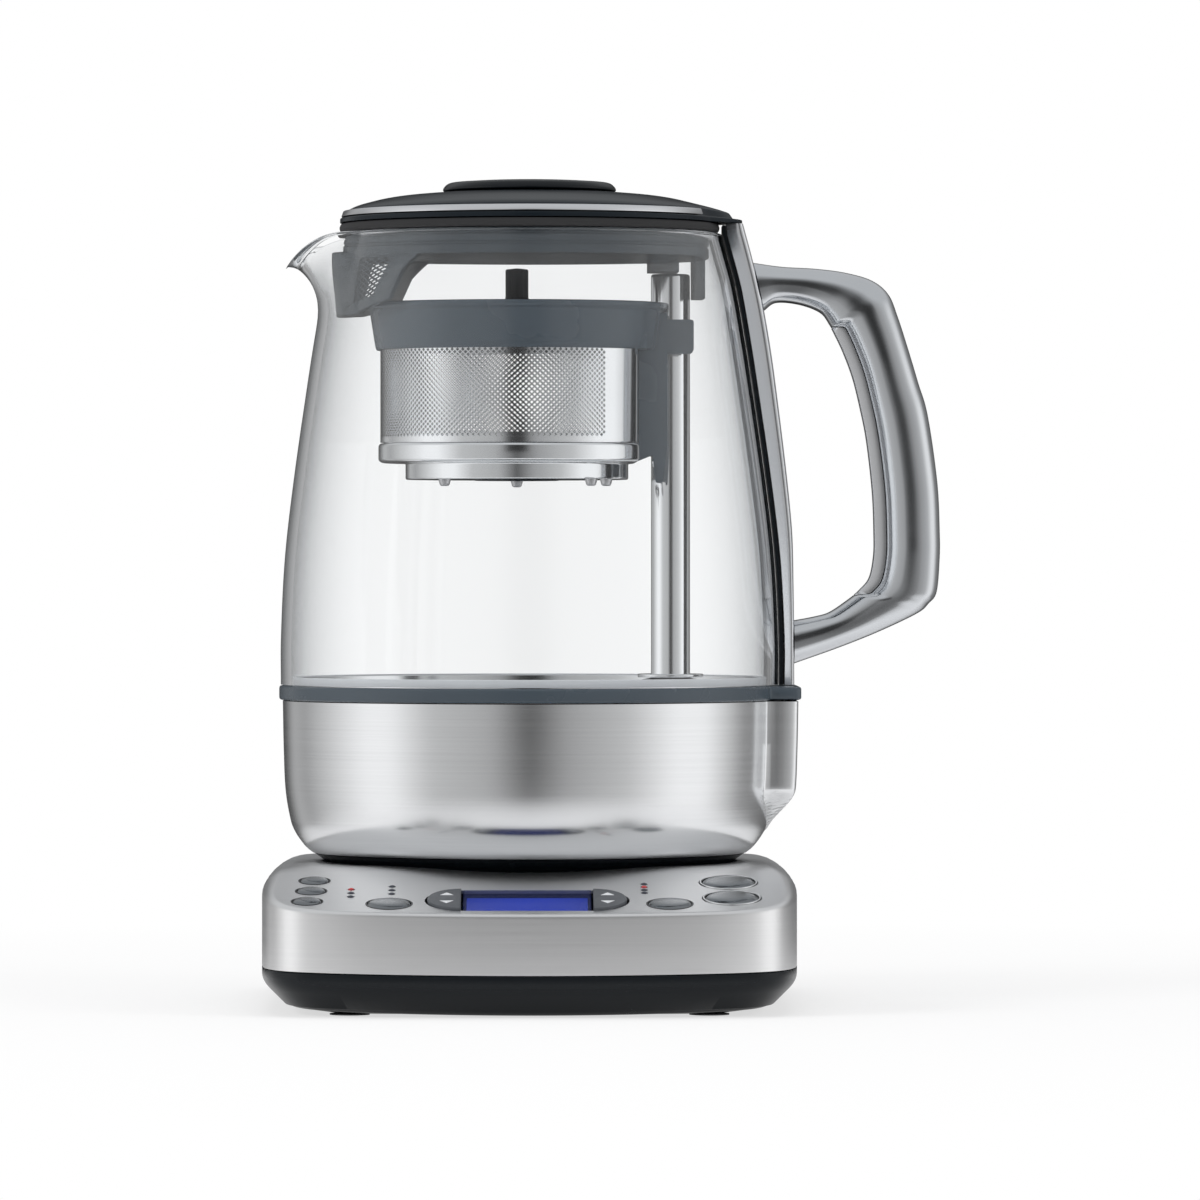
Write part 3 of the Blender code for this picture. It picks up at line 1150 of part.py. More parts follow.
def build_lift(finish, axis, post_axis):
    """Post, motor, lead screw and the magnet carriage inside the post."""
    inner = POST_RADIUS - POST_WALL
    flange = POST_BOTTOM + POST_FLANGE_HEIGHT
    post = [
        (inner, POST_BOTTOM), (POST_RADIUS + POST_FLANGE, POST_BOTTOM), (POST_RADIUS + POST_FLANGE, flange),
        (POST_RADIUS, flange + POST_WALL), (POST_RADIUS, POST_TOP - POST_WALL),
        (POST_RADIUS - POST_WALL, POST_TOP), (0.0, POST_TOP), (0.0, POST_TOP - POST_CAP),
        (inner, POST_TOP - POST_CAP),
    ]
    add_object("lift_post", turned(post, MID_SEGMENTS), finish["bright"], axis, (POST_PLACE, 0.0, 0.0))

    bore = SCREW_RADIUS + THREAD_DEPTH + SLIDE_GAP
    motor_top = PLATE_BOTTOM - GAP
    bore_floor = motor_top - SCREW_INTO_MOTOR - SCREW_END_CLEARANCE
    motor = [
        (0.0, motor_top - MOTOR_LENGTH), (MOTOR_RADIUS, motor_top - MOTOR_LENGTH), (MOTOR_RADIUS, motor_top),
        (bore, motor_top), (bore, bore_floor), (0.0, bore_floor),
    ]
    add_object("lift_motor", turned(motor, MID_SEGMENTS), finish["magnet"], axis, (POST_PLACE, 0.0, 0.0))

    low = motor_top - SCREW_INTO_MOTOR
    high = POST_TOP - POST_CAP - SCREW_END_CLEARANCE
    turns = (high - low) / SCREW_LEAD
    count = math.ceil(turns * THREAD_RINGS_PER_TURN)
    rings = []
    for index in range(count + 1):
        height = low + (high - low) * index / count
        twist = 2 * math.pi * (height - low) / SCREW_LEAD
        centre = Vector((THREAD_DEPTH * math.cos(twist), THREAD_DEPTH * math.sin(twist), height))
        rings.append([centre + Vector((SCREW_RADIUS * math.cos(turn), SCREW_RADIUS * math.sin(turn), 0.0))
                      for turn in angles(TUBE_SEGMENTS)])
    add_object("lead_screw", loft(rings), finish["steel"], post_axis)

    carriage_inner = bore
    carriage_outer = inner - SLIDE_GAP
    half = CARRIAGE_HEIGHT / 2
    carriage = [
        (carriage_inner, MAGNET_HEIGHT - half), (carriage_outer, MAGNET_HEIGHT - half),
        (carriage_outer, MAGNET_HEIGHT + half), (carriage_inner, MAGNET_HEIGHT + half),
    ]
    add_object("magnet_carriage", turned(carriage, SMALL_SEGMENTS), finish["magnet"], post_axis)


# Basket

def basket_loft(profile, closed=True):
    """Skins a (radius, height) outline with the basket's flat."""
    rings = [[basket_point(angle, radius, height) for angle in angles(JUG_SEGMENTS)]
             for radius, height in profile]
    return loft(rings, closed)


def post_slot(low, high):
    """Open slot round the post, seen from the basket's axis."""
    at = POST_PLACE - BASKET_PLACE
    radius = POST_RADIUS + SLIDE_GAP
    outline = [(at + CLIP_REACH, -radius), (at + CLIP_REACH, radius)]
    half = SMALL_SEGMENTS // 2
    for step in range(half + 1):
        turn = math.pi / 2 + math.pi * step / half
        outline.append((at + radius * math.cos(turn), radius * math.sin(turn)))
    return prism(outline, low, high)


def build_basket(finish, basket):
    """Collar with its arm and clip, wall, floor pan and magnet."""
    bottom = COLLAR_RING_TOP - COLLAR_RING_HEIGHT
    outer = COLLAR_RING_RADIUS
    sides = [
        (outer - COLLAR_RING_ROUNDING, COLLAR_RING_TOP), (outer, COLLAR_RING_TOP - COLLAR_RING_ROUNDING),
        (outer, COLLAR_RING_TOP - COLLAR_RING_LIP),
        (outer - COLLAR_RING_LIP, COLLAR_RING_TOP - COLLAR_RING_LIP_HEIGHT),
        (outer - COLLAR_RING_TAPER / 2, bottom + COLLAR_RING_FOOT_HEIGHT),
        (outer - COLLAR_RING_TAPER, bottom),
    ]
    rings = [[Vector((radius * math.cos(angle), radius * math.sin(angle), height))
              for angle in angles(JUG_SEGMENTS)] for radius, height in reversed(sides)]
    collar = add_object("basket_collar", loft(rings), finish["grey"], basket)
    arm_outer = ARM_OUTER - BASKET_PLACE
    flat = BASKET_FLAT - PAN_UPSTAND
    tongue_inner = POST_PLACE - POST_RADIUS - BASKET_PLACE
    arm = [
        (flat, ARM_TOP), (flat, ARM_BOTTOM), (tongue_inner, ARM_BOTTOM + ARM_SLANT / 2),
        (tongue_inner + ARM_SLANT / 4, TONGUE_BOTTOM), (tongue_inner + TONGUE_WIDTH, TONGUE_BOTTOM),
        (arm_outer, ARM_BOTTOM + ARM_SLANT), (arm_outer, ARM_TOP),
    ]
    boolean(collar, "UNION", prism(arm, -ARM_HALF_WIDTH, ARM_HALF_WIDTH, "Y"), basket)
    clip = bmesh.new()
    box(clip, (arm_outer - TONGUE_WIDTH, -CLIP_HALF_WIDTH, CLIP_TOP - CLIP_HEIGHT),
        (CLIP_REACH - BASKET_PLACE, CLIP_HALF_WIDTH, CLIP_TOP))
    boolean(collar, "UNION", clip, basket)
    hole = BASKET_RADIUS + SLIDE_GAP
    lip = BASKET_RADIUS + BASKET_RIM_LIP + SLIDE_GAP
    ledge = BASKET_RIM - BASKET_WALL - GAP
    plug = basket_loft([(hole, TONGUE_BOTTOM - OVERRUN), (hole, ledge), (lip, ledge),
                        (lip, COLLAR_RING_TOP + OVERRUN)], closed=False)
    boolean(collar, "DIFFERENCE", plug, basket)
    boolean(collar, "DIFFERENCE", post_slot(TONGUE_BOTTOM - OVERRUN, COLLAR_RING_TOP + OVERRUN), basket)

    depth, width, height = MAGNET_SIZE
    face = BASKET_FLAT + SLIDE_GAP + GAP
    low = MAGNET_HEIGHT - height / 2
    high = MAGNET_HEIGHT + height / 2
    pocket = bmesh.new()
    box(pocket, (flat, -width / 2 - GAP, low - GAP), (face + depth + GAP, width / 2 + GAP, high + GAP))
    boolean(collar, "DIFFERENCE", pocket, basket)
    magnet = bmesh.new()
    box(magnet, (face, -width / 2, low), (face + depth, width / 2, high))
    add_object("basket_magnet", magnet, finish["magnet"], basket)

    inner = BASKET_RADIUS - BASKET_WALL
    wall_bottom = BASKET_SEAM + GAP
    wall = [
        (BASKET_RADIUS, wall_bottom), (BASKET_RADIUS, BASKET_RIM - BASKET_WALL),
        (BASKET_RADIUS + BASKET_RIM_LIP, BASKET_RIM - BASKET_WALL),
        (BASKET_RADIUS + BASKET_RIM_LIP, BASKET_RIM), (inner, BASKET_RIM), (inner, wall_bottom),
    ]
    add_object("basket_wall", basket_loft(wall), finish["bright"], basket)

    seam_low = BASKET_SEAM - BASKET_SEAM_HEIGHT
    pan_low = seam_low - PAN_DEPTH
    upstand = inner - GAP
    pan = [
        (PAN_RADIUS - PAN_WALL, pan_low), (PAN_RADIUS, pan_low + PAN_WALL), (PAN_RADIUS, seam_low),
        (BASKET_RADIUS - PAN_WALL, seam_low), (BASKET_RADIUS, seam_low + PAN_WALL),
        (BASKET_RADIUS, BASKET_SEAM), (upstand, BASKET_SEAM), (upstand, BASKET_SEAM + PAN_UPSTAND),
        (upstand - PAN_WALL, BASKET_SEAM + PAN_UPSTAND), (upstand - PAN_WALL, seam_low + PAN_WALL),
        (PAN_RADIUS - PAN_WALL, seam_low + PAN_WALL), (PAN_RADIUS - PAN_WALL, pan_low + PAN_WALL),
    ]
    add_object("basket_floor", basket_loft(pan, closed=False), finish["bright"], basket)


def build_basket_lid(finish, basket_lid):
    """Lid of the basket: a disc on the wall's rim, and its knob."""
    low = BASKET_RIM + GAP
    radius = BASKET_RADIUS + BASKET_LID_LIP
    disc = [(radius, low), (radius, low + BASKET_LID_THICKNESS)]
    add_object("basket_lid", basket_loft(disc, closed=False), finish["bright"], basket_lid)
    knob_low = low + BASKET_LID_THICKNESS + GAP
    knob = [
        (0.0, knob_low), (BASKET_KNOB_RADIUS, knob_low),
        (BASKET_KNOB_RADIUS, BASKET_KNOB_TOP - BASKET_KNOB_ROUNDING),
        (BASKET_KNOB_RADIUS - BASKET_KNOB_ROUNDING, BASKET_KNOB_TOP), (0.0, BASKET_KNOB_TOP),
    ]
    add_object("basket_lid_knob", turned(knob, SMALL_SEGMENTS), finish["black"], basket_lid)


# Jug lid

def build_lid(finish, lid):
    """Dome with its tongue over the spine, trim band, grip disc, seal and skirt."""
    top = [(LID_RADIUS * across, LID_BOTTOM + LID_RISE * up) for across, up in LID_SHARES]
    stem_hole = KNOB_STEM_RADIUS + GAP
    inner_edge = LID_RADIUS * LID_SHARES[0][0] - LID_WALL
    outer = [(LID_RADIUS, LID_BOTTOM), (LID_RADIUS, LID_BOTTOM + LID_RISE * LID_SHARES[0][1])] + top
    outer.append((stem_hole, LID_TOP))
    under = [(radius - LID_WALL, height - LID_WALL) for radius, height in reversed(top[1:])]
    under = [(stem_hole, LID_TOP - LID_WALL)] + under + [(inner_edge, LID_BOTTOM)]
    rings = []
    for radius, height in outer + under:
        ring = []
        start = LID_RADIUS * TONGUE_START_SHARE
        drawn = min(max((radius - start) / (LID_RADIUS - start), 0.0), 1.0)
        above = min(max((height - LID_BOTTOM) / LID_RISE, 0.0), 1.0)
        for angle in angles(JUG_SEGMENTS):
            turn = math.remainder(angle, 2 * math.pi)
            weight = bell(turn, TONGUE_HALF_ANGLE) * drawn
            reach = radius + TONGUE_REACH * weight
            lowered = height - TONGUE_DROP * weight * above
            ring.append(Vector((reach * math.cos(angle), reach * math.sin(angle), lowered)))
        rings.append(ring)
    add_object("lid_dome", loft(rings, closed=True), finish["dark"], lid)

    trim_low = LID_BOTTOM + TRIM_LIFT
    trim_high = trim_low + TRIM_HEIGHT
    trim_inner = LID_RADIUS * LID_SHARES[0][0] + GAP
    trim_outer = trim_inner + TRIM_THICKNESS
    section = [
        (trim_inner, trim_low), (trim_outer, trim_low),
        (trim_outer - TRIM_LEAN, trim_high), (trim_inner - TRIM_LEAN + GAP, trim_high),
    ]
    trim_rings = []
    for index in range(JUG_SEGMENTS + 1):
        turn = TRIM_OPENING + (2 * math.pi - 2 * TRIM_OPENING) * index / JUG_SEGMENTS
        trim_rings.append([Vector((radius * math.cos(turn), radius * math.sin(turn), height))
                           for radius, height in section])
    add_object("lid_trim", loft(trim_rings), finish["bright"], lid)

    knob_low = LID_TOP + GAP
    stem_low = CEILING_TOP - CEILING_THICKNESS
    knob = [(KNOB_RADIUS * across, knob_low + KNOB_HEIGHT * up) for across, up in KNOB_SHARES]
    knob += [(KNOB_STEM_RADIUS, knob_low), (KNOB_STEM_RADIUS, stem_low), (0.0, stem_low)]
    add_object("lid_knob", turned(knob, MID_SEGMENTS), finish["black"], lid)

    seal_top = LID_SEAL_BOTTOM + LID_SEAL_HEIGHT
    seal = [
        (LID_SEAL_INNER, LID_SEAL_BOTTOM), (LID_RADIUS, LID_SEAL_BOTTOM),
        (LID_RADIUS + GAP, LID_SEAL_BOTTOM + LID_SEAL_HEIGHT / 2), (LID_RADIUS, seal_top),
        (LID_SEAL_INNER, seal_top),
    ]
    add_object("lid_seal", turned(seal, JUG_SEGMENTS), finish["dark"], lid)
    build_skirt(finish, lid)


def leg_section(angle):
    """Section of the skirt's leg at an angle from the spout's direction."""
    fall = (abs(angle) - LEG_NOSE_ANGLE) / (LEG_NOSE_END_ANGLE - LEG_NOSE_ANGLE)
    outer = SKIRT_RADIUS - GAP + LEG_NOSE * (1 - ease(fall))
    inner = outer - SKIRT_WALL
    skirt_inner = SKIRT_RADIUS - SKIRT_WALL + GAP
    bottom = LEG_BOTTOM + LEG_EDGE_RISE * (angle / LEG_HALF_ANGLE_BOTTOM) ** 2
    return [
        (outer, bottom), (outer, SKIRT_BOTTOM + GAP), (SKIRT_RADIUS - 2 * GAP, SKIRT_BOTTOM + SKIRT_WALL),
        (skirt_inner, SKIRT_BOTTOM + SKIRT_WALL), (skirt_inner, SKIRT_BOTTOM - SKIRT_WALL),
        (inner, SKIRT_BOTTOM - 2 * SKIRT_WALL), (inner, bottom),
    ]


def build_skirt(finish, lid):
    """Skirt inside the rim, with the leg behind the spout and the cover over the post."""
    stem_hole = KNOB_STEM_RADIUS + GAP
    neck = LID_SEAL_INNER - GAP
    ceiling = CEILING_TOP - CEILING_THICKNESS
    shoulder = LID_SEAL_BOTTOM - GAP
    inner = SKIRT_RADIUS - SKIRT_WALL
    profile = [
        (SKIRT_RADIUS, SKIRT_BOTTOM), (SKIRT_RADIUS, shoulder), (neck, shoulder), (neck, CEILING_TOP),
        (stem_hole, CEILING_TOP), (stem_hole, ceiling), (neck - SKIRT_WALL, ceiling),
        (neck - SKIRT_WALL, shoulder - SKIRT_WALL), (inner, shoulder - SKIRT_WALL), (inner, SKIRT_BOTTOM),
    ]
    skirt = add_object("lid_skirt", turned(profile, JUG_SEGMENTS), finish["smoke"], lid)
    sections = []
    for index in range(LEG_SECTIONS + 1):
        share = 2 * index / LEG_SECTIONS - 1
        ring = []
        angle_low = LEG_HALF_ANGLE_BOTTOM * share
        angle_high = LEG_HALF_ANGLE_TOP * share
        for radius, height in leg_section(angle_low):
            up = min(max((height - LEG_BOTTOM) / (SKIRT_BOTTOM - LEG_BOTTOM), 0.0), 1.0)
            turn = math.pi + angle_low + (angle_high - angle_low) * up
            ring.append(Vector((radius * math.cos(turn), radius * math.sin(turn), height)))
        sections.append(ring)
    boolean(skirt, "UNION", loft(sections), lid)

    cover = bmesh.new()
    box(cover, (COVER_INNER, -COVER_HALF_WIDTH, COVER_BOTTOM),
        (COVER_SPLIT, COVER_HALF_WIDTH, ceiling + CEILING_THICKNESS / 2))
    boolean(skirt, "UNION", cover, lid)
    side = bmesh.new()
    box(side, (COVER_SPLIT - SKIRT_WALL, -COVER_HALF_WIDTH + GAP, COVER_SIDE_BOTTOM),
        (COVER_OUTER, COVER_HALF_WIDTH - GAP, shoulder - SKIRT_WALL / 2))
    boolean(skirt, "UNION", side, lid)
    post = bmesh.new()
    cylinder(post, POST_RADIUS + SLIDE_GAP, COVER_SIDE_BOTTOM - OVERRUN, POST_TOP + SLIDE_GAP,
             SMALL_SEGMENTS, (POST_PLACE, 0.0))
    boolean(skirt, "DIFFERENCE", post, lid)
    window = bmesh.new()
    middle = (LEG_BOTTOM + SKIRT_BOTTOM) / 2
    box(window, (-SKIRT_RADIUS - LEG_NOSE - OVERRUN, -LEG_WINDOW[0] / 2, middle - LEG_WINDOW[1] / 2),
        (-SKIRT_RADIUS / 2, LEG_WINDOW[0] / 2, middle + LEG_WINDOW[1] / 2))
    boolean(skirt, "DIFFERENCE", window, lid)


# Spine and handle

def handle_stations():
    """Outer point, inner point and half width at each station of the handle."""
    stations = []
    for outer_out, outer_up, inner_out, inner_up, width in HANDLE_SHARES:
        points = []
        for out, up in ((outer_out, outer_up), (inner_out, inner_up)):
            height = HANDLE_BOTTOM + (HANDLE_TOP - HANDLE_BOTTOM) * up
            near = spine_outer(height) + GAP
            points.append(Vector((near + (HANDLE_REACH - near) * out, 0.0, height)))
        stations.append((points[0], points[1], HANDLE_HALF_WIDTH * width))
    return stations


def section_ring(outer, inner, half_width, shares):
    """Ring of the handle between an outer and an inner point."""
    middle = (outer + inner) / 2
    half = (outer - inner) / 2
    return [middle + half * along + Vector((0.0, half_width * across, 0.0)) for along, across in shares]


def build_handle(finish, axis):
    """Spine, the dark strip behind it, the grip, its insert and its screw."""
    height = SPINE_TOP - GLASS_BOTTOM
    rings = []
    for share in SPINE_RING_SHARES:
        z = GLASS_BOTTOM + height * share
        low = spine_inner(z)
        high = spine_outer(z)
        wide = SPINE_HALF_WIDTH
        edge = (high - low) * SPINE_EDGE_SHARE
        rings.append([Vector(point) for point in (
            (low, -wide, z), (high - edge, -wide, z), (high, edge - wide, z), (high, wide - edge, z),
            (high - edge, wide, z), (low, wide, z))])
    spine = add_object("handle_spine", loft(rings), finish["bright"], axis)

    strip_rings = []
    strip_height = GLASS_TOP - STRIP_TOP_INSET - GLASS_BOTTOM
    for share in GLASS_RING_SHARES:
        z = GLASS_BOTTOM + strip_height * share
        low = glass_radius(z) + GAP
        high = low + STRIP_THICKNESS
        strip_rings.append([Vector(point) for point in (
            (low, -STRIP_HALF_WIDTH, z), (high, -STRIP_HALF_WIDTH, z), (high, STRIP_HALF_WIDTH, z),
            (low, STRIP_HALF_WIDTH, z))])
    add_object("spine_strip", loft(strip_rings), finish["black"], axis)

    stations = handle_stations()
    grip_rings = []
    for index, (outer, inner, width) in enumerate(stations):
        if INSERT_FIRST - 1 <= index <= INSERT_LAST + 1:
            inner = inner + (outer - inner).normalized() * (INSERT_THICKNESS + GAP)
        grip_rings.append(section_ring(outer, inner, width, GRIP_SECTION_SHARES))
    grip = add_object("handle_grip", loft(grip_rings), finish["bright"], axis)

    insert_rings = []
    insert_shares = ((-1.0, -INSERT_EDGE_SHARE), (-1.0, INSERT_EDGE_SHARE), (1.0, 1.0), (1.0, -1.0))
    for outer, inner, width in stations[INSERT_FIRST:INSERT_LAST + 1]:
        face = inner + (outer - inner).normalized() * INSERT_THICKNESS
        insert_rings.append(section_ring(face, inner, width * INSERT_WIDTH_SHARE, insert_shares))
    add_object("handle_insert", loft(insert_rings), finish["steel"], axis)

    start = spine_inner(HANDLE_SCREW_HEIGHT)
    head_end = start + HANDLE_SCREW_HEAD_HEIGHT
    tip = spine_outer(HANDLE_SCREW_HEIGHT) + HANDLE_SCREW_REACH
    screw = [
        (0.0, start), (HANDLE_SCREW_HEAD, start), (HANDLE_SCREW_HEAD, head_end),
        (HANDLE_SCREW_RADIUS, head_end), (HANDLE_SCREW_RADIUS, tip), (0.0, tip),
    ]
    along_x = (0.0, math.pi / 2, 0.0)
    fastener = add_object("handle_screw", turned(screw, TINY_SEGMENTS), finish["steel"], axis,
                          (0.0, 0.0, HANDLE_SCREW_HEIGHT))
    fastener.rotation_euler = along_x
    for target, radius, low, high in (
            (spine, HANDLE_SCREW_RADIUS + GAP, start - OVERRUN, tip + OVERRUN),
            (spine, HANDLE_SCREW_HEAD + GAP, start - OVERRUN, head_end + GAP),
            (grip, HANDLE_SCREW_RADIUS + GAP, start - OVERRUN, tip + GAP)):
        hole = bmesh.new()
        cylinder(hole, radius, low, high, TINY_SEGMENTS)
        helper = boolean(target, "DIFFERENCE", hole, axis, (0.0, 0.0, HANDLE_SCREW_HEIGHT))
        helper.rotation_euler = along_x


def build_tea_maker():
    """Builds the whole object."""
    clear_objects()
    finish = make_materials()
    axis = add_empty("jug_axis", (AXIS_X, AXIS_Y, 0.0))
    panel = add_empty("panel_plane", (0.0, -AXIS_TO_FRONT, CREASE_HEIGHT), (PANEL_ANGLE, 0.0, 0.0), axis)
    post_axis = add_empty("post_axis", (POST_PLACE, 0.0, 0.0), parent=axis)
    basket = add_empty("basket_axis", (BASKET_PLACE, 0.0, 0.0), parent=axis)
    build_base(finish, axis, panel)
    build_buttons(finish, panel)
    build_display(finish, panel)
    build_lights(finish, panel)
    build_carrier(finish, axis, panel)
    build_jug(finish, axis)
    build_lift(finish, axis, post_axis)
    build_basket(finish, basket)
    build_basket_lid(finish, basket)
    build_lid(finish, axis)
    build_handle(finish, axis)


build_tea_maker()
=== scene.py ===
"""Automatic tea maker, dressed: a glass jug with a lifting basket on a power base.

Shapes are worked out in millimetres about the jug's upright axis, with x to the handle, y to the back
and z up from the floor.  ``place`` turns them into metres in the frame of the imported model.  Turned outlines
start at the radius CORE, as near to their axis as a face may be.
"""
import logging
import math
from collections.abc import Callable
from dataclasses import dataclass
from enum import Enum

import bmesh
import bpy
import numpy as np
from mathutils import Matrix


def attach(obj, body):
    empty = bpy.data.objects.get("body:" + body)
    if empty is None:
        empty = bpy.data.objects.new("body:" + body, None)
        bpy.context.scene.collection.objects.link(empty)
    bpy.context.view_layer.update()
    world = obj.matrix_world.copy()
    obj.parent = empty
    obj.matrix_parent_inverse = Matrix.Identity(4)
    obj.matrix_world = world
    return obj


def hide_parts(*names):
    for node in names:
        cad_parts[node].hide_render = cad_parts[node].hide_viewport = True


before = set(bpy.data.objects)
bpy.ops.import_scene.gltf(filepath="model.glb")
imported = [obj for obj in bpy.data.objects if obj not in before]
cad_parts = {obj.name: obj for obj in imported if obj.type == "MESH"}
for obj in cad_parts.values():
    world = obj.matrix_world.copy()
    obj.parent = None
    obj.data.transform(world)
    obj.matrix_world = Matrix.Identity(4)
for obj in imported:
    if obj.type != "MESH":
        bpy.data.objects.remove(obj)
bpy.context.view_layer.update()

LOG = logging.getLogger("tea_maker")
MM = 0.001
AXIS_X, AXIS_Y = -22.8, 15.0
SHARP_ANGLE = 35.0
CORE = 0.01
MERGE_DISTANCE = 1e-7
EMPTY_LENGTH = 1e-8


class Body(Enum):
    """Moving bodies that the pieces ride on."""

    BASE = "power_base"
    PLUG = "jug_plug"
    JUG = "jug"
    BASKET = "basket"
    COVER = "basket_cover"
    LID = "lid"


# Shapes


def ease(value: np.ndarray) -> np.ndarray:
    """Smooth step from 0 to 1: 3 t^2 - 2 t^3 with t held between 0 and 1."""
    t = np.clip(value, 0.0, 1.0)
    return t * t * (3.0 - 2.0 * t)


def bell(angle: np.ndarray, half_angle: float) -> np.ndarray:
    """Squared cosine hump: 1 at zero angle, 0 at the half angle and beyond."""
    turned = np.clip(np.abs(angle) / half_angle, 0.0, 1.0)
    return np.cos(0.5 * math.pi * turned) ** 2


def curve(knots: np.ndarray, at: np.ndarray) -> np.ndarray:
    """Cubic Hermite curve through knots, with slopes from each knot's neighbours.

    Args:
        knots: Rows of (place, value, ...), with rising places.
        at: Places where the curve is wanted.

    Returns:
        The values at those places, one column for each value of a knot.
    """
    table = np.asarray(knots, dtype=float)
    x, y = table[:, 0], table[:, 1:]
    slope = np.empty_like(y)
    slope[1:-1] = (y[2:] - y[:-2]) / (x[2:] - x[:-2])[:, None]
    slope[0] = (y[1] - y[0]) / (x[1] - x[0])
    slope[-1] = (y[-1] - y[-2]) / (x[-1] - x[-2])
    at = np.clip(np.atleast_1d(at), x[0], x[-1])
    low = np.clip(np.searchsorted(x, at, side="right") - 1, 0, len(x) - 2)
    span = (x[low + 1] - x[low])[:, None]
    t = (at - x[low])[:, None] / span
    values = (y[low] * (1 + 2 * t) * (1 - t) ** 2 + y[low + 1] * t * t * (3 - 2 * t)
              + slope[low] * span * t * (1 - t) ** 2 - slope[low + 1] * span * t * t * (1 - t))
    return values[:, 0] if values.shape[1] == 1 else values


def rounded(corners: list[tuple[float, ...]], steps: int = 5, closed: bool = False) -> np.ndarray:
    """Broken line with its corners rounded: each corner is a quadratic curve between two cuts.

    Args:
        corners: Points (across, up, radius); a radius of 0 keeps the corner.
        steps: Number of stretches in each rounded corner.
        closed: Whether the last point joins the first.

    Returns:
        Array of points.
    """
    points = np.array([corner[:2] for corner in corners], dtype=float)
    radii = [corner[2] if len(corner) > 2 else 0.0 for corner in corners]
    count = len(points)
    t = np.linspace(0.0, 1.0, steps + 1)[:, None]
    line = []
    for index, (point, radius) in enumerate(zip(points, radii)):
        if radius <= 0 or (not closed and index in (0, count - 1)):
            line.append(point[None])
            continue
        before, after = points[index - 1] - point, points[(index + 1) % count] - point
        cut = [min(radius / np.linalg.norm(way), 0.49) * way for way in (before, after)]
        line.append(point + cut[0] * (1 - t) ** 2 + cut[1] * t * t)
    return np.concatenate(line)


def turn(count: int, start: float = 0.0, stop: float = 2 * math.pi, ends: bool = False) -> np.ndarray:
    """Evenly spaced angles between two angles, with or without the last one."""
    return np.linspace(start, stop, count, endpoint=ends)


def revolved(profile: np.ndarray, angles: np.ndarray) -> np.ndarray:
    """Surface of revolution: each profile point (r, z) goes round as (r cos a, r sin a, z)."""
    radius, height = profile[:, :1], profile[:, 1:2]
    return np.stack([radius * np.cos(angles), radius * np.sin(angles),
                     np.broadcast_to(height, (len(profile), len(angles)))], axis=-1)


def turned_grid(corners: list[tuple[float, ...]], at: tuple[float, float], count: int,
                steps: int) -> np.ndarray:
    """Closed (radius, height, rounding) outline spun about an upright axis.

    Args:
        corners: The outline's corners.
        at: Place of the axis in plan.
        count: Number of stretches round the axis.
        steps: Number of stretches in a rounded corner.

    Returns:
        Points as rows of the outline, columns round the axis, xyz.
    """
    return revolved(rounded(corners, steps, closed=True), turn(count)) + np.array([*at, 0.0])


def level(outline: np.ndarray, height: float | np.ndarray) -> np.ndarray:
    """Outline seen from above as points (x, y, z), at one height or at a height each."""
    return np.column_stack([outline, np.broadcast_to(height, len(outline))])


def circle(angles: np.ndarray, radius: float | np.ndarray, height: float | np.ndarray,
           middle: float = 0.0) -> np.ndarray:
    """Ring about an upright axis at x = middle: (r cos a + middle, r sin a, z)."""
    return np.column_stack([radius * np.cos(angles) + middle, radius * np.sin(angles),
                            np.broadcast_to(height, len(angles))])


def drawn_in(outline: np.ndarray, inset: float) -> np.ndarray:
    """Outline drawn in: each point moves by the inset towards the outline's middle.

    Args:
        outline: Points of the outline.
        inset: How far they move.

    Returns:
        The new points.
    """
    middle = outline.mean(axis=0)
    away = outline - middle
    return middle + away * (1 - inset / np.linalg.norm(away, axis=1, keepdims=True))


class Sheet:
    """Collects grids of points as quads, and loose faces, for one mesh object."""

    def __init__(self) -> None:
        """Starts with no points and no faces."""
        self.points: list[np.ndarray] = []
        self.faces: list[np.ndarray] = []
        self.loose: list[list[int]] = []
        self.count = 0

    def add_points(self, points: np.ndarray) -> int:
        """Adds points.

        Args:
            points: Any array whose last axis is xyz.

        Returns:
            The number of the first of them.
        """
        first = self.count
        self.points.append(points.reshape(-1, 3))
        self.count += len(self.points[-1])
        return first

    def grid(self, grid: np.ndarray, wrap_rows: bool = False, caps: bool = False) -> "Sheet":
        """Adds a grid of points as quads; its last column joins the first.

        Args:
            grid: Points as rows, columns, xyz.
            wrap_rows: Whether the last row joins the first.
            caps: Whether the first and the last row are closed with a flat face each.

        Returns:
            This sheet.
        """
        rows, columns = grid.shape[:2]
        number = self.add_points(grid) + np.arange(rows * columns).reshape(rows, columns)
        if caps:
            self.loose += [number[0][::-1].tolist(), number[-1].tolist()]
        if wrap_rows:
            number = np.vstack([number, number[:1]])
        number = np.hstack([number, number[:, :1]])
        quads = np.stack([number[:-1, :-1], number[:-1, 1:], number[1:, 1:], number[1:, :-1]], axis=-1)
        self.faces.append(quads.reshape(-1, 4))
        return self

    def quads(self, points: np.ndarray, faces: np.ndarray) -> "Sheet":
        """Adds points with faces of four numbers each, counted from the first of them."""
        self.faces.append(faces + self.add_points(points))
        return self


def place(points: np.ndarray) -> np.ndarray:
    """Millimetres about the jug's axis to metres in the model's frame."""
    return (points + np.array([AXIS_X, AXIS_Y, 0.0])) * MM


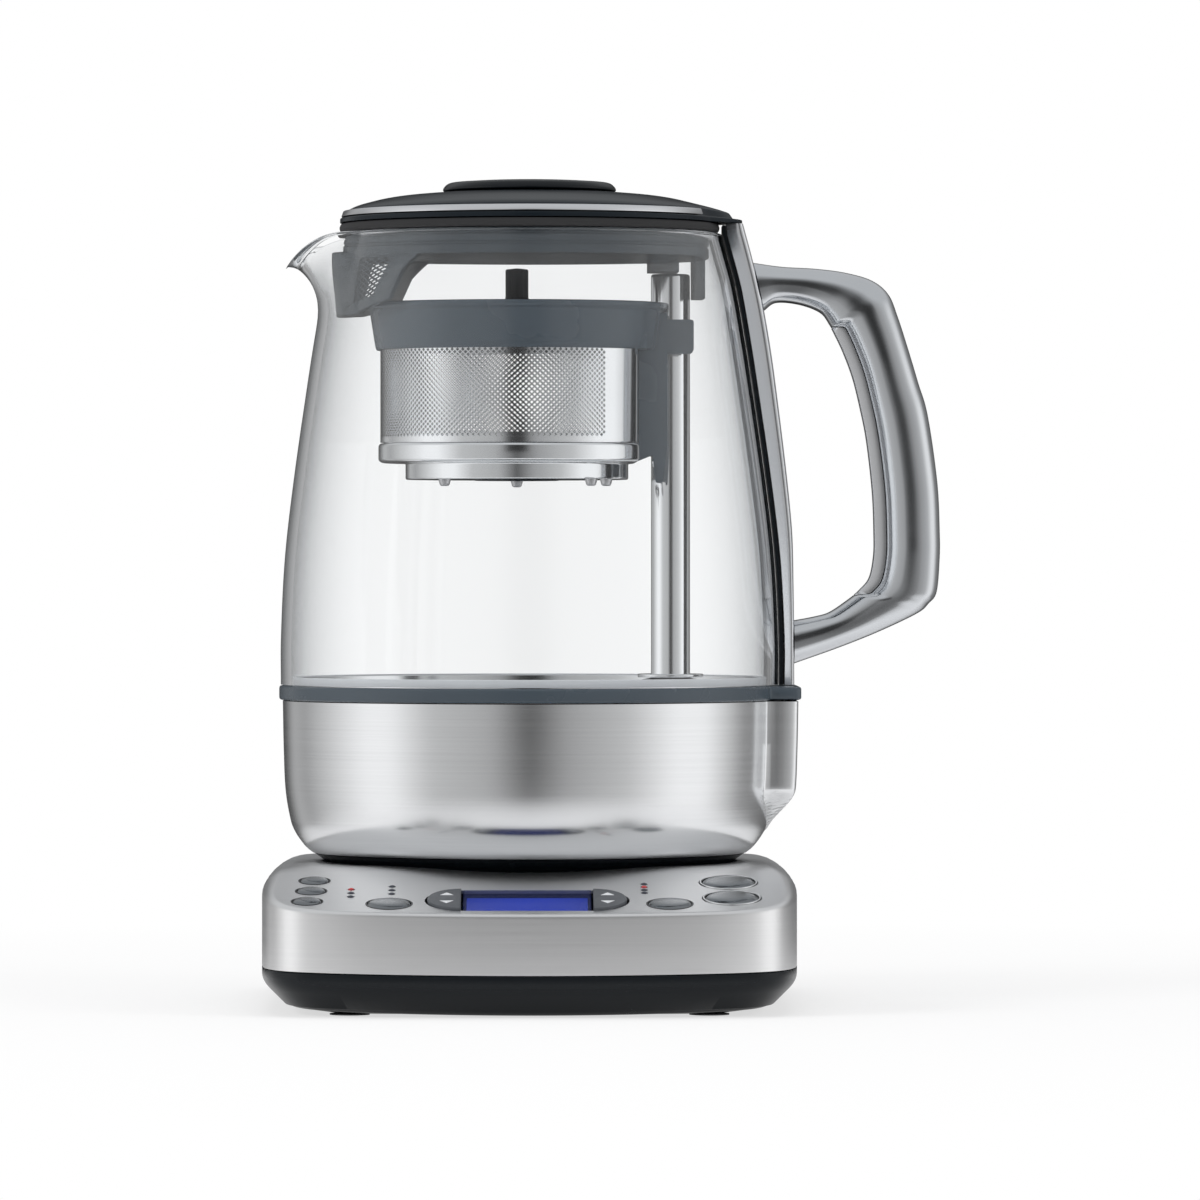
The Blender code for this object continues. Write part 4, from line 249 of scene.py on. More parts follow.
def mesh_object(name: str, sheet: Sheet, smooth: float = SHARP_ANGLE) -> bpy.types.Object:
    """Puts a sheet into a mesh object at the origin, with its faces turned outwards.

    Args:
        name: Name of the object.
        sheet: Points in millimetres and faces.
        smooth: Edges sharper than this angle in degrees stay sharp.

    Returns:
        The object.
    """
    points = place(np.concatenate(sheet.points))
    quads = np.concatenate(sheet.faces) if sheet.faces else np.empty((0, 4), dtype=int)
    mesh = bpy.data.meshes.new(name)
    loops = np.concatenate([quads.reshape(-1)] + [np.array(face) for face in sheet.loose])
    sizes = np.concatenate([np.full(len(quads), 4), np.array([len(face) for face in sheet.loose])])
    starts = np.concatenate([[0], np.cumsum(sizes)[:-1]])
    mesh.vertices.add(len(points))
    mesh.vertices.foreach_set("co", points.reshape(-1))
    mesh.loops.add(len(loops))
    mesh.loops.foreach_set("vertex_index", loops.astype(np.int32))
    mesh.polygons.add(len(sizes))
    mesh.polygons.foreach_set("loop_start", starts.astype(np.int32))
    mesh.update(calc_edges=True)
    mesh.validate()
    clean(mesh)
    shade(mesh, smooth)
    thing = bpy.data.objects.new(name, mesh)
    bpy.context.scene.collection.objects.link(thing)
    return thing


def clean(mesh: bpy.types.Mesh) -> None:
    """Merges doubles, drops edges and faces without size, and turns the faces outwards.

    Args:
        mesh: The mesh, which is changed.
    """
    bm = bmesh.new()
    bm.from_mesh(mesh)
    bmesh.ops.remove_doubles(bm, verts=bm.verts, dist=MERGE_DISTANCE)
    bmesh.ops.dissolve_degenerate(bm, edges=bm.edges, dist=EMPTY_LENGTH)
    bmesh.ops.recalc_face_normals(bm, faces=bm.faces)
    bm.to_mesh(mesh)
    bm.free()


def shade(mesh: bpy.types.Mesh, smooth: float) -> None:
    """Smooth shading, with edges sharper than the angle in degrees kept sharp."""
    mesh.shade_smooth()
    mesh.set_sharp_from_angle(angle=math.radians(smooth))


def carve(target: bpy.types.Object, cutters: list[bpy.types.Object]) -> None:
    """Cuts helper shapes out of a piece and deletes them.

    Args:
        target: The piece.
        cutters: Closed helper objects.
    """
    for cutter in cutters:
        modifier = target.modifiers.new("cut", "BOOLEAN")
        modifier.operation = "DIFFERENCE"
        modifier.solver = "EXACT"
        modifier.object = cutter
    evaluated = target.evaluated_get(bpy.context.evaluated_depsgraph_get())
    carved = bpy.data.meshes.new_from_object(evaluated)
    target.modifiers.clear()
    target.data = carved
    for cutter in cutters:
        bpy.data.objects.remove(cutter)
    shade(carved, SHARP_ANGLE)


def lattice(sheet: Sheet, point: Callable[[np.ndarray, np.ndarray, int], np.ndarray], columns: int,
            rows: int, share: float) -> None:
    """Adds a net of diamond holes to a sheet.

    Cells lie on a grid of half steps, every second one staggered.  A cell is a diamond, its hole the same
    diamond shrunk to the share, and both faces are joined through it.  Along the net's edges half cells are
    filled.  A cell has 16 points: on each face four corners and then four corners of the hole.  A half cell
    has six: three on each face.

    Args:
        sheet: Where the net goes.
        point: Place on the surface for shares across and up, on face 0 (outer) or 1 (inner).
        columns: Even number of half steps across.
        rows: Even number of half steps up.
        share: Size of a hole as a share of its cell.
    """
    ways = np.array([(1, 0), (0, 1), (-1, 0), (0, -1)], dtype=float)
    i, j = np.meshgrid(np.arange(columns + 1), np.arange(rows + 1), indexing="ij")
    inside = (i > 0) & (i < columns) & (j > 0) & (j < rows) & ((i + j) % 2 == 1)
    centre = np.stack([i[inside], j[inside]], axis=-1).astype(float)

    def layer(shape: np.ndarray, face: int) -> np.ndarray:
        """Points of cells on one face."""
        return point(shape[..., 0] / columns, shape[..., 1] / rows, face)

    around, hole = centre[:, None] + ways, centre[:, None] + ways * share
    points = np.concatenate([layer(shape, face) for face in (0, 1) for shape in (around, hole)], axis=1)
    outer_edge = np.arange(4)
    after = (outer_edge + 1) % 4
    outer_hole, inner_edge, inner_hole = outer_edge + 4, outer_edge + 8, outer_edge + 12
    pattern = np.concatenate([np.stack(four, axis=-1) for four in (
        (outer_edge, after, after + 4, outer_hole), (outer_hole, after + 4, after + 12, inner_hole),
        (inner_edge, inner_hole, after + 12, after + 8))])
    sheet.quads(points, (np.arange(len(centre))[:, None, None] * 16 + pattern).reshape(-1, 4))
    halves = []
    for last, size, flip in ((rows, columns, False), (columns, rows, True)):
        for edge, inward in ((0, 1), (last, -1)):
            along = np.arange(1, size, 2)
            rim = np.full(len(along), edge)
            three = [np.stack([along - 1, rim], -1), np.stack([along + 1, rim], -1),
                     np.stack([along, rim + inward], -1)]
            triangles = np.stack(three, axis=1)
            halves.append(triangles[..., ::-1] if flip else triangles)
    shapes = np.concatenate(halves).astype(float)
    first = sheet.add_points(np.concatenate([layer(shapes, 0), layer(shapes, 1)], axis=1))
    for start in range(first, first + 6 * len(shapes), 6):
        sheet.loose += [[start, start + 1, start + 2], [start + 5, start + 4, start + 3],
                        [start, start + 1, start + 4, start + 3]]


# Materials


class Value:
    """A node's socket; arithmetic on it adds Math nodes."""

    def __init__(self, nodes: "Nodes", socket: bpy.types.NodeSocket) -> None:
        """Keeps the socket and the tree that it belongs to."""
        self.nodes = nodes
        self.socket = socket

    def math(self, operation: str, *others: object, first: object = None) -> "Value":
        """Adds a Math node on this value and others."""
        given = [self if first is None else first, *others]
        return self.nodes.add("ShaderNodeMath", {"operation": operation}, dict(enumerate(given)))

    def __add__(self, other: object) -> "Value":
        """Sum."""
        return self.math("ADD", other)

    def __sub__(self, other: object) -> "Value":
        """Difference."""
        return self.math("SUBTRACT", other)

    def __mul__(self, other: object) -> "Value":
        """Product."""
        return self.math("MULTIPLY", other)

    def __truediv__(self, other: object) -> "Value":
        """Quotient."""
        return self.math("DIVIDE", other)

    def __pow__(self, other: object) -> "Value":
        """Power."""
        return self.math("POWER", other)

    def __rsub__(self, other: object) -> "Value":
        """A number less this value."""
        return self.math("SUBTRACT", self, first=other)

    __radd__ = __add__
    __rmul__ = __mul__

    def clamped(self) -> "Value":
        """The value held between 0 and 1."""
        return self.math("MINIMUM", 1.0).math("MAXIMUM", 0.0)


class Nodes:
    """A node tree with one method that adds any node."""

    def __init__(self, tree: bpy.types.NodeTree) -> None:
        """Keeps the tree and empties it."""
        self.tree = tree
        tree.nodes.clear()

    def add(self, kind: str, settings: dict[str, object] | None = None,
            inputs: dict[object, object] | None = None, output: object = 0) -> Value:
        """Adds a node.

        Args:
            kind: Node type.
            settings: Node settings; "stops" gives a ramp's places and greys.
            inputs: Values or links, by name or number of the socket.
            output: Name or number of the socket that is returned.

        Returns:
            The chosen output.
        """
        node = self.tree.nodes.new(kind)
        for key, setting in (settings or {}).items():
            if key == "stops":
                ramp = node.color_ramp
                while len(ramp.elements) < len(setting):
                    ramp.elements.new(1.0)
                for element, (at, grey) in zip(ramp.elements, setting):
                    element.position = at
                    element.color = (grey, grey, grey, 1.0)
            else:
                setattr(node, key, setting)
        for key, given in (inputs or {}).items():
            if isinstance(given, Value):
                self.tree.links.new(given.socket, node.inputs[key])
            else:
                node.inputs[key].default_value = given
        return Value(self, node.outputs[output])

    def coordinates(self, scale: tuple[float, float, float] = (1.0, 1.0, 1.0)) -> Value:
        """Object coordinates, scaled along each axis."""
        place_socket = self.add("ShaderNodeTexCoord", output="Object")
        return self.add("ShaderNodeMapping", {}, {"Vector": place_socket, "Scale": scale})

    def part(self, vector: Value, axis: int) -> Value:
        """One of a vector's three parts."""
        return self.add("ShaderNodeSeparateXYZ", {}, {0: vector}, axis)

    def ray(self, kind: str) -> Value:
        """1 for rays of a kind, 0 for others."""
        return self.add("ShaderNodeLightPath", output=f"Is {kind} Ray")

    def noise(self, vector: Value, scale: float, detail: float = 3.0) -> Value:
        """Noise about 0.5 on a vector."""
        return self.add("ShaderNodeTexNoise", {}, {"Vector": vector, "Scale": scale, "Detail": detail})

    def blend(self, factor: Value, first: Value | tuple[float, ...],
              second: Value | tuple[float, ...]) -> Value:
        """Colour between two colours."""
        pair = [(*colour, 1.0) if isinstance(colour, tuple) else colour for colour in (first, second)]
        return self.add("ShaderNodeMix", {"data_type": "RGBA"}, {0: factor, 6: pair[0], 7: pair[1]}, 2)

    def bump(self, height: Value, strength: float, distance: float) -> Value:
        """Normal from a height; the distance is in metres."""
        return self.add("ShaderNodeBump", {}, {"Height": height, "Strength": strength, "Distance": distance})

    def principled(self, **inputs: object) -> Value:
        """Principled shader; underscores in names stand for spaces."""
        return self.add("ShaderNodeBsdfPrincipled", {},
                        {name.replace("_", " "): given for name, given in inputs.items()})

    def finish(self, shader: Value, kind: str = "ShaderNodeOutputMaterial") -> None:
        """Links a shader to the output."""
        self.tree.links.new(shader.socket, self.tree.nodes.new(kind).inputs["Surface"])


def tone(colour: tuple[float, float, float], factor: float) -> tuple[float, float, float]:
    """A colour made lighter or darker."""
    return tuple(min(channel * factor, 1.0) for channel in colour)


def varied(nodes: Nodes, factor: Value, colour: tuple[float, float, float], spread: float) -> Value:
    """A colour that runs from darker to lighter by the spread as the factor runs from 0 to 1."""
    return nodes.blend(factor, tone(colour, 1.0 - spread), tone(colour, 1.0 + spread))


@dataclass(frozen=True)
class Finish:
    """What all finishes share: a name, a colour and a roughness."""

    name: str
    colour: tuple[float, float, float]
    roughness: float

    def material(self) -> bpy.types.Material:
        """The material of this finish, made once.

        Returns:
            The material.
        """
        name = f"{self.name}_finish"
        found = bpy.data.materials.get(name)
        if found is not None:
            return found
        made = bpy.data.materials.new(name)
        made.use_nodes = True
        made.diffuse_color = (*self.colour, 1.0)
        nodes = Nodes(made.node_tree)
        nodes.finish(self.shader(nodes))
        return made

    def shader(self, nodes: Nodes) -> Value:
        """The shader of this finish."""
        raise NotImplementedError


@dataclass(frozen=True)
class BrushedSteel(Finish):
    """Steel brushed along the walls, and from side to side on faces that look up."""

    strength: float = 1.0
    fine_streaks: tuple[float, float, float] = (14.0, 5200.0, 4.0)
    broad_streaks: tuple[float, float, float] = (6.0, 900.0, 2.0)
    fine_share: float = 0.65
    colour_spread: float = 0.16
    roughness_spread: float = 0.22
    groove: float = 0.10
    groove_depth: float = 0.00004

    def streaks(self, nodes: Nodes, faces_up: Value, size: tuple[float, float, float]) -> Value:
        """Noise stretched along the walls, and from side to side on faces that look up.

        Args:
            nodes: The material's nodes.
            faces_up: 1 where the face looks up or down, 0 on walls.
            size: Scale along the streaks, scale across them, and the noise's detail.

        Returns:
            The streaks, about 0.5.
        """
        along, across, detail = size
        walls = nodes.noise(nodes.coordinates((along, along, across)), 1.0, detail)
        tops = nodes.noise(nodes.coordinates((along, across, along)), 1.0, detail)
        return walls + (tops - walls) * faces_up

    def shader(self, nodes: Nodes) -> Value:
        """Fine and broad streaks in colour and roughness, and the fine ones in bump too.

        Args:
            nodes: The material's nodes.

        Returns:
            The shader.
        """
        upward = nodes.part(nodes.add("ShaderNodeNewGeometry", output="Normal"), 2).math("ABSOLUTE")
        faces_up = ((upward - 0.75) * 5.0).clamped()
        fine = self.streaks(nodes, faces_up, self.fine_streaks)
        broad = self.streaks(nodes, faces_up, self.broad_streaks)
        mixed = (fine * self.fine_share + broad * (1.0 - self.fine_share) - 0.5) * self.strength + 0.5
        return nodes.principled(
            Base_Color=varied(nodes, mixed.clamped(), self.colour, self.colour_spread), Metallic=1.0,
            Roughness=(self.roughness + (mixed - 0.5) * self.roughness_spread).clamped(),
            Normal=nodes.bump(fine, self.groove * self.strength, self.groove_depth))


@dataclass(frozen=True)
class PolishedMetal(Finish):
    """Polished metal with faint clouds of wear."""

    cloud_scale: float = 60.0
    wear_scale: float = 900.0
    colour_spread: float = 0.04
    roughness_spread: float = 0.06

    def shader(self, nodes: Nodes) -> Value:
        """Even metal, with large soft noise in roughness and a trace in colour.

        Args:
            nodes: The material's nodes.

        Returns:
            The shader.
        """
        cloud = nodes.noise(nodes.coordinates(), self.cloud_scale)
        wear = nodes.noise(nodes.coordinates(), self.wear_scale)
        return nodes.principled(
            Base_Color=varied(nodes, cloud, self.colour, self.colour_spread), Metallic=1.0,
            Roughness=(self.roughness + (cloud - 0.5) * self.roughness_spread).clamped(),
            Normal=nodes.bump(wear, 0.02, 0.00002))


@dataclass(frozen=True)
class MouldedPlastic(Finish):
    """Moulded plastic or rubber with a fine grain."""

    grain: float = 0.1
    shine: float = 0.45
    grain_scale: float = 5200.0
    cloud_scale: float = 45.0
    colour_spread: float = 0.1
    roughness_spread: float = 0.12

    def shader(self, nodes: Nodes) -> Value:
        """Fine grain in bump and roughness, and slow changes in colour.

        Args:
            nodes: The material's nodes.

        Returns:
            The shader.
        """
        fine = nodes.noise(nodes.coordinates(), self.grain_scale, 2.0)
        slow = nodes.noise(nodes.coordinates(), self.cloud_scale)
        uneven = (slow - 0.5) * self.roughness_spread + (fine - 0.5) * self.grain * 0.2
        return nodes.principled(
            Base_Color=varied(nodes, slow, self.colour, self.colour_spread),
            Roughness=(self.roughness + uneven).clamped(), Specular_IOR_Level=self.shine,
            Normal=nodes.bump(fine, self.grain, 0.00003))


@dataclass(frozen=True)
class ClearGlass(Finish):
    """Clear glass, with painted shade that greys it where it is seen edge on; shadows and mirrored views pass
    it freely.
    """

    # edge is the grey of a painted shade toward grazing angles, standing in for the dark edges that
    # reflections and refraction give glass.
    edge: tuple[float, float, float] = (0.34, 0.37, 0.40)
    edge_shade_power: float = 2.1

    def shader(self, nodes: Nodes) -> Value:
        """Refraction with painted shade that greys it by how edge-on the face is, and a clear shader for rays
        that only pass.

        Args:
            nodes: The material's nodes.

        Returns:
            The shader.
        """
        facing = nodes.add("ShaderNodeLayerWeight", {}, {"Blend": 0.5}, "Facing")
        slow = nodes.noise(nodes.coordinates(), 30.0)
        # Painted shade: the glass colour turns grey as the face turns edge on.
        edge_shaded_tint = nodes.blend(facing ** self.edge_shade_power, self.colour, self.edge)
        glass = nodes.principled(Base_Color=edge_shaded_tint, Roughness=self.roughness, IOR=1.46, Transmission_Weight=1.0,
                                 Specular_IOR_Level=0.12, Normal=nodes.bump(slow, 0.02, 0.0002))
        clear = nodes.add("ShaderNodeBsdfTransparent", {}, {"Color": (0.97, 0.975, 0.98, 1.0)})
        mirrored = nodes.add("ShaderNodeLightPath", output="Glossy Depth")
        unseen = (nodes.ray("Shadow") + nodes.ray("Diffuse") + mirrored).clamped()
        return nodes.add("ShaderNodeMixShader", {}, {0: unseen, 1: glass, 2: clear})


@dataclass(frozen=True)
class SmokedPlastic(Finish):
    """Tinted see-through plastic."""

    alpha: float = 0.8
    shine: float = 0.4
    edge: float = 0.8

    def shader(self, nodes: Nodes) -> Value:
        """Tinted plastic that is less clear where it is seen edge on.

        Args:
            nodes: The material's nodes.

        Returns:
            The shader.
        """
        facing = nodes.add("ShaderNodeLayerWeight", {}, {"Blend": 0.4}, "Facing")
        slow = nodes.noise(nodes.coordinates(), 80.0)
        return nodes.principled(
            Base_Color=varied(nodes, slow, self.colour, 0.06),
            Roughness=(self.roughness + (slow - 0.5) * 0.05).clamped(), Specular_IOR_Level=self.shine,
            Alpha=(self.alpha + facing * (1.0 - self.alpha) * self.edge).clamped())


@dataclass(frozen=True)
class LitDisplay(Finish):
    """Blue display, lit from behind, brighter in its middle."""

    middle_x: float = -0.0235
    half_length: float = 0.023
    glow_strength: float = 0.55

    def shader(self, nodes: Nodes) -> Value:
        """A glow that falls off to both sides with the square of the distance, with soft clouds in it.

        Args:
            nodes: The material's nodes.

        Returns:
            The shader.
        """
        across = nodes.part(nodes.add("ShaderNodeTexCoord", output="Object"), 0)
        away = ((across - self.middle_x).math("ABSOLUTE") / self.half_length).clamped()
        cloud = nodes.noise(nodes.coordinates((1.0, 3.0, 3.0)), 90.0)
        glow = nodes.blend((1.0 - away ** 2.0) * 0.7 + cloud * 0.3, tone(self.colour, 0.6),
                           tone(self.colour, 1.5))
        unlit = nodes.blend(cloud, (0.004, 0.008, 0.05), (0.006, 0.012, 0.08))
        return nodes.principled(Base_Color=unlit, Roughness=self.roughness,
                                Emission_Color=nodes.blend(nodes.ray("Camera"), (0.0, 0.0, 0.0), glow),
                                Emission_Strength=self.glow_strength, Specular_IOR_Level=0.1)


@dataclass(frozen=True)
class CircuitBoard(Finish):
    """Lacquered board with paler copper tracks under the lacquer."""

    def shader(self, nodes: Nodes) -> Value:
        """Tracks are the bands of a wave that noise bends.

        Args:
            nodes: The material's nodes.

        Returns:
            The shader.
        """
        wave = nodes.add("ShaderNodeTexWave", {"bands_direction": "X"},
                         {"Vector": nodes.coordinates(), "Scale": 180.0, "Distortion": 6.0})
        return nodes.principled(
            Base_Color=nodes.blend((wave * 4.0 - 2.4).clamped(), self.colour, tone(self.colour, 2.2)),
            Roughness=self.roughness, Normal=nodes.bump(wave, 0.2, 0.00005))


STEEL = BrushedSteel("brushed_steel", (0.84, 0.85, 0.865), 0.20, strength=0.6)
# Button caps: steel painted dark, a painted dark reflection standing in for the dark centres that chrome domes
# mirror.
CAP_STEEL_PAINTED_DARK = PolishedMetal("button_steel_painted_dark", (0.24, 0.255, 0.27), 0.13)
BASE_STEEL = BrushedSteel("base_steel", (0.93, 0.935, 0.945), 0.32, strength=0.5)
SATIN_STEEL = BrushedSteel("satin_steel", (0.78, 0.79, 0.81), 0.24, strength=0.35)
BRIGHT = PolishedMetal("polished_steel", (0.86, 0.87, 0.88), 0.14)
# Basket and post: a lighter copy of the polished steel, painted light that makes them look more brightly lit.
BASKET_STEEL_PAINTED_BRIGHT = PolishedMetal("basket_steel_painted_bright", (0.93, 0.94, 0.95), 0.11)
CAST = PolishedMetal("cast_handle", (0.69, 0.71, 0.735), 0.15)
SCREW_STEEL = PolishedMetal("screw_steel", (0.55, 0.55, 0.56), 0.35)
COPPER = PolishedMetal("copper", (0.72, 0.42, 0.25), 0.35)
MAGNET = PolishedMetal("magnet_metal", (0.30, 0.30, 0.31), 0.45)
BLACK = MouldedPlastic("black_plastic", (0.005, 0.007, 0.009), 0.26, grain=0.012, shine=0.24)
DARK = MouldedPlastic("dark_plastic", (0.008, 0.012, 0.016), 0.22, grain=0.012, shine=0.16)
GREY = MouldedPlastic("grey_plastic", (0.055, 0.072, 0.088), 0.26, grain=0.012)
KEY_GREY = MouldedPlastic("key_plastic", (0.075, 0.082, 0.092), 0.4)
RUBBER = MouldedPlastic("rubber", (0.025, 0.025, 0.026), 0.75, grain=0.3)
FOOT_RUBBER = MouldedPlastic("foot_rubber", (0.30, 0.30, 0.31), 0.75, grain=0.3)
SILICONE = MouldedPlastic("silicone", (0.62, 0.64, 0.66), 0.5)
WHITE_MARK = MouldedPlastic("white_mark", (0.80, 0.82, 0.84), 0.5)
GLASS = ClearGlass("clear_glass", (0.985, 0.99, 0.992), 0.0)
WINDOW = SmokedPlastic("clear_window", (0.05, 0.07, 0.25), 0.1, alpha=0.12, shine=0.08, edge=0.1)
SMOKE = SmokedPlastic("smoked_plastic", (0.050, 0.062, 0.072), 0.18, alpha=0.80)
DISPLAY = LitDisplay("blue_display", (0.014, 0.045, 0.52), 0.3)
BOARD = CircuitBoard("circuit_board", (0.03, 0.16, 0.07), 0.4)
RED_LIGHT = MouldedPlastic("red_light", (0.60, 0.05, 0.05), 0.3)
DARK_LIGHT = MouldedPlastic("dark_light", (0.05, 0.055, 0.07), 0.3)

CAD_FINISHES: dict[str, Finish] = {
    "tray_screw_1": SCREW_STEEL, "tray_screw_2": SCREW_STEEL, "tray_screw_3": SCREW_STEEL,
    "tray_screw_4": SCREW_STEEL, "cord_gland": DARK, "control_carrier": BLACK, "control_board": BOARD,
    "power_board": BOARD, "tea_type_lights": DARK_LIGHT, "strength_lights": DARK_LIGHT,
    "heating_element": COPPER, "temperature_sensor": DARK, "lift_motor": MAGNET, "handle_screw": SCREW_STEEL,
    "lead_screw": SCREW_STEEL, "magnet_carriage": MAGNET, "basket_magnet": MAGNET,
}


def dress(piece: bpy.types.Object, finish: Finish, body: Body | str, slot: str,
          *nodes: str) -> bpy.types.Object:
    """Gives a piece its material, its body and the nodes that it stands for.

    Args:
        piece: The object.
        finish: Its finish.
        body: The body that it rides on, or the body's name.
        slot: The record's material slot; not used.
        nodes: The model's nodes that it replaces.

    Returns:
        The piece.
    """
    carrier = body.value if isinstance(body, Body) else body
    piece.data.materials.clear()
    piece.data.materials.append(finish.material())
    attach(piece, carrier)
    if nodes:
        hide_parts(*nodes)
    LOG.info("%s rides on %s: %d faces", piece.name, carrier, len(piece.data.polygons))
    return piece


def ringed_piece(name: str, rings: np.ndarray | list[np.ndarray], finish: Finish, body: Body | str, slot: str,
                 *nodes: str, caps: bool = False, smooth: float = SHARP_ANGLE) -> bpy.types.Object:
    """A piece whose surface runs from ring to ring.

    Args:
        name: Name of the piece.
        rings: Rings of equally many points, in millimetres.
        finish: Its finish.
        body: The body that it rides on.
        slot: The record's material slot.
        nodes: The nodes that it replaces.
        caps: Whether both ends are closed with flat faces; without them the last ring joins the first.
        smooth: Edges sharper than this angle in degrees stay sharp.

    Returns:
        The piece.
    """
    sheet = Sheet().grid(np.stack(rings), wrap_rows=not caps, caps=caps)
    return dress(mesh_object(name, sheet, smooth), finish, body, slot, *nodes)


def turned_piece(name: str, corners: list[tuple[float, ...]], finish: Finish, body: Body | str, slot: str,
                 *nodes: str, at: tuple[float, float] = (0.0, 0.0), count: int = 128,
                 steps: int = 5) -> bpy.types.Object:
    """A turned piece: a closed (radius, height, rounding) outline spun about an upright axis.

    Args:
        name: Name of the piece.
        corners: The outline's corners in millimetres.
        finish: Its finish.
        body: The body that it rides on.
        slot: The record's material slot.
        nodes: The nodes that it replaces.
        at: Place of the axis in plan.
        count: Number of stretches round the axis.
        steps: Number of stretches in a rounded corner.

    Returns:
        The piece.
    """
    return ringed_piece(name, turned_grid(corners, at, count, steps), finish, body, slot, *nodes)


@dataclass
class PowerBase:
    """Steel shell with a sloped panel, black tray, feet, and the seat with its connector."""

    width: float = 163.0
    depth: float = 200.0
    front: float = 115.0
    squareness: float = 10.0
    side_bow: float = 0.03
    front_bow: float = 0.055
    foot_height: float = 0.5
    split: float = 12.5
    corner_rise: float = 1.2
    crease: float = 31.0
    panel_run: float = 57.0
    panel_angle: float = math.radians(11.8)
    fold_ease: float = 8.0
    wall: float = 1.0
    crease_radius: float = 1.3
    side_radius: float = 9.0
    side_radius_run: float = 70.0
    least_radius: float = 0.2
    chamfer: float = 8.0
    gap: float = 0.3
    tray_wall: float = 2.0
    tray_level_inset: float = 17.0
    tray_floor_rise: float = 1.7
    foot_radius: float = 6.0
    foot_thickness: float = 0.4
    foot_share: tuple[float, float] = (0.66, 0.74)
    seat_hole: float = 64.48
    seat_depth: float = 5.7

    @property
    def top(self) -> float:
        """Height of the flat top."""
        return self.crease + self.panel_run * math.tan(self.panel_angle)

    @property
    def middle_y(self) -> float:
        """Place of the base's middle, from the jug's axis to the back."""
        return self.depth / 2 - self.front

    def outline_angles(self) -> np.ndarray:
        """Angles about the middle: even ones joined with ones that crowd at the corners.

        Returns:
            The rising angles.
        """
        t = turn(200)
        power = 2.0 / self.squareness
        crowded = np.arctan2(self.depth * np.sign(np.sin(t)) * np.abs(np.sin(t)) ** power,
                             self.width * np.sign(np.cos(t)) * np.abs(np.cos(t)) ** power)
        return np.unique(np.round(np.concatenate([turn(140), np.mod(crowded, 2 * math.pi)]), 5))

    def outline(self, angles: np.ndarray, inset: float | np.ndarray) -> np.ndarray:
        """Outline from above: a rounded rectangle |x/a|^n + |y/b|^n = 1 with bowed sides.

        Args:
            angles: Angles about the base's middle.
            inset: How far inside the outline the points lie.

        Returns:
            Points (x, y) about the jug's axis.
        """
        half_width, half_depth = self.width / 2 - inset, self.depth / 2 - inset
        across, along = np.cos(angles), np.sin(angles)
        reach = (np.abs(across / half_width) ** self.squareness
                 + np.abs(along / half_depth) ** self.squareness) ** (-1 / self.squareness)
        x, y = reach * across, reach * along
        return np.stack([x * (1 - self.side_bow * (y / half_depth) ** 2),
                         y * (1 - self.front_bow * (x / half_width) ** 2) + self.middle_y], axis=-1)

    def top_height(self, y: np.ndarray) -> np.ndarray:
        """Height of the top: a slope that eases into a level by a parabola.

        Args:
            y: Places from the jug's axis to the back.

        Returns:
            The heights.
        """
        behind = y + self.front - self.panel_run
        slope = math.tan(self.panel_angle)
        eased = self.top - slope * (self.fold_ease - behind) ** 2 / (4 * self.fold_ease)
        return np.where(behind <= -self.fold_ease, self.top + slope * behind,
                        np.where(behind >= self.fold_ease, self.top, eased))

    def split_height(self, points: np.ndarray) -> np.ndarray:
        """Height of the line between tray and shell, rising to the sides with the square of x."""
        return self.split + self.corner_rise * (points[:, 0] / (self.width / 2)) ** 2

    def shell_rows(self, inset: float, drop: float) -> list[np.ndarray]:
        """Rows of one face of the shell: up the wall, a quarter circle over the shoulder, in to the hole.

        Args:
            inset: How far the face lies inside the outline.
            drop: How far it lies below the top.

        Returns:
            The rows, from the lower edge to the seat's hole.
        """
        angles = self.outline_angles()
        edge = self.outline(angles, inset)
        run = ease((edge[:, 1] + self.front) / self.side_radius_run)
        radius = self.crease_radius + (self.side_radius - self.crease_radius) * run
        radius = np.maximum(radius - inset, self.least_radius)
        shoulder = self.outline(angles, inset + radius)
        high = self.top_height(shoulder[:, 1]) - drop
        low = self.split_height(edge) + self.gap
        rows = [level(edge, low + (high - radius - low) * share) for share in (0.0, 0.03, 0.5, 0.97, 1.0)]
        for share in np.linspace(0.0, 1.0, 9)[1:]:
            way = 0.5 * math.pi * share
            spot = edge + (shoulder - edge) * (1 - math.cos(way))
            rows.append(level(spot, high - radius * (1 - math.sin(way))))
        hole = shoulder / np.linalg.norm(shoulder, axis=1, keepdims=True) * self.seat_hole
        for share in np.linspace(0.0, 1.0, 17)[1:]:
            spot = shoulder + (hole - shoulder) * share
            rows.append(level(spot, self.top_height(spot[:, 1]) - drop))
        return rows

    def build(self) -> bpy.types.Object:
        """Builds the base; the panel's holes are still to be cut.

        Returns:
            The shell, not yet dressed.
        """
        rows = self.shell_rows(0.0, 0.0) + self.shell_rows(self.wall, self.wall)[::-1]
        shell = mesh_object("base_shell_skin", Sheet().grid(np.stack(rows), wrap_rows=True))
        self.build_tray()
        self.build_feet()
        self.build_seat()
        return shell

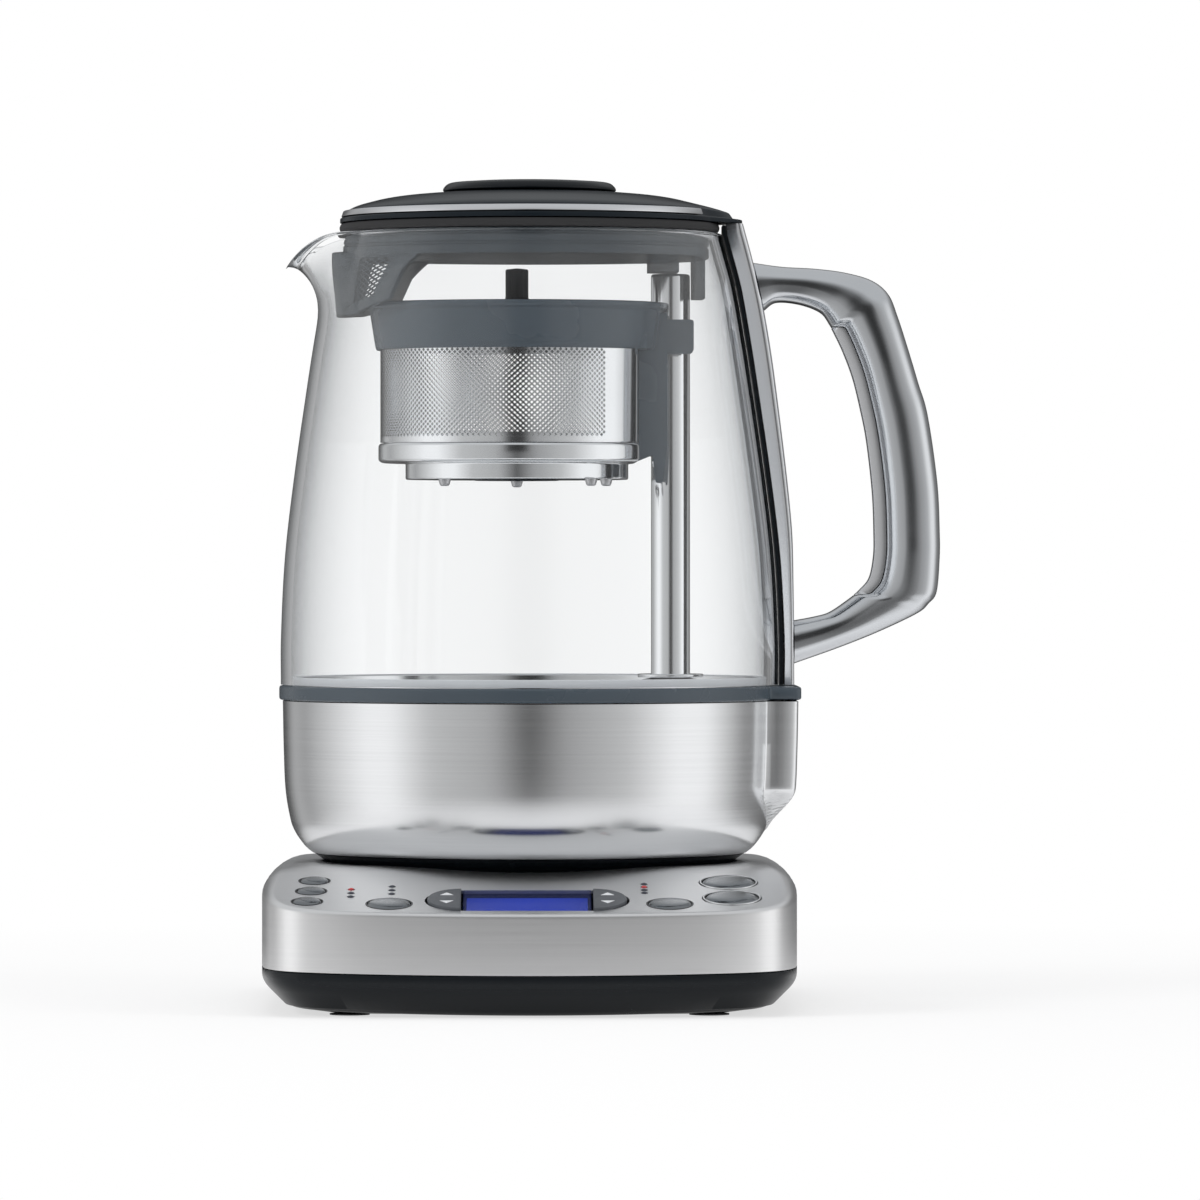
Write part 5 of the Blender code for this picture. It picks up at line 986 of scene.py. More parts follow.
    def build_tray(self) -> None:
        """Black tray: its section runs from the floor over a soft chamfer to the split and back in."""
        angles = self.outline_angles()
        low, lip, inner = self.foot_height, self.wall + self.gap, self.wall + self.gap + self.tray_wall
        section = rounded([
            (18.0, low), (self.chamfer, low, 2.0), (0.0, low + self.chamfer, 3.0), (0.0, self.split, 0.4),
            (lip, self.split), (lip, self.split + 3.0), (inner, self.split + 3.0), (inner, low + 10.0),
            (10.0, low + self.tray_wall), (18.0, low + self.tray_wall)], 6)
        rows = []
        for inset, height in section:
            edge = self.outline(angles, inset)
            rise = (self.split_height(edge) - self.split) * (inset < self.tray_level_inset)
            under = height < self.foot_height + 1.0
            rows.append(level(edge, height + rise * (self.tray_floor_rise if under else 1.0)))
        ringed_piece("base_tray_skin", rows, BLACK, Body.BASE, "black_plastic", "base_tray", caps=True)

    def build_feet(self) -> None:
        """Four flat rubber feet."""
        outline = [(CORE, 0.0), (self.foot_radius, 0.0), (self.foot_radius, self.foot_thickness),
                   (CORE, self.foot_thickness)]
        across, along = self.foot_share[0] * self.width / 2, self.foot_share[1] * self.depth / 2
        for name, side, way in (("back_right", 1, 1), ("back_left", -1, 1), ("front_left", -1, -1),
                                ("front_right", 1, -1)):
            turned_piece(f"foot_{name}_pad", outline, FOOT_RUBBER, Body.BASE, "rubber", f"foot_{name}",
                         at=(side * across, self.middle_y + way * along), count=48)

    def build_seat(self) -> None:
        """Seat dish and the socket of the cordless connector."""
        floor = self.top - self.seat_depth
        under, high = floor - 1.6, floor + 5.8
        flange = float(self.top_height(np.array([-self.seat_hole - 2.5]))[0]) - self.wall - self.gap
        turned_piece("seat_dish", [
            (16.5, under), (65.7, under), (65.7, flange - 1.7), (66.9, flange - 1.7), (66.9, flange),
            (63.2, flange, 0.5), (62.6, floor, 1.2), (16.5, floor, 0.4)], BLACK, Body.BASE, "black_plastic",
            "seat_ring")
        turned_piece("base_socket", [
            (CORE, floor - 6.2), (18.5, floor - 6.2), (18.5, floor - 1.9), (16.2, floor - 1.9),
            (16.2, floor + 1.3, 0.3), (14.5, high, 0.8), (6.0, high, 0.4), (6.0, floor - 1.2),
            (3.0, floor - 1.2), (3.0, floor + 7.3, 0.8), (CORE, floor + 7.3)], DARK, Body.BASE,
            "dark_plastic", "base_connector", count=64)


class Mark(Enum):
    """Which way a rocker's two marks point."""

    UP = 1
    DOWN = -1


@dataclass(frozen=True)
class ButtonGroup:
    """Buttons of one size: places by name, radius, radius of the hole, reach of the well, bright ring."""

    places: dict[str, tuple[float, float]]
    radius: float
    hole: float
    well_reach: float = 0.6
    ringed: bool = False


@dataclass
class ControlPanel:
    """Buttons, rings, lights and the display; places are (across, up the slope) in the panel's plane."""

    base: PowerBase
    groups: tuple[ButtonGroup, ...] = (
        ButtonGroup({"basket": (-66.3, 15.8), "keep_warm": (-65.4, 28.5), "auto_start": (-64.7, 41.2)},
                    4.3, 4.9),
        ButtonGroup({"tea_type": (-41.8, 13.0), "strength": (41.8, 13.0)}, 6.5, 7.1),
        ButtonGroup({"start_cancel": (60.4, 20.1), "hot_water": (59.8, 39.2)}, 7.9, 9.0, 0.28, ringed=True))
    proud: float = 0.9
    stem_radius: float = 1.5
    stem_low: float = -5.2
    well_low: float = -1.3
    window_place: tuple[float, float] = (-0.7, 17.0)
    window_length: float = 61.2
    window_width: float = 25.0
    window_end: float = 11.2
    window_gap: float = 0.3
    mark_place: float = 4.6
    mark_root: float = 3.4
    mark_tip: float = 6.4
    mark_half_width: float = 2.0
    light_hole: float = 1.2
    cut_reach: float = 6.0
    tea_lights: tuple[tuple[float, float], ...] = (
        (-53.4, 21.6), (-53.4, 26.1), (-53.4, 30.6), (-41.2, 25.1), (-41.2, 29.6), (-41.2, 34.1))
    strength_lights: tuple[tuple[float, float], ...] = (
        (34.4, 26.3), (34.4, 29.9), (34.4, 33.5), (34.4, 37.1))
    lit: tuple[tuple[float, float], ...] = ((-53.4, 30.6), (34.4, 33.5))

    @property
    def window_half(self) -> float:
        """Half length of the window's straight part."""
        return self.window_length / 2 - self.window_end

    def on_panel(self, points: np.ndarray) -> np.ndarray:
        """Turns panel coordinates by the panel's angle and moves them to its front edge.

        Args:
            points: Points (across, up the slope, out of the panel).

        Returns:
            The points in millimetres about the jug's axis.
        """
        x, up, out = np.moveaxis(points, -1, 0)
        cosine, sine = math.cos(self.base.panel_angle), math.sin(self.base.panel_angle)
        return np.stack([x, -self.base.front + up * cosine - out * sine,
                         self.base.crease + up * sine + out * cosine], axis=-1)

    def spun(self, corners: list[tuple[float, ...]], at: tuple[float, float], count: int = 48,
             steps: int = 4) -> Sheet:
        """A turned shape that stands on the panel."""
        return Sheet().grid(self.on_panel(turned_grid(corners, at, count, steps)), wrap_rows=True)

    def capsule(self) -> np.ndarray:
        """The window's outline with elliptic ends: (half + e cos t, W/2 sin t), and the same mirrored.

        Returns:
            Points (across, up) about the window's middle.
        """
        t = turn(16, -0.5 * math.pi, 0.5 * math.pi, ends=True)
        right = np.column_stack([self.window_half + self.window_end * np.cos(t),
                                 self.window_width / 2 * np.sin(t)])
        return np.concatenate([right, -right])

    def slab(self, outline: np.ndarray, layers: list[tuple[float, float]]) -> Sheet:
        """Flat shape in the window's place.

        Args:
            outline: Points about the window's middle.
            layers: How far the outline is drawn in, and its height out of the panel, for each layer.

        Returns:
            The closed shape.
        """
        rows = [level(drawn_in(outline, inset) + np.array(self.window_place), out) for inset, out in layers]
        return Sheet().grid(self.on_panel(np.stack(rows)), caps=True)

    def build(self, shell: bpy.types.Object) -> None:
        """Cuts the panel's holes and builds every control.

        Args:
            shell: The base's shell.
        """
        self.cut_holes(shell)
        dress(shell, BASE_STEEL, Body.BASE, "brushed_steel", "base_shell")
        for group in self.groups:
            for name, at in group.places.items():
                self.button(name, at, group)
        self.display()
        self.lights()

    def cut_holes(self, shell: bpy.types.Object) -> None:
        """Cuts a hole for each button, each light and the display.

        Args:
            shell: The base's shell.
        """
        deep = self.cut_reach
        holes = [(at, group.hole) for group in self.groups for at in group.places.values()]
        holes += [(at, self.light_hole) for at in self.tea_lights + self.strength_lights]
        cutters = [mesh_object("cutter", self.spun(
            [(CORE, -deep), (radius, -deep), (radius, deep), (CORE, deep)], at, 40)) for at, radius in holes]
        cutters.append(mesh_object("cutter", self.slab(self.capsule(), [(0.0, -deep), (0.0, deep)])))
        carve(shell, cutters)

    def button(self, name: str, at: tuple[float, float], group: ButtonGroup) -> None:
        """One push button: a low dome with a rolled edge on a stem, its well, and its ring where it has one.

        Args:
            name: Name of the button.
            at: Its place on the panel.
            group: The size that it shares with its neighbours.
        """
        radius = group.radius
        cap = [(CORE, self.proud), (radius * 0.5, self.proud * 0.96, radius * 0.4),
               (radius * 0.86, self.proud * 0.62, radius * 0.12), (radius, -0.1, 0.25), (radius, -1.9),
               (self.stem_radius, -1.9), (self.stem_radius, self.stem_low), (CORE, self.stem_low)]
        body = "basket_key" if name == "basket" else name
        piece = mesh_object(f"{name}_cap", self.spun(cap, at, 64, 6), smooth=40.0)
        # The caps' dark steel colour is a painted dark reflection.
        dress(piece, CAP_STEEL_PAINTED_DARK, body, "brushed_steel", f"{name}_button")
        near, far = radius + 0.12, radius + group.well_reach
        well = [(near, self.well_low), (near, 0.1, 0.1), (far, 0.1), (far, self.well_low)]
        dress(mesh_object(f"{name}_well", self.spun(well, at)), BLACK, Body.BASE, "black_plastic")
        if group.ringed:
            near, far = radius + 0.3, radius + 0.8
            ring = [(near, self.well_low), (near, 0.35, 0.2), (far, 0.35, 0.2), (far, self.well_low)]
            dress(mesh_object(f"{name}_bezel", self.spun(ring, at, 64)), BRIGHT, Body.BASE, "polished_steel",
                  f"{name}_ring")

    def display(self) -> None:
        """Window, lit panel, and the rocker keys with their marks."""
        half, gap = self.window_half, self.window_gap
        high = self.window_width / 2 - gap
        flat = np.array([(half - gap, -high), (half - gap, high), (gap - half, high), (gap - half, -high)])
        window = mesh_object("display_pane", self.slab(flat, [(0.0, -1.9), (0.0, 0.0), (0.3, 0.2)]))
        dress(window, WINDOW, Body.BASE, "clear_window", "display_window")
        glow = mesh_object("display_glow", self.slab(flat, [(1.2, -4.0), (1.2, -2.2)]))
        dress(glow, DISPLAY, Body.BASE, "blue_display", "lcd_panel")
        t = turn(24, -0.5 * math.pi, 0.5 * math.pi, ends=True)
        end, width = self.window_end - 1.1, self.window_width / 2 - 0.5
        for name, side in (("left", -1), ("right", 1)):
            outline = np.column_stack([side * (half + gap + end * np.cos(t)), width * np.sin(t)])
            layers = [(0.0, -1.8), (0.0, 0.35), (0.25, 0.7), (0.7, 0.8)]
            key = mesh_object(f"{name}_key_cap", self.slab(outline, layers))
            dress(key, KEY_GREY, f"{name}_key", "grey_plastic", f"{name}_rocker")
            for mark in Mark:
                self.mark(f"{name}_key", side, mark)

    def mark(self, key: str, side: int, mark: Mark) -> None:
        """A small pointed mark on a rocker key: a thin triangle.

        Args:
            key: Name of the key's body.
            side: -1 on the left, 1 on the right.
            mark: Which way it points.
        """
        x = side * (self.window_half + self.mark_place)
        root, tip = mark.value * self.mark_root, mark.value * self.mark_tip
        corners = np.array([(x - self.mark_half_width, root), (x + self.mark_half_width, root), (x, tip)])
        rows = [level(corners + np.array(self.window_place), out) for out in (0.7, 0.9)]
        ringed_piece(f"{key}_{mark.name.lower()}", self.on_panel(np.stack(rows)), WHITE_MARK, key,
                     "grey_plastic", caps=True)

    def lights(self) -> None:
        """Small domed lights in their holes; some are lit."""
        dome = [(CORE, 0.45), (0.6, 0.35, 0.3), (0.95, 0.0, 0.2), (0.95, -1.2), (CORE, -1.2)]
        for index, at in enumerate(self.tea_lights + self.strength_lights):
            dot = mesh_object(f"light_{index}", self.spun(dome, at, 20, 3))
            dress(dot, RED_LIGHT if at in self.lit else DARK_LIGHT, Body.BASE, "light_guide")


@dataclass
class Jug:
    """Steel body with its boss, dark collar, floor and the glass with its spout."""

    bottom: float = 45.6
    body_height: float = 46.9
    body_radius: float = 76.4
    body_table: tuple[tuple[float, float], ...] = (
        (0.0, 0.878), (0.03, 0.902), (0.07, 0.923), (0.13, 0.948), (0.2, 0.966), (0.4, 0.988), (0.67, 0.996),
        (1.0, 1.0))
    body_wall: float = 1.0
    boss_reach: float = 6.3
    boss_half_width: float = 23.0
    boss_growth: tuple[float, float] = (0.14, 0.43)
    boss_angle: float = 0.42
    boss_blend: float = 3.0
    joint_blend: float = 0.6
    collar_radius: float = 77.5
    collar_height: float = 4.4
    collar_reach: float = 6.1
    collar_growth: float = 4.5
    glass_radius: float = 77.0
    glass_wall: float = 3.2
    glass_height: float = 139.5
    glass_table: tuple[tuple[float, float], ...] = (
        (0.0, 1.0), (0.10, 1.0), (0.28, 0.984), (0.455, 0.948), (0.656, 0.896), (0.763, 0.866),
        (0.878, 0.829), (0.95, 0.795), (1.0, 0.770))
    rim_rise: float = 0.9
    rim_bulge: float = 0.52
    spout_height: float = 30.0
    spout_growth: float = 2.3
    lip_drop: float = 1.0
    lip_lift: float = 1.5
    spout_bead: float = 1.3
    spout_reach: float = 15.8
    spout_drop: float = 9.0
    spout_angle: float = math.radians(28.0)
    gap: float = 0.3

    @property
    def collar_low(self) -> float:
        """Lower face of the collar."""
        return self.bottom + self.body_height + self.gap

    @property
    def glass_bottom(self) -> float:
        """Lower edge of the glass."""
        return self.collar_low + self.collar_height + self.gap

    @property
    def glass_top(self) -> float:
        """Rim of the glass."""
        return self.glass_bottom + self.glass_height

    def radius_at(self, height: np.ndarray) -> np.ndarray:
        """Outer radius of the round glass."""
        share = (np.atleast_1d(height) - self.glass_bottom) / self.glass_height
        return self.glass_radius * curve(np.array(self.glass_table), share)

    def lobed(self, angles: np.ndarray, radius: float, reach: float, half_width: float) -> np.ndarray:
        """Distance to a circle joined with a flat-faced boss on the handle side.

        The boss is a box.  A smooth minimum of the ways to its face and to its side softens its corners, and
        a smooth maximum of box and circle softens the joint.

        Args:
            angles: Angles about the axis.
            radius: Radius of the circle.
            reach: How far the boss stands out of it.
            half_width: Half width of the boss.

        Returns:
            The distances from the axis.
        """
        if reach <= 0 or half_width <= 0:
            return np.full(len(angles), float(radius))
        cosine, sine = np.cos(angles), np.abs(np.sin(angles))
        corner, joint = self.boss_blend, self.joint_blend
        to_face = (radius + reach) / np.maximum(cosine, 0.05)
        to_side = half_width / np.maximum(sine, 0.02)
        box = -corner * np.logaddexp(-to_face / corner, -to_side / corner)
        grown = joint * np.logaddexp(radius / joint, box / joint)
        return np.where(cosine > 0.3, np.maximum(grown, radius), radius)

    def round_angles(self) -> np.ndarray:
        """Angles round the jug, closer together at the boss."""
        close = turn(120, -self.boss_angle, self.boss_angle, ends=True)
        return np.unique(np.round(np.mod(np.concatenate([turn(160), close]), 2 * math.pi), 6))

    def build(self) -> None:
        """Builds every piece of the jug except the post, the spine and the handle."""
        self.build_body()
        self.build_collar()
        self.build_glass()
        low, step = self.bottom - 8.1, self.bottom - 4.1
        turned_piece("bottom_ring", [
            (20.7, low), (59.6, low), (61.1, low + 1.5), (61.1, step, 0.5), (66.4, self.bottom - 0.3),
            (64.5, self.bottom - 0.3), (59.6, step), (59.6, low + 1.5), (22.2, low + 1.5), (22.2, low + 6.3),
            (20.7, low + 6.3)], BLACK, Body.JUG, "black_plastic", "body_bottom")
        roof = low + 7.6
        turned_piece("plug_half", [
            (CORE, low + 9.2), (22.0, low + 9.2), (22.0, low + 7.2), (20.4, low + 7.2), (20.4, low, 0.4),
            (16.9, low, 0.4), (16.9, roof), (5.6, roof), (5.6, low - 0.4), (3.4, low - 0.4), (3.4, roof),
            (CORE, roof)], DARK, Body.PLUG, "dark_plastic", "jug_coupler", count=64)
        floor = self.collar_low + 3.1
        turned_piece("jug_floor", [
            (CORE, floor), (72.0, floor), (72.0, floor + 3.6, 0.3), (71.2, floor + 3.6, 0.3),
            (71.2, floor + 1.2, 0.8), (CORE, floor + 1.2)], BRIGHT, Body.JUG, "polished_steel",
            "heater_plate")
        seal_top = self.glass_bottom + 2.4
        turned_piece("glass_gasket", [
            (72.4, self.glass_bottom), (73.4, self.glass_bottom), (73.4, seal_top, 0.3),
            (72.4, seal_top, 0.3)], SILICONE, Body.JUG, "silicone", "glass_seal")

    def build_body(self) -> None:
        """Steel wall: rings of the smooth body curve, joined with the boss as it grows."""
        angles = self.round_angles()
        start, full = self.boss_growth
        faces = []
        for inset in (0.0, self.body_wall):
            rows = []
            for share in np.linspace(0.0, 1.0, 45):
                radius = float(self.body_radius * curve(np.array(self.body_table), share)[0]) - inset
                grown = float(ease(np.array((share - start) / (full - start))))
                distance = self.lobed(angles, radius, self.boss_reach * grown,
                                      self.boss_half_width * math.sqrt(grown) - inset)
                rows.append(circle(angles, distance, self.bottom + self.body_height * share))
            faces.append(rows)
        ringed_piece("steel_body", faces[0] + faces[1][::-1], STEEL, Body.JUG, "brushed_steel", "body_shell")

    def build_collar(self) -> None:
        """Dark collar between steel and glass, with its lobe over the boss."""
        angles = self.round_angles()
        low, ledge = self.collar_low, self.collar_low + 2.8
        high = low + self.collar_height
        outer = rounded([(72.4, high), (self.collar_radius, high, 0.9), (self.collar_radius, low, 0.9),
                         (68.0, low)], 5)
        rows = []
        for radius, height in outer:
            share = np.clip((radius - self.collar_radius) / self.collar_growth + 1.0, 0.0, 1.0)
            distance = self.lobed(angles, radius, self.collar_reach * share, self.boss_half_width * share)
            rows.append(circle(angles, distance, height))
        rows += [circle(angles, 68.0, ledge), circle(angles, 72.4, ledge)]
        ringed_piece("collar_band", rows, GREY, Body.JUG, "grey_plastic", "collar_ring")

    def glass_face(self, angles: np.ndarray, weight: np.ndarray, inset: float) -> list[np.ndarray]:
        """Rings of one face of the glass, from the bottom up.

        The radius follows the glass curve with a slight bulge at the rim.  Towards the rim the spout is
        drawn out by its weight times a power of the height, ends in a bead, and falls to its tip.

        Args:
            angles: Angles round the jug.
            weight: The spout's share at each angle, 1 at its middle.
            inset: 0 on the outer face, the wall's thickness on the inner one.

        Returns:
            The rings.
        """
        is_outer = inset == 0.0
        bulge = self.rim_bulge * (1.0 if is_outer else -0.2)
        bead = self.spout_bead * (1.0 if is_outer else -0.3)
        rows = []
        for share in np.concatenate([np.linspace(0.0, 0.86, 40), np.linspace(0.87, 1.0, 22)]):
            height = self.glass_bottom + self.glass_height * share
            drawn = np.clip((height - self.glass_top + self.spout_height) / self.spout_height, 0.0, 1.0)
            pulled = (self.spout_reach - self.spout_bead * 0.5) * drawn ** self.spout_growth
            beaded = bead * math.exp(-((drawn - 0.95) / 0.05) ** 2)
            radius = (self.radius_at(height)[0] - inset + bulge * ease((share - 0.985) / 0.015)
                      + (pulled + beaded) * weight)
            fall = self.spout_drop * drawn ** 1.5 + self.lip_drop * ease((drawn - 0.9) / 0.1)
            lift = 0.0 if is_outer else self.lip_lift * drawn ** 3
            rows.append(circle(angles, radius, height - fall * weight ** 2.6 + lift * weight))
        return rows

    def build_glass(self) -> None:
        """Glass wall: outer and inner face, a rim rounded by a half ellipse, and a flat foot."""
        angles = turn(256)
        weight = bell(angles - math.pi, self.spout_angle)
        outer, inner = (self.glass_face(angles, weight, inset) for inset in (0.0, self.glass_wall))
        across = inner[-1] - outer[-1]
        up = np.array([0.0, 0.0, self.rim_rise])
        rim = [outer[-1] + across * (0.5 - 0.5 * math.cos(way)) + up * (math.sin(way) - 1.0)
               for way in np.linspace(0.0, math.pi, 9)]
        foot = [outer[0] + (inner[0] - outer[0]) * share for share in (0.75, 0.25)]
        ringed_piece("glass_wall", outer[:-1] + rim + inner[-2::-1] + foot, GLASS, Body.JUG, "clear_glass",
                     "jug_glass", smooth=50.0)


@dataclass
class Lift:
    """The post that carries the basket."""

    place_x: float = 43.7
    radius: float = 6.05
    low: float = 97.4
    top: float = 224.2

    def build(self) -> None:
        """Polished tube with a flange on the jug's floor and a rounded cap."""
        at, low, roof = (self.place_x, 0.0), self.low, self.top - 1.0
        turned_piece("post_tube", [
            (5.3, low), (9.05, low), (9.05, low + 1.6, 0.6), (self.radius, low + 2.2, 0.4),
            (self.radius, self.top, 1.0), (CORE, self.top), (CORE, roof), (5.3, roof)],
            BASKET_STEEL_PAINTED_BRIGHT, Body.JUG, "polished_steel", "lift_post", at=at, count=64)
        turned_piece("post_washer", [
            (6.1, low + 2.3), (10.2, low + 2.3, 0.4), (10.2, low + 3.4, 0.5), (6.1, low + 3.4)],
            BRIGHT, Body.JUG, "polished_steel", at=at, count=64)


@dataclass
class Basket:
    """Perforated wall, collar with its arm, floor pan with its feet, and the basket's own lid."""

    lift: Lift
    place_x: float = -3.9
    radius: float = 42.3
    flat: float = 37.1
    wall: float = 0.6
    rim: float = 213.0
    seam: float = 171.9
    holes_low: float = 173.4
    holes_high: float = 201.0
    hole_start: float = math.radians(50.0)
    hole_columns: int = 216
    hole_rows: int = 34
    hole_share: float = 0.72
    post_gap: float = 0.4
    slot_reach: float = 12.0
    cut_heights: tuple[float, float] = (150.0, 230.0)

    def ring(self, angles: np.ndarray, radius: float, height: float) -> np.ndarray:
        """One ring of the basket: a circle cut by a flat towards the post.

        Args:
            angles: Angles about the basket's axis.
            radius: Radius of the circle; the flat moves with it.
            height: Height of the ring.

        Returns:
            The ring's points.
        """
        ring = circle(angles, radius, height)
        ring[:, 0] = np.minimum(ring[:, 0], self.flat + max(radius - self.radius, -1.5)) + self.place_x
        return ring

    def rings(self, angles: np.ndarray, profile: np.ndarray | list[tuple[float, float]]) -> list[np.ndarray]:
        """A ring for each (radius, height) of a profile."""
        return [self.ring(angles, radius, height) for radius, height in profile]

    def build(self) -> None:
        """Builds the basket and its lid."""
        self.build_wall()
        self.build_collar()
        self.build_floor()
        profile = rounded([
            (CORE, 213.4), (43.6, 213.4, 0.2), (43.6, 214.3, 0.3), (30.0, 214.3, 0.4), (29.0, 214.9, 0.4),
            (8.0, 214.9, 0.5), (7.0, 214.4, 0.3), (CORE, 214.4)], closed=True)
        ringed_piece("basket_cover_disc", self.rings(turn(160), profile), BASKET_STEEL_PAINTED_BRIGHT, Body.COVER,
                     "polished_steel", "basket_lid")
        turned_piece("basket_cover_knob", [
            (CORE, 214.6), (5.2, 214.6, 0.6), (3.55, 216.4, 1.0), (3.55, 225.6, 0.5), (CORE, 226.0)], BLACK,
            Body.COVER, "black_plastic", "basket_lid_knob", at=(self.place_x, 0.0), count=48)

    def wall_point(self, across: np.ndarray, up: np.ndarray, face: int) -> np.ndarray:
        """Point of the perforated part: a cylinder, open at the flat.

        Args:
            across: Shares round the wall.
            up: Shares of the holes' height.
            face: 0 on the outer face, 1 on the inner one.

        Returns:
            The points.
        """
        angle = self.hole_start + (2 * math.pi - 2 * self.hole_start) * across
        radius = self.radius - face * self.wall
        return np.stack([radius * np.cos(angle) + self.place_x, radius * np.sin(angle),
                         self.holes_low + (self.holes_high - self.holes_low) * up], axis=-1)

    def build_wall(self) -> None:
        """Thin wall: plain bands, a plain strip at the flat, and a net of diamond holes between them."""
        sheet = Sheet()
        outer, inner = self.radius, self.radius - self.wall

        def section(low: float, high: float) -> list[tuple[float, float]]:
            """Profile of the wall between two heights."""
            return [(outer, low), (outer, high), (inner, high), (inner, low)]

        for low, high in ((self.seam + 0.3, self.holes_low), (self.holes_high, self.rim)):
            sheet.grid(np.stack(self.rings(turn(160), section(low, high))), wrap_rows=True)
        strip = turn(50, -self.hole_start, self.hole_start, ends=True)
        rows = self.rings(strip, section(self.holes_low, self.holes_high))
        sheet.grid(np.stack(rows).transpose(1, 0, 2), caps=True)
        lattice(sheet, self.wall_point, self.hole_columns, self.hole_rows, self.hole_share)
        wall = mesh_object("basket_mesh_wall", sheet, smooth=50.0)
        dress(wall, BASKET_STEEL_PAINTED_BRIGHT, Body.BASKET, "polished_steel", "basket_wall")

    def clear_post(self, piece: bpy.types.Object) -> None:
        """Cuts the post's hole out of a piece, and the slot that opens the hole towards the glass.

        Args:
            piece: The piece, not yet dressed.
        """
        at, half = self.lift.place_x, self.lift.radius + self.post_gap
        low, high = self.cut_heights
        bore = turned_grid([(CORE, low), (half, low), (half, high), (CORE, high)], (at, 0.0), 48, 1)
        far = at + self.slot_reach
        outline = np.array([(far, -half), (far, half), (at, half), (at, -half)])
        slot = np.stack([level(outline, low), level(outline, high)])
        carve(piece, [mesh_object("cutter", Sheet().grid(bore, wrap_rows=True)),
                      mesh_object("cutter", Sheet().grid(slot, caps=True))])

    def build_collar(self) -> None:
        """Grey collar round the rim, and the arm that runs along the post with the clip behind it."""
        collar = mesh_object("collar_hoop", Sheet().grid(self.collar_grid(), wrap_rows=True))
        self.clear_post(collar)
        dress(collar, GREY, Body.BASKET, "grey_plastic", "basket_collar")
        side = rounded([(33.6, 211.5), (33.6, 166.5, 0.6), (37.9, 168.2, 0.5), (38.8, 159.6, 0.8),
                        (40.9, 159.6, 0.8), (42.3, 170.4, 0.6), (42.3, 200.0), (50.4, 200.0, 1.0),
                        (50.4, 210.0, 1.0), (42.3, 210.0), (42.3, 212.0, 0.5)], 4, closed=True)
        layers = [(-11.0, 0.0), (-10.4, 0.6), (10.4, 0.6), (11.0, 0.0)]
        arm = mesh_object("collar_arm", self.plate(side, layers))
        self.clear_post(arm)
        dress(arm, GREY, Body.BASKET, "grey_plastic")

    def plate(self, side: np.ndarray, layers: list[tuple[float, float]]) -> Sheet:
        """A side outline carried across.

        Args:
            side: Points (x, z) of the outline.
            layers: Place y and how far the outline is drawn in there, with rising y.

        Returns:
            The closed shape.
        """
        rows = [level(drawn_in(side, inset), y)[:, [0, 2, 1]] for y, inset in layers]
        return Sheet().grid(np.stack(rows), caps=True)

    def collar_grid(self) -> np.ndarray:
        """Rings of the collar: a rolled lip, a tapering side and a hole that follows the wall's flat.

        Returns:
            Points as rings, angles, xyz.
        """
        angles = turn(192)
        outer = rounded([(45.5, 215.2), (47.0, 215.2, 0.6), (47.0, 213.6, 0.6), (45.6, 212.6, 0.7),
                         (43.9, 202.0, 0.6), (43.5, 200.7, 0.3), (42.9, 200.7)], 5)
        rows = [circle(angles, radius, height, self.place_x) for radius, height in outer]
        rows += self.rings(angles, [(42.7, 200.7), (42.7, 212.1), (44.6, 212.1), (44.6, 215.2)])
        return np.stack(rows)

    def build_floor(self) -> None:
        """Stepped pan under the wall, with a rolled seam, feet and a filter ring."""
        profile = rounded([
            (CORE, 160.9), (33.0, 160.9, 0.8), (34.5, 160.6, 0.8), (34.5, 165.8, 0.8), (41.6, 165.8, 0.8),
            (42.9, 166.6, 0.6), (42.9, 171.2, 0.6), (42.3, 171.9, 0.4), (41.4, 171.9), (41.4, 175.0),
            (40.6, 175.0), (40.6, 166.8), (33.7, 166.8), (33.7, 161.6), (CORE, 161.6)], 5)
        ringed_piece("basket_pan", self.rings(turn(160), profile), BASKET_STEEL_PAINTED_BRIGHT, Body.BASKET,
                     "polished_steel", "basket_floor")
        foot = [(CORE, 158.6), (1.4, 158.6, 0.8), (2.0, 160.9, 0.3), (CORE, 160.9)]
        for index, at in enumerate(((-26.0, -18.0), (18.8, -26.0), (23.5, -19.0), (-4.0, 30.0))):
            turned_piece(f"basket_foot_{index}", foot, SCREW_STEEL, Body.BASKET, "polished_steel", at=at,
                         count=24)
        turned_piece("basket_filter_ring", [(10.0, 160.3), (13.0, 160.3, 0.3), (13.0, 161.0), (10.0, 161.0)],
                     DARK, Body.BASKET, "polished_steel", at=(self.place_x, -6.0), count=48)


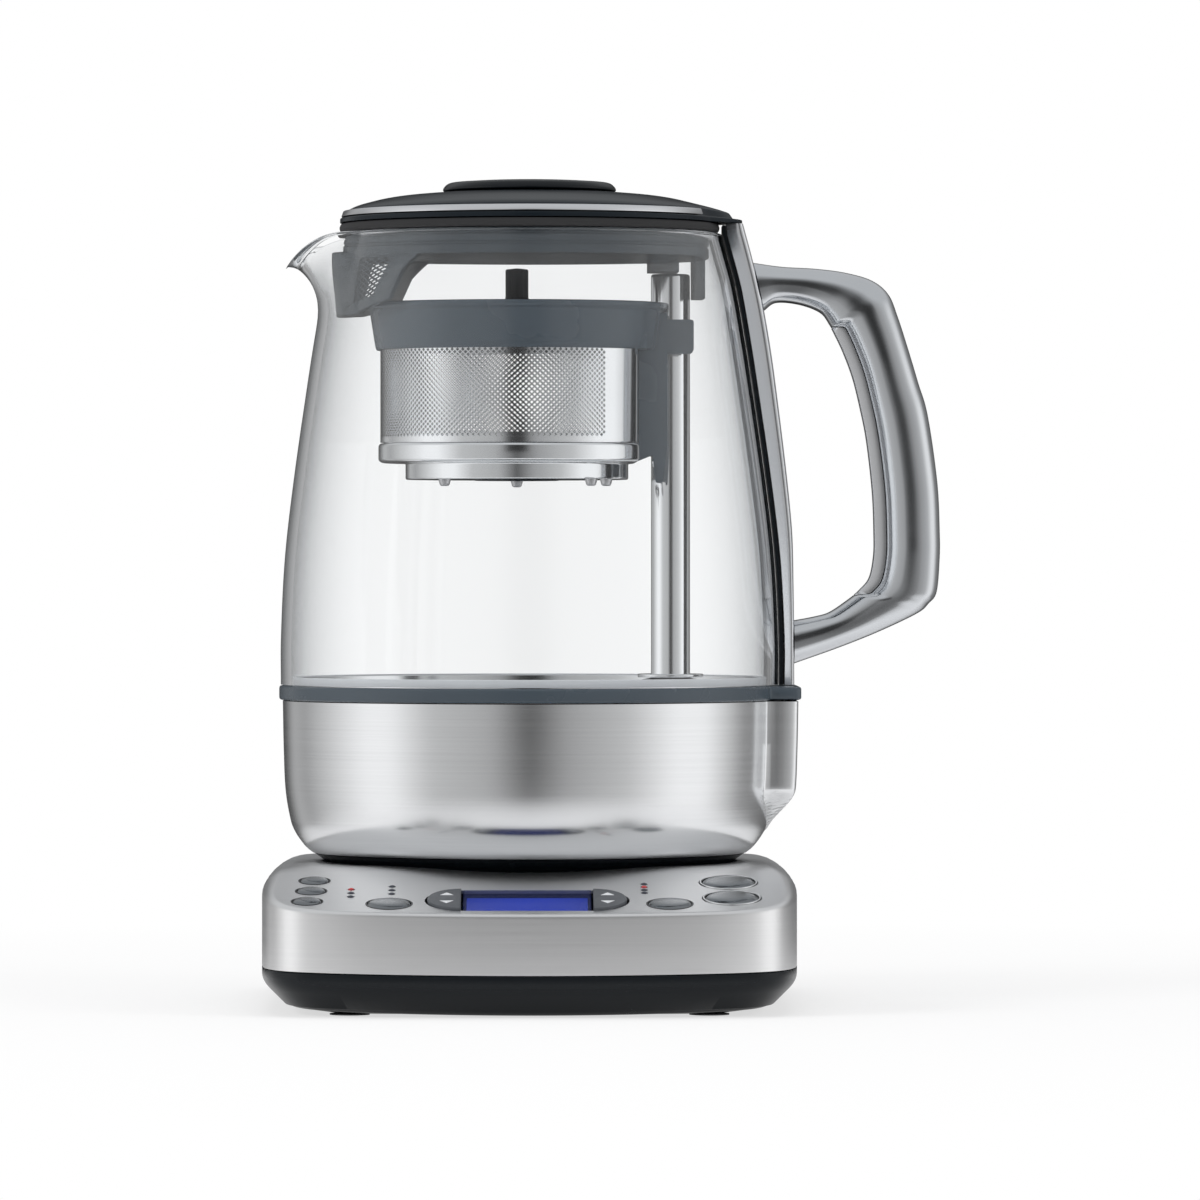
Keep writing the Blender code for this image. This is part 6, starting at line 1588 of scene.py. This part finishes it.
@dataclass
class Lid:
    """Dark dome with its tongue, trim band, grip disc, seal, and the smoked skirt below."""

    jug: Jug
    radius: float = 58.69
    rise: float = 9.6
    tongue_start: float = 0.77
    tongue_reach: float = 7.2
    tongue_drop: float = 2.6
    tongue_angle: float = math.radians(20.0)
    trim_opening: float = math.radians(24.0)
    skirt_radius: float = 55.6
    skirt_bottom: float = 229.0
    skirt_neck: float = 53.2
    skirt_wall: float = 1.6
    groove_depth: float = 0.5
    leg_inset: float = 0.3
    leg_bottom: float = 211.0
    leg_arch: float = 4.7
    leg_angles: tuple[float, float] = (40.0, 50.0)
    nose_reach: float = 4.4
    nose_angles: tuple[float, float] = (10.0, 14.0)
    hatch_share: tuple[float, float] = (0.38, 0.80)
    hatch_rise: tuple[float, float] = (0.18, 0.92)
    hatch_slant: float = 0.20
    hole_columns: int = 8
    hole_rows: int = 18
    hole_share: float = 0.72

    @property
    def low(self) -> float:
        """Lower edge of the dome."""
        return self.jug.glass_top + 3.2

    def build(self) -> None:
        """Builds the lid."""
        self.build_dome()
        self.build_trim()
        top, bottom = self.low + self.rise, self.low - 1.9
        turned_piece("lid_grip", [
            (CORE, top + 3.8), (15.0, top + 3.6, 8.0), (25.2, top + 2.9, 1.6), (26.8, top + 1.2, 0.9),
            (26.8, top + 0.3, 0.4), (2.9, top + 0.3), (2.9, bottom), (CORE, bottom)], BLACK, Body.LID,
            "black_plastic", "lid_knob", steps=8)
        seal = self.jug.glass_top + 0.3
        turned_piece("lid_gasket", [
            (53.5, seal), (58.4, seal, 0.4), (59.0, seal + 1.3, 0.8), (58.4, seal + 2.6, 0.4),
            (53.5, seal + 2.6)], RUBBER, Body.LID, "rubber", "lid_seal")
        self.build_skirt()
        self.build_leg()
        self.build_block()

    def drawn(self, profile: np.ndarray, angles: np.ndarray) -> np.ndarray:
        """Dome with its tongue: rings drawn out over the spine by a hump in angle that grows with the radius.

        Args:
            profile: Points (radius, height) of the dome.
            angles: Angles about the axis.

        Returns:
            Points as rows of the profile, angles, xyz.
        """
        radius, height = profile[:, :1], profile[:, 1:2]
        start = self.radius * self.tongue_start
        out = np.clip((radius - start) / (self.radius - start), 0.0, 1.0)
        above = np.clip((height - self.low) / self.rise, 0.0, 1.0)
        weight = bell(np.remainder(angles + math.pi, 2 * math.pi) - math.pi, self.tongue_angle)[None] * out
        reach = radius + self.tongue_reach * weight
        return np.stack([reach * np.cos(angles), reach * np.sin(angles),
                         height - self.tongue_drop * weight * above], axis=-1)

    def build_dome(self) -> None:
        """Shallow dome: a rounded profile with a step that holds the trim band."""
        low, edge = self.low, self.radius
        profile = rounded([
            (3.4, low + 9.6), (27.0, low + 9.45, 4.0), (43.0, low + 8.1, 8.0), (53.4, low + 5.4, 3.0),
            (56.0, low + 4.1, 0.5), (56.9, low + 1.6, 0.3), (edge, low + 1.5, 0.5), (edge, low, 0.3),
            (55.2, low), (53.0, low + 3.4), (40.0, low + 6.3), (3.4, low + 7.8)], 7, closed=True)
        close = np.mod(turn(60, -0.36, 0.36, ends=True), 2 * math.pi)
        angles = np.unique(np.concatenate([turn(128), close]))
        ringed_piece("lid_cap", self.drawn(profile, angles), DARK, Body.LID, "dark_plastic", "lid_dome")

    def build_trim(self) -> None:
        """Polished band round the dome, open over the spine."""
        angles = turn(160, self.trim_opening, 2 * math.pi - self.trim_opening, ends=True)
        low = self.low + 1.9
        section = rounded([(57.2, low, 0.2), (58.3, low, 0.3), (57.7, low + 1.8, 0.3),
                           (56.4, low + 2.0, 0.2)], 4, closed=True)
        ringed_piece("lid_band", revolved(section, angles).transpose(1, 0, 2), SATIN_STEEL, Body.LID,
                     "polished_steel", "lid_trim", caps=True)

    def build_skirt(self) -> None:
        """Smoked skirt with two ring grooves, and a neck that holds the dome."""
        r, low, top, neck, wall = (self.skirt_radius, self.skirt_bottom, self.jug.glass_top, self.skirt_neck,
                                   self.skirt_wall)
        sunk = r - self.groove_depth
        grooves = [point for start in (low + 2.6, low + 5.9) for point in (
            (r, start), (sunk, start + 0.3, 0.2), (sunk, start + 0.9, 0.2), (r, start + 1.2))]
        profile = rounded([
            (r, low, 0.4), *grooves, (r, top), (neck, top), (neck, top + 2.9), (3.2, top + 2.9),
            (3.2, top + 1.3), (neck - wall, top + 1.3), (neck - wall, top - wall), (r - wall, top - wall),
            (r - wall, low, 0.3)], 3, closed=True)
        ringed_piece("lid_skirt_ring", revolved(profile, turn(160)), SMOKE, Body.LID, "smoked_plastic",
                     "lid_skirt")

    def leg_point(self, share: np.ndarray, rise: np.ndarray, inset: float) -> np.ndarray:
        """Point of the leg: a cylinder that widens upwards, with a nose standing out in its middle.

        Args:
            share: Place across, from -1 to 1.
            rise: Place upwards, from 0 to 1.
            inset: How far inside the outer face.

        Returns:
            The points.
        """
        narrow, wide = self.leg_angles
        angle = share * np.radians(narrow + (wide - narrow) * rise)
        flat, end = np.radians(self.nose_angles)
        nose = self.nose_reach * (1 - ease((np.abs(angle) - flat) / (end - flat)))
        bottom = self.leg_bottom + self.leg_arch * share ** 2
        radius = self.skirt_radius - self.leg_inset + nose - inset
        return np.stack([-radius * np.cos(angle), -radius * np.sin(angle),
                         bottom + (self.skirt_bottom + 0.8 - bottom) * rise], axis=-1)

    def slanted(self, share: np.ndarray, rise: np.ndarray) -> np.ndarray:
        """Places across, moved along the hatches' slant; the leg's edges stay, and its middle moves less."""
        moved = self.hatch_slant * (rise - 0.5) * np.clip(share / self.hatch_share[0], -1.0, 1.0)
        return share + np.where(np.abs(share) < 0.99, moved, 0.0)

    def leg_panel(self, sheet: Sheet, across: np.ndarray, bottom: float, top: float) -> None:
        """Adds a closed panel of the leg.

        Args:
            sheet: Where the panel goes.
            across: Places across the leg.
            bottom: Share of the leg's height at the panel's lower edge.
            top: Share of the leg's height at its upper edge.
        """
        share, rise = np.meshgrid(across, np.linspace(bottom, top, 13), indexing="ij")
        outer, inner = (self.leg_point(self.slanted(share, rise), rise, inset)
                        for inset in (0.0, self.skirt_wall))
        sheet.grid(np.concatenate([outer, inner[:, ::-1]], axis=1), caps=True)

    def strainer_point(self, across: np.ndarray, up: np.ndarray, face: int) -> np.ndarray:
        """Point of the strainer in the front opening.

        Args:
            across: Shares across the opening.
            up: Shares of its height.
            face: 0 on the outer face, 1 on the inner one.

        Returns:
            The points.
        """
        near, far = self.hatch_share
        low, high = self.hatch_rise
        rise = low + (high - low) * up
        return self.leg_point(self.slanted(near + (far - near) * across, rise), rise, 0.5 + 0.5 * face)

    def build_leg(self) -> None:
        """Leg behind the spout: curved panels round two slanting openings, the front one a strainer."""
        leg = Sheet()
        near, far = self.hatch_share
        low, high = self.hatch_rise
        panels = ((1.0, far, 0.0, 1.0), (far, near, 0.0, low), (far, near, high, 1.0))
        for side in (-1.0, 1.0):
            for outer, inner, bottom, top in panels:
                self.leg_panel(leg, np.linspace(side * outer, side * inner, 13), bottom, top)
        lattice(leg, self.strainer_point, self.hole_columns, self.hole_rows, self.hole_share)
        self.leg_panel(leg, np.linspace(-near, near, 25), 0.0, 1.0)
        dress(mesh_object("lid_leg", leg, smooth=50.0), SMOKE, Body.LID, "smoked_plastic")

    def build_block(self) -> None:
        """Blocks that cover the top of the post."""
        for name, x_low, x_high, half, low, high in (("lid_post_cover", 36.6, 46.0, 9.0, 224.7, 238.6),
                                                     ("lid_side_cover", 50.4, 54.0, 8.7, 216.6, 236.6)):
            outline = rounded([(x_low, -half, 1.5), (x_high, -half, 1.0), (x_high, half, 1.0),
                               (x_low, half, 1.5)], 4, closed=True)
            ringed_piece(name, [level(outline, low), level(outline, high)], SMOKE, Body.LID, "smoked_plastic",
                         caps=True)


@dataclass
class Handle:
    """Steel spine behind the glass, the dark strip on it, the grip and its lighter insert."""

    jug: Jug
    spine_table: tuple[tuple[float, float], ...] = (
        (0.0, 1.0), (0.208, 0.9975), (0.355, 0.989), (0.662, 0.927), (0.811, 0.886), (0.916, 0.845),
        (1.0, 0.806))
    spine_reach: float = 81.8
    spine_rise: float = 2.9
    spine_gap: float = 1.6
    spine_half_widths: tuple[float, float] = (7.6, 10.0)
    spine_edge: float = 3.0
    strip_rise: float = 2.4
    strip_gap: float = 0.3
    strip_half_width: float = 8.0
    strip_thickness: float = 1.0
    reach: float = 127.0
    top: float = 228.0
    bottom: float = 103.9
    half_width: float = 10.5
    stations: tuple[tuple[float, ...], ...] = (
        (0.00, 1.00, 0.00, 0.88, 0.84), (0.15, 0.99, 0.08, 0.90, 0.82), (0.33, 0.985, 0.21, 0.895, 0.82),
        (0.49, 0.975, 0.32, 0.875, 0.86), (0.63, 0.955, 0.365, 0.845, 0.92),
        (0.715, 0.92, 0.395, 0.815, 0.96),
        (0.76, 0.865, 0.43, 0.775, 0.98), (0.81, 0.79, 0.475, 0.71, 1.00), (0.87, 0.70, 0.51, 0.63, 1.00),
        (0.925, 0.62, 0.535, 0.555, 1.00), (0.985, 0.45, 0.555, 0.43, 1.00), (1.00, 0.33, 0.555, 0.33, 1.00),
        (1.00, 0.265, 0.55, 0.27, 1.00), (0.98, 0.18, 0.52, 0.215, 0.98), (0.925, 0.15, 0.455, 0.185, 0.94),
        (0.845, 0.125, 0.39, 0.165, 0.90), (0.585, 0.08, 0.25, 0.13, 0.84), (0.31, 0.04, 0.145, 0.118, 0.82),
        (0.00, 0.00, 0.00, 0.108, 0.84))
    rings_each: int = 10
    insert_depth: float = 3.4
    insert_cover: float = 0.25
    insert_share: float = 0.52
    insert_stations: tuple[float, float] = (4.2, 14.8)

    def spine_outer(self, height: np.ndarray) -> np.ndarray:
        """Outer face of the spine."""
        share = (np.atleast_1d(height) - self.jug.glass_bottom) / (self.jug.glass_height + self.spine_rise)
        return self.spine_reach * curve(np.array(self.spine_table), share)

    def behind_glass(self, top: float, gap: float) -> tuple[np.ndarray, np.ndarray]:
        """A line that follows the outer face of the glass.

        Args:
            top: How far it goes past the rim.
            gap: Its distance from the glass.

        Returns:
            Heights, and the line's distance from the axis at each.
        """
        heights = np.linspace(self.jug.glass_bottom, self.jug.glass_top + top, 60)
        return heights, self.jug.radius_at(np.minimum(heights, self.jug.glass_top)) + gap

    def build(self) -> None:
        """Builds the spine, the strip, the grip and the insert."""
        self.build_spine()
        self.build_grip()

    def build_spine(self) -> None:
        """Spine: a bar between the strip and its outer face, with rounded outer corners; and the strip."""
        heights, low = self.behind_glass(self.spine_rise, self.spine_gap)
        narrow, wide = self.spine_half_widths
        rows = []
        for z, inner, outer in zip(heights, low, self.spine_outer(heights)):
            ring = rounded([(inner, -narrow), (outer, -wide, self.spine_edge), (outer, wide, self.spine_edge),
                            (inner, narrow)], 7, closed=True)
            rows.append(level(ring, z))
        ringed_piece("spine_bar", rows, SATIN_STEEL, Body.JUG, "polished_steel", "handle_spine", caps=True)
        half, thickness = self.strip_half_width, self.strip_thickness
        heights, inner = self.behind_glass(self.strip_rise, self.strip_gap)
        rows = [np.array([(near, -half, z), (near + thickness, -half, z), (near + thickness, half, z),
                          (near, half, z)]) for z, near in zip(heights, inner)]
        ringed_piece("spine_lining", rows, BLACK, Body.JUG, "black_plastic", "spine_strip", caps=True)

    def path(self) -> tuple[np.ndarray, np.ndarray, np.ndarray]:
        """Smooth curves through the stations, which are shares of the handle's reach, height and half width.

        Returns:
            Outer points, inner points and half widths along the handle.
        """
        table = np.array(self.stations)
        station = np.arange(len(table), dtype=float)
        at = np.linspace(0.0, station[-1], self.rings_each * (len(table) - 1) + 1)
        smooth = curve(np.column_stack([station, table]), at)
        points = []
        for out, up in ((smooth[:, 0], smooth[:, 1]), (smooth[:, 2], smooth[:, 3])):
            height = self.bottom + (self.top - self.bottom) * up
            near = self.spine_outer(height) + 0.1
            points.append(np.stack([near + (self.reach - near) * out, height], axis=-1))
        return points[0], points[1], smooth[:, 4] * self.half_width

    def build_grip(self) -> None:
        """Grip: a soft D section between the outer and the inner line, with an insert sunk in it."""
        outer, inner, width = self.path()
        way = outer - inner
        unit = way / np.linalg.norm(way, axis=1, keepdims=True)
        along = np.arange(len(inner)) / self.rings_each
        start, end = self.insert_stations
        sunk = self.insert_depth * ease((along - start) / 0.8) * (1 - ease((along - end + 0.8) / 0.8))
        t = turn(40)
        section = np.stack([np.sign(np.cos(t)) * np.abs(np.cos(t)) ** 0.75,
                            np.sign(np.sin(t)) * np.abs(np.sin(t)) ** 0.62], axis=-1)
        ringed_piece("grip_casting", self.tube(outer, inner + unit * sunk[:, None], width, section), CAST,
                     Body.JUG, "cast_handle", "handle_grip", caps=True, smooth=60.0)
        span = slice(round((start + 0.1) * self.rings_each), round((end - 0.1) * self.rings_each) + 1)
        face = inner + unit * (sunk + self.insert_cover)[:, None]
        corners = rounded([(-1.0, -0.86, 0.16), (1.0, -1.0, 0.05), (1.0, 1.0, 0.05), (-1.0, 0.86, 0.16)], 5,
                          closed=True)
        insert = self.tube(face[span], inner[span], width[span] * self.insert_share, corners)
        ringed_piece("grip_insert", insert, SATIN_STEEL, Body.JUG, "satin_insert", "handle_insert", caps=True)

    def tube(self, outer: np.ndarray, inner: np.ndarray, width: np.ndarray,
             section: np.ndarray) -> np.ndarray:
        """Section (s, t) carried along two lines: middle + half way * s, and width * t across.

        Args:
            outer: Outer points (x, z).
            inner: Inner points (x, z).
            width: Half widths.
            section: Points (s, t) of the section.

        Returns:
            Points as rings, section, xyz.
        """
        middle, half = (outer + inner) / 2, (outer - inner) / 2
        flat = middle[:, None] + half[:, None] * section[None, :, :1]
        across = width[:, None] * section[None, :, 1]
        return np.stack([flat[..., 0], across, flat[..., 1]], axis=-1)


@dataclass(frozen=True)
class Lamp:
    """One soft square lamp; places and sizes are in metres, the power in watts."""

    name: str
    spot: tuple[float, float, float]
    size: float
    power: float

    def build(self) -> None:
        """Hangs the lamp, looking at the jug's middle and unseen by metal and glass."""
        light = bpy.data.lights.new(self.name, "AREA")
        light.size = self.size
        light.energy = self.power
        lamp = bpy.data.objects.new(self.name, light)
        lamp.location = self.spot
        way = np.array([AXIS_X * MM, AXIS_Y * MM, 0.12]) - np.array(self.spot)
        down = math.atan2(math.hypot(way[0], way[1]), -way[2])
        lamp.rotation_euler = (down, 0.0, math.atan2(-way[0], way[1]))
        lamp.visible_glossy = False
        bpy.context.scene.collection.objects.link(lamp)


@dataclass
class Studio:
    """Camera, floor, soft lights and the room that metal and glass show."""

    distance: float = 2610.0
    eye_height: float = 136.6
    lens: float = 252.75
    shift: tuple[float, float] = (0.05875, -0.035)
    lamps: tuple[Lamp, ...] = (
        Lamp("lamp_left", (-1.6, -1.1, 1.0), 0.9, 17.0), Lamp("lamp_right", (1.6, -0.9, 0.9), 0.7, 9.0),
        Lamp("lamp_top", (0.0, 0.2, 1.9), 1.4, 10.0))
    floor_reach: float = 30.0
    shadow_reach: tuple[float, float] = (0.12, 0.45)
    mirrored_reach: tuple[float, float] = (0.16, 0.16)
    sides: tuple[tuple[float, float], ...] = (
        (0.0, 0.03), (0.06, 0.10), (0.10, 0.45), (0.14, 0.35), (0.20, 0.62), (0.27, 1.0), (0.31, 1.0),
        (0.37, 0.55), (0.45, 0.44), (0.50, 0.12), (0.55, 0.38), (0.63, 0.56), (0.70, 1.0), (0.75, 1.0),
        (0.83, 0.30), (1.0, 0.03))
    overhead: tuple[tuple[float, float], ...] = ((0.0, 0.0), (0.22, 0.0), (0.58, 1.0), (1.0, 1.0))
    bar_half_width: float = 0.014
    bar_fade: float = 0.02
    bar_strength: float = 0.92

    def build(self) -> None:
        """Sets the camera, the lights, the floor and the world."""
        scene = bpy.context.scene
        scene.view_settings.view_transform = "Standard"
        camera = bpy.data.cameras.new("camera")
        camera.lens = self.lens
        camera.sensor_width = 36.0
        camera.shift_x, camera.shift_y = self.shift
        camera.clip_end = 50.0
        eye = bpy.data.objects.new("camera", camera)
        eye.location = (AXIS_X * MM, (AXIS_Y - self.distance) * MM, self.eye_height * MM)
        eye.rotation_euler = (math.radians(90.0), 0.0, 0.0)
        scene.collection.objects.link(eye)
        scene.camera = eye
        for lamp in self.lamps:
            lamp.build()
        self.floor()
        self.room()

    def floor(self) -> None:
        """Pale floor, white to the camera, with a soft shadow; metal sees only the part round the object."""
        reach = self.floor_reach
        mesh = bpy.data.meshes.new("floor")
        mesh.from_pydata([(-reach, -reach, 0.0), (reach, -reach, 0.0), (reach, reach, 0.0),
                          (-reach, reach, 0.0)], [], [(0, 1, 2, 3)])
        floor = bpy.data.objects.new("floor", mesh)
        bpy.context.scene.collection.objects.link(floor)
        material = bpy.data.materials.new("floor")
        material.use_nodes = True
        nodes = Nodes(material.node_tree)
        diffuse = nodes.add("ShaderNodeBsdfDiffuse", {}, {"Color": (0.95, 0.95, 0.95, 1.0)})
        white = nodes.add("ShaderNodeEmission", {}, {"Color": (1.0, 1.0, 1.0, 1.0)})
        glossy = nodes.ray("Glossy")
        spot = nodes.add("ShaderNodeTexCoord", output="Object")
        away = nodes.add("ShaderNodeVectorMath", {"operation": "LENGTH"}, {0: spot}, "Value")
        near = 1.0 - ((away - self.shadow_reach[0]) / self.shadow_reach[1]).clamped()
        seen = nodes.ray("Camera").math("MAXIMUM", nodes.ray("Transmission"))
        factor = (seen * (1.0 - near * 0.35) + glossy * 0.25).clamped()
        surface = nodes.add("ShaderNodeMixShader", {}, {0: factor, 1: diffuse, 2: white})
        beyond = nodes.add("ShaderNodeBsdfTransparent", {}, {"Color": (1.0, 1.0, 1.0, 1.0)})
        far = glossy * ((away - self.mirrored_reach[0]) / self.mirrored_reach[1]).clamped()
        nodes.finish(nodes.add("ShaderNodeMixShader", {}, {0: far, 1: surface, 2: beyond}))
        mesh.materials.append(material)

    def room(self) -> None:
        """White to the eye and through glass; metal shows bright sides, a dark bar and a grey top."""
        world = bpy.data.worlds.new("room")
        bpy.context.scene.world = world
        world.use_nodes = True
        nodes = Nodes(world.node_tree)
        way = nodes.add("ShaderNodeTexCoord", output="Generated")
        x, y, z = (nodes.part(way, axis) for axis in range(3))
        round_about = x.math("ARCTAN2", 0.0 - y) * (0.5 / math.pi) + 0.5
        sides = nodes.add("ShaderNodeValToRGB", {"stops": self.sides}, {0: round_about})
        aside = ((round_about - 0.5).math("ABSOLUTE") - self.bar_half_width) / self.bar_fade
        bar = (1.0 - aside.clamped()) * ((z + 0.014) * 150.0).clamped() * self.bar_strength
        high = nodes.add("ShaderNodeValToRGB", {"stops": self.overhead}, {0: z})
        shown = nodes.blend(high, nodes.blend(bar, sides, (0.02, 0.02, 0.02)), (0.60, 0.61, 0.62))
        light = nodes.blend(nodes.ray("Glossy"), (0.50, 0.50, 0.51), shown)
        seen = nodes.ray("Camera").math("MAXIMUM", nodes.ray("Transmission"))
        colour = nodes.blend(seen, light, (1.0, 1.0, 1.0))
        nodes.finish(nodes.add("ShaderNodeBackground", {}, {"Color": colour, "Strength": 1.0}),
                     "ShaderNodeOutputWorld")


def main() -> None:
    """Builds the sub-assemblies in order and dresses what stays of the model."""
    logging.basicConfig(level=logging.INFO, format="%(name)s: %(message)s")
    Studio().build()
    base = PowerBase()
    shell = base.build()
    ControlPanel(base).build(shell)
    jug = Jug()
    jug.build()
    lift = Lift()
    lift.build()
    Basket(lift).build()
    Lid(jug).build()
    Handle(jug).build()
    for name, finish in CAD_FINISHES.items():
        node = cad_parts[name]
        node.data.materials.clear()
        node.data.materials.append(finish.material())
        LOG.info("%s keeps its shape", name)


if __name__ == "__main__":
    main()
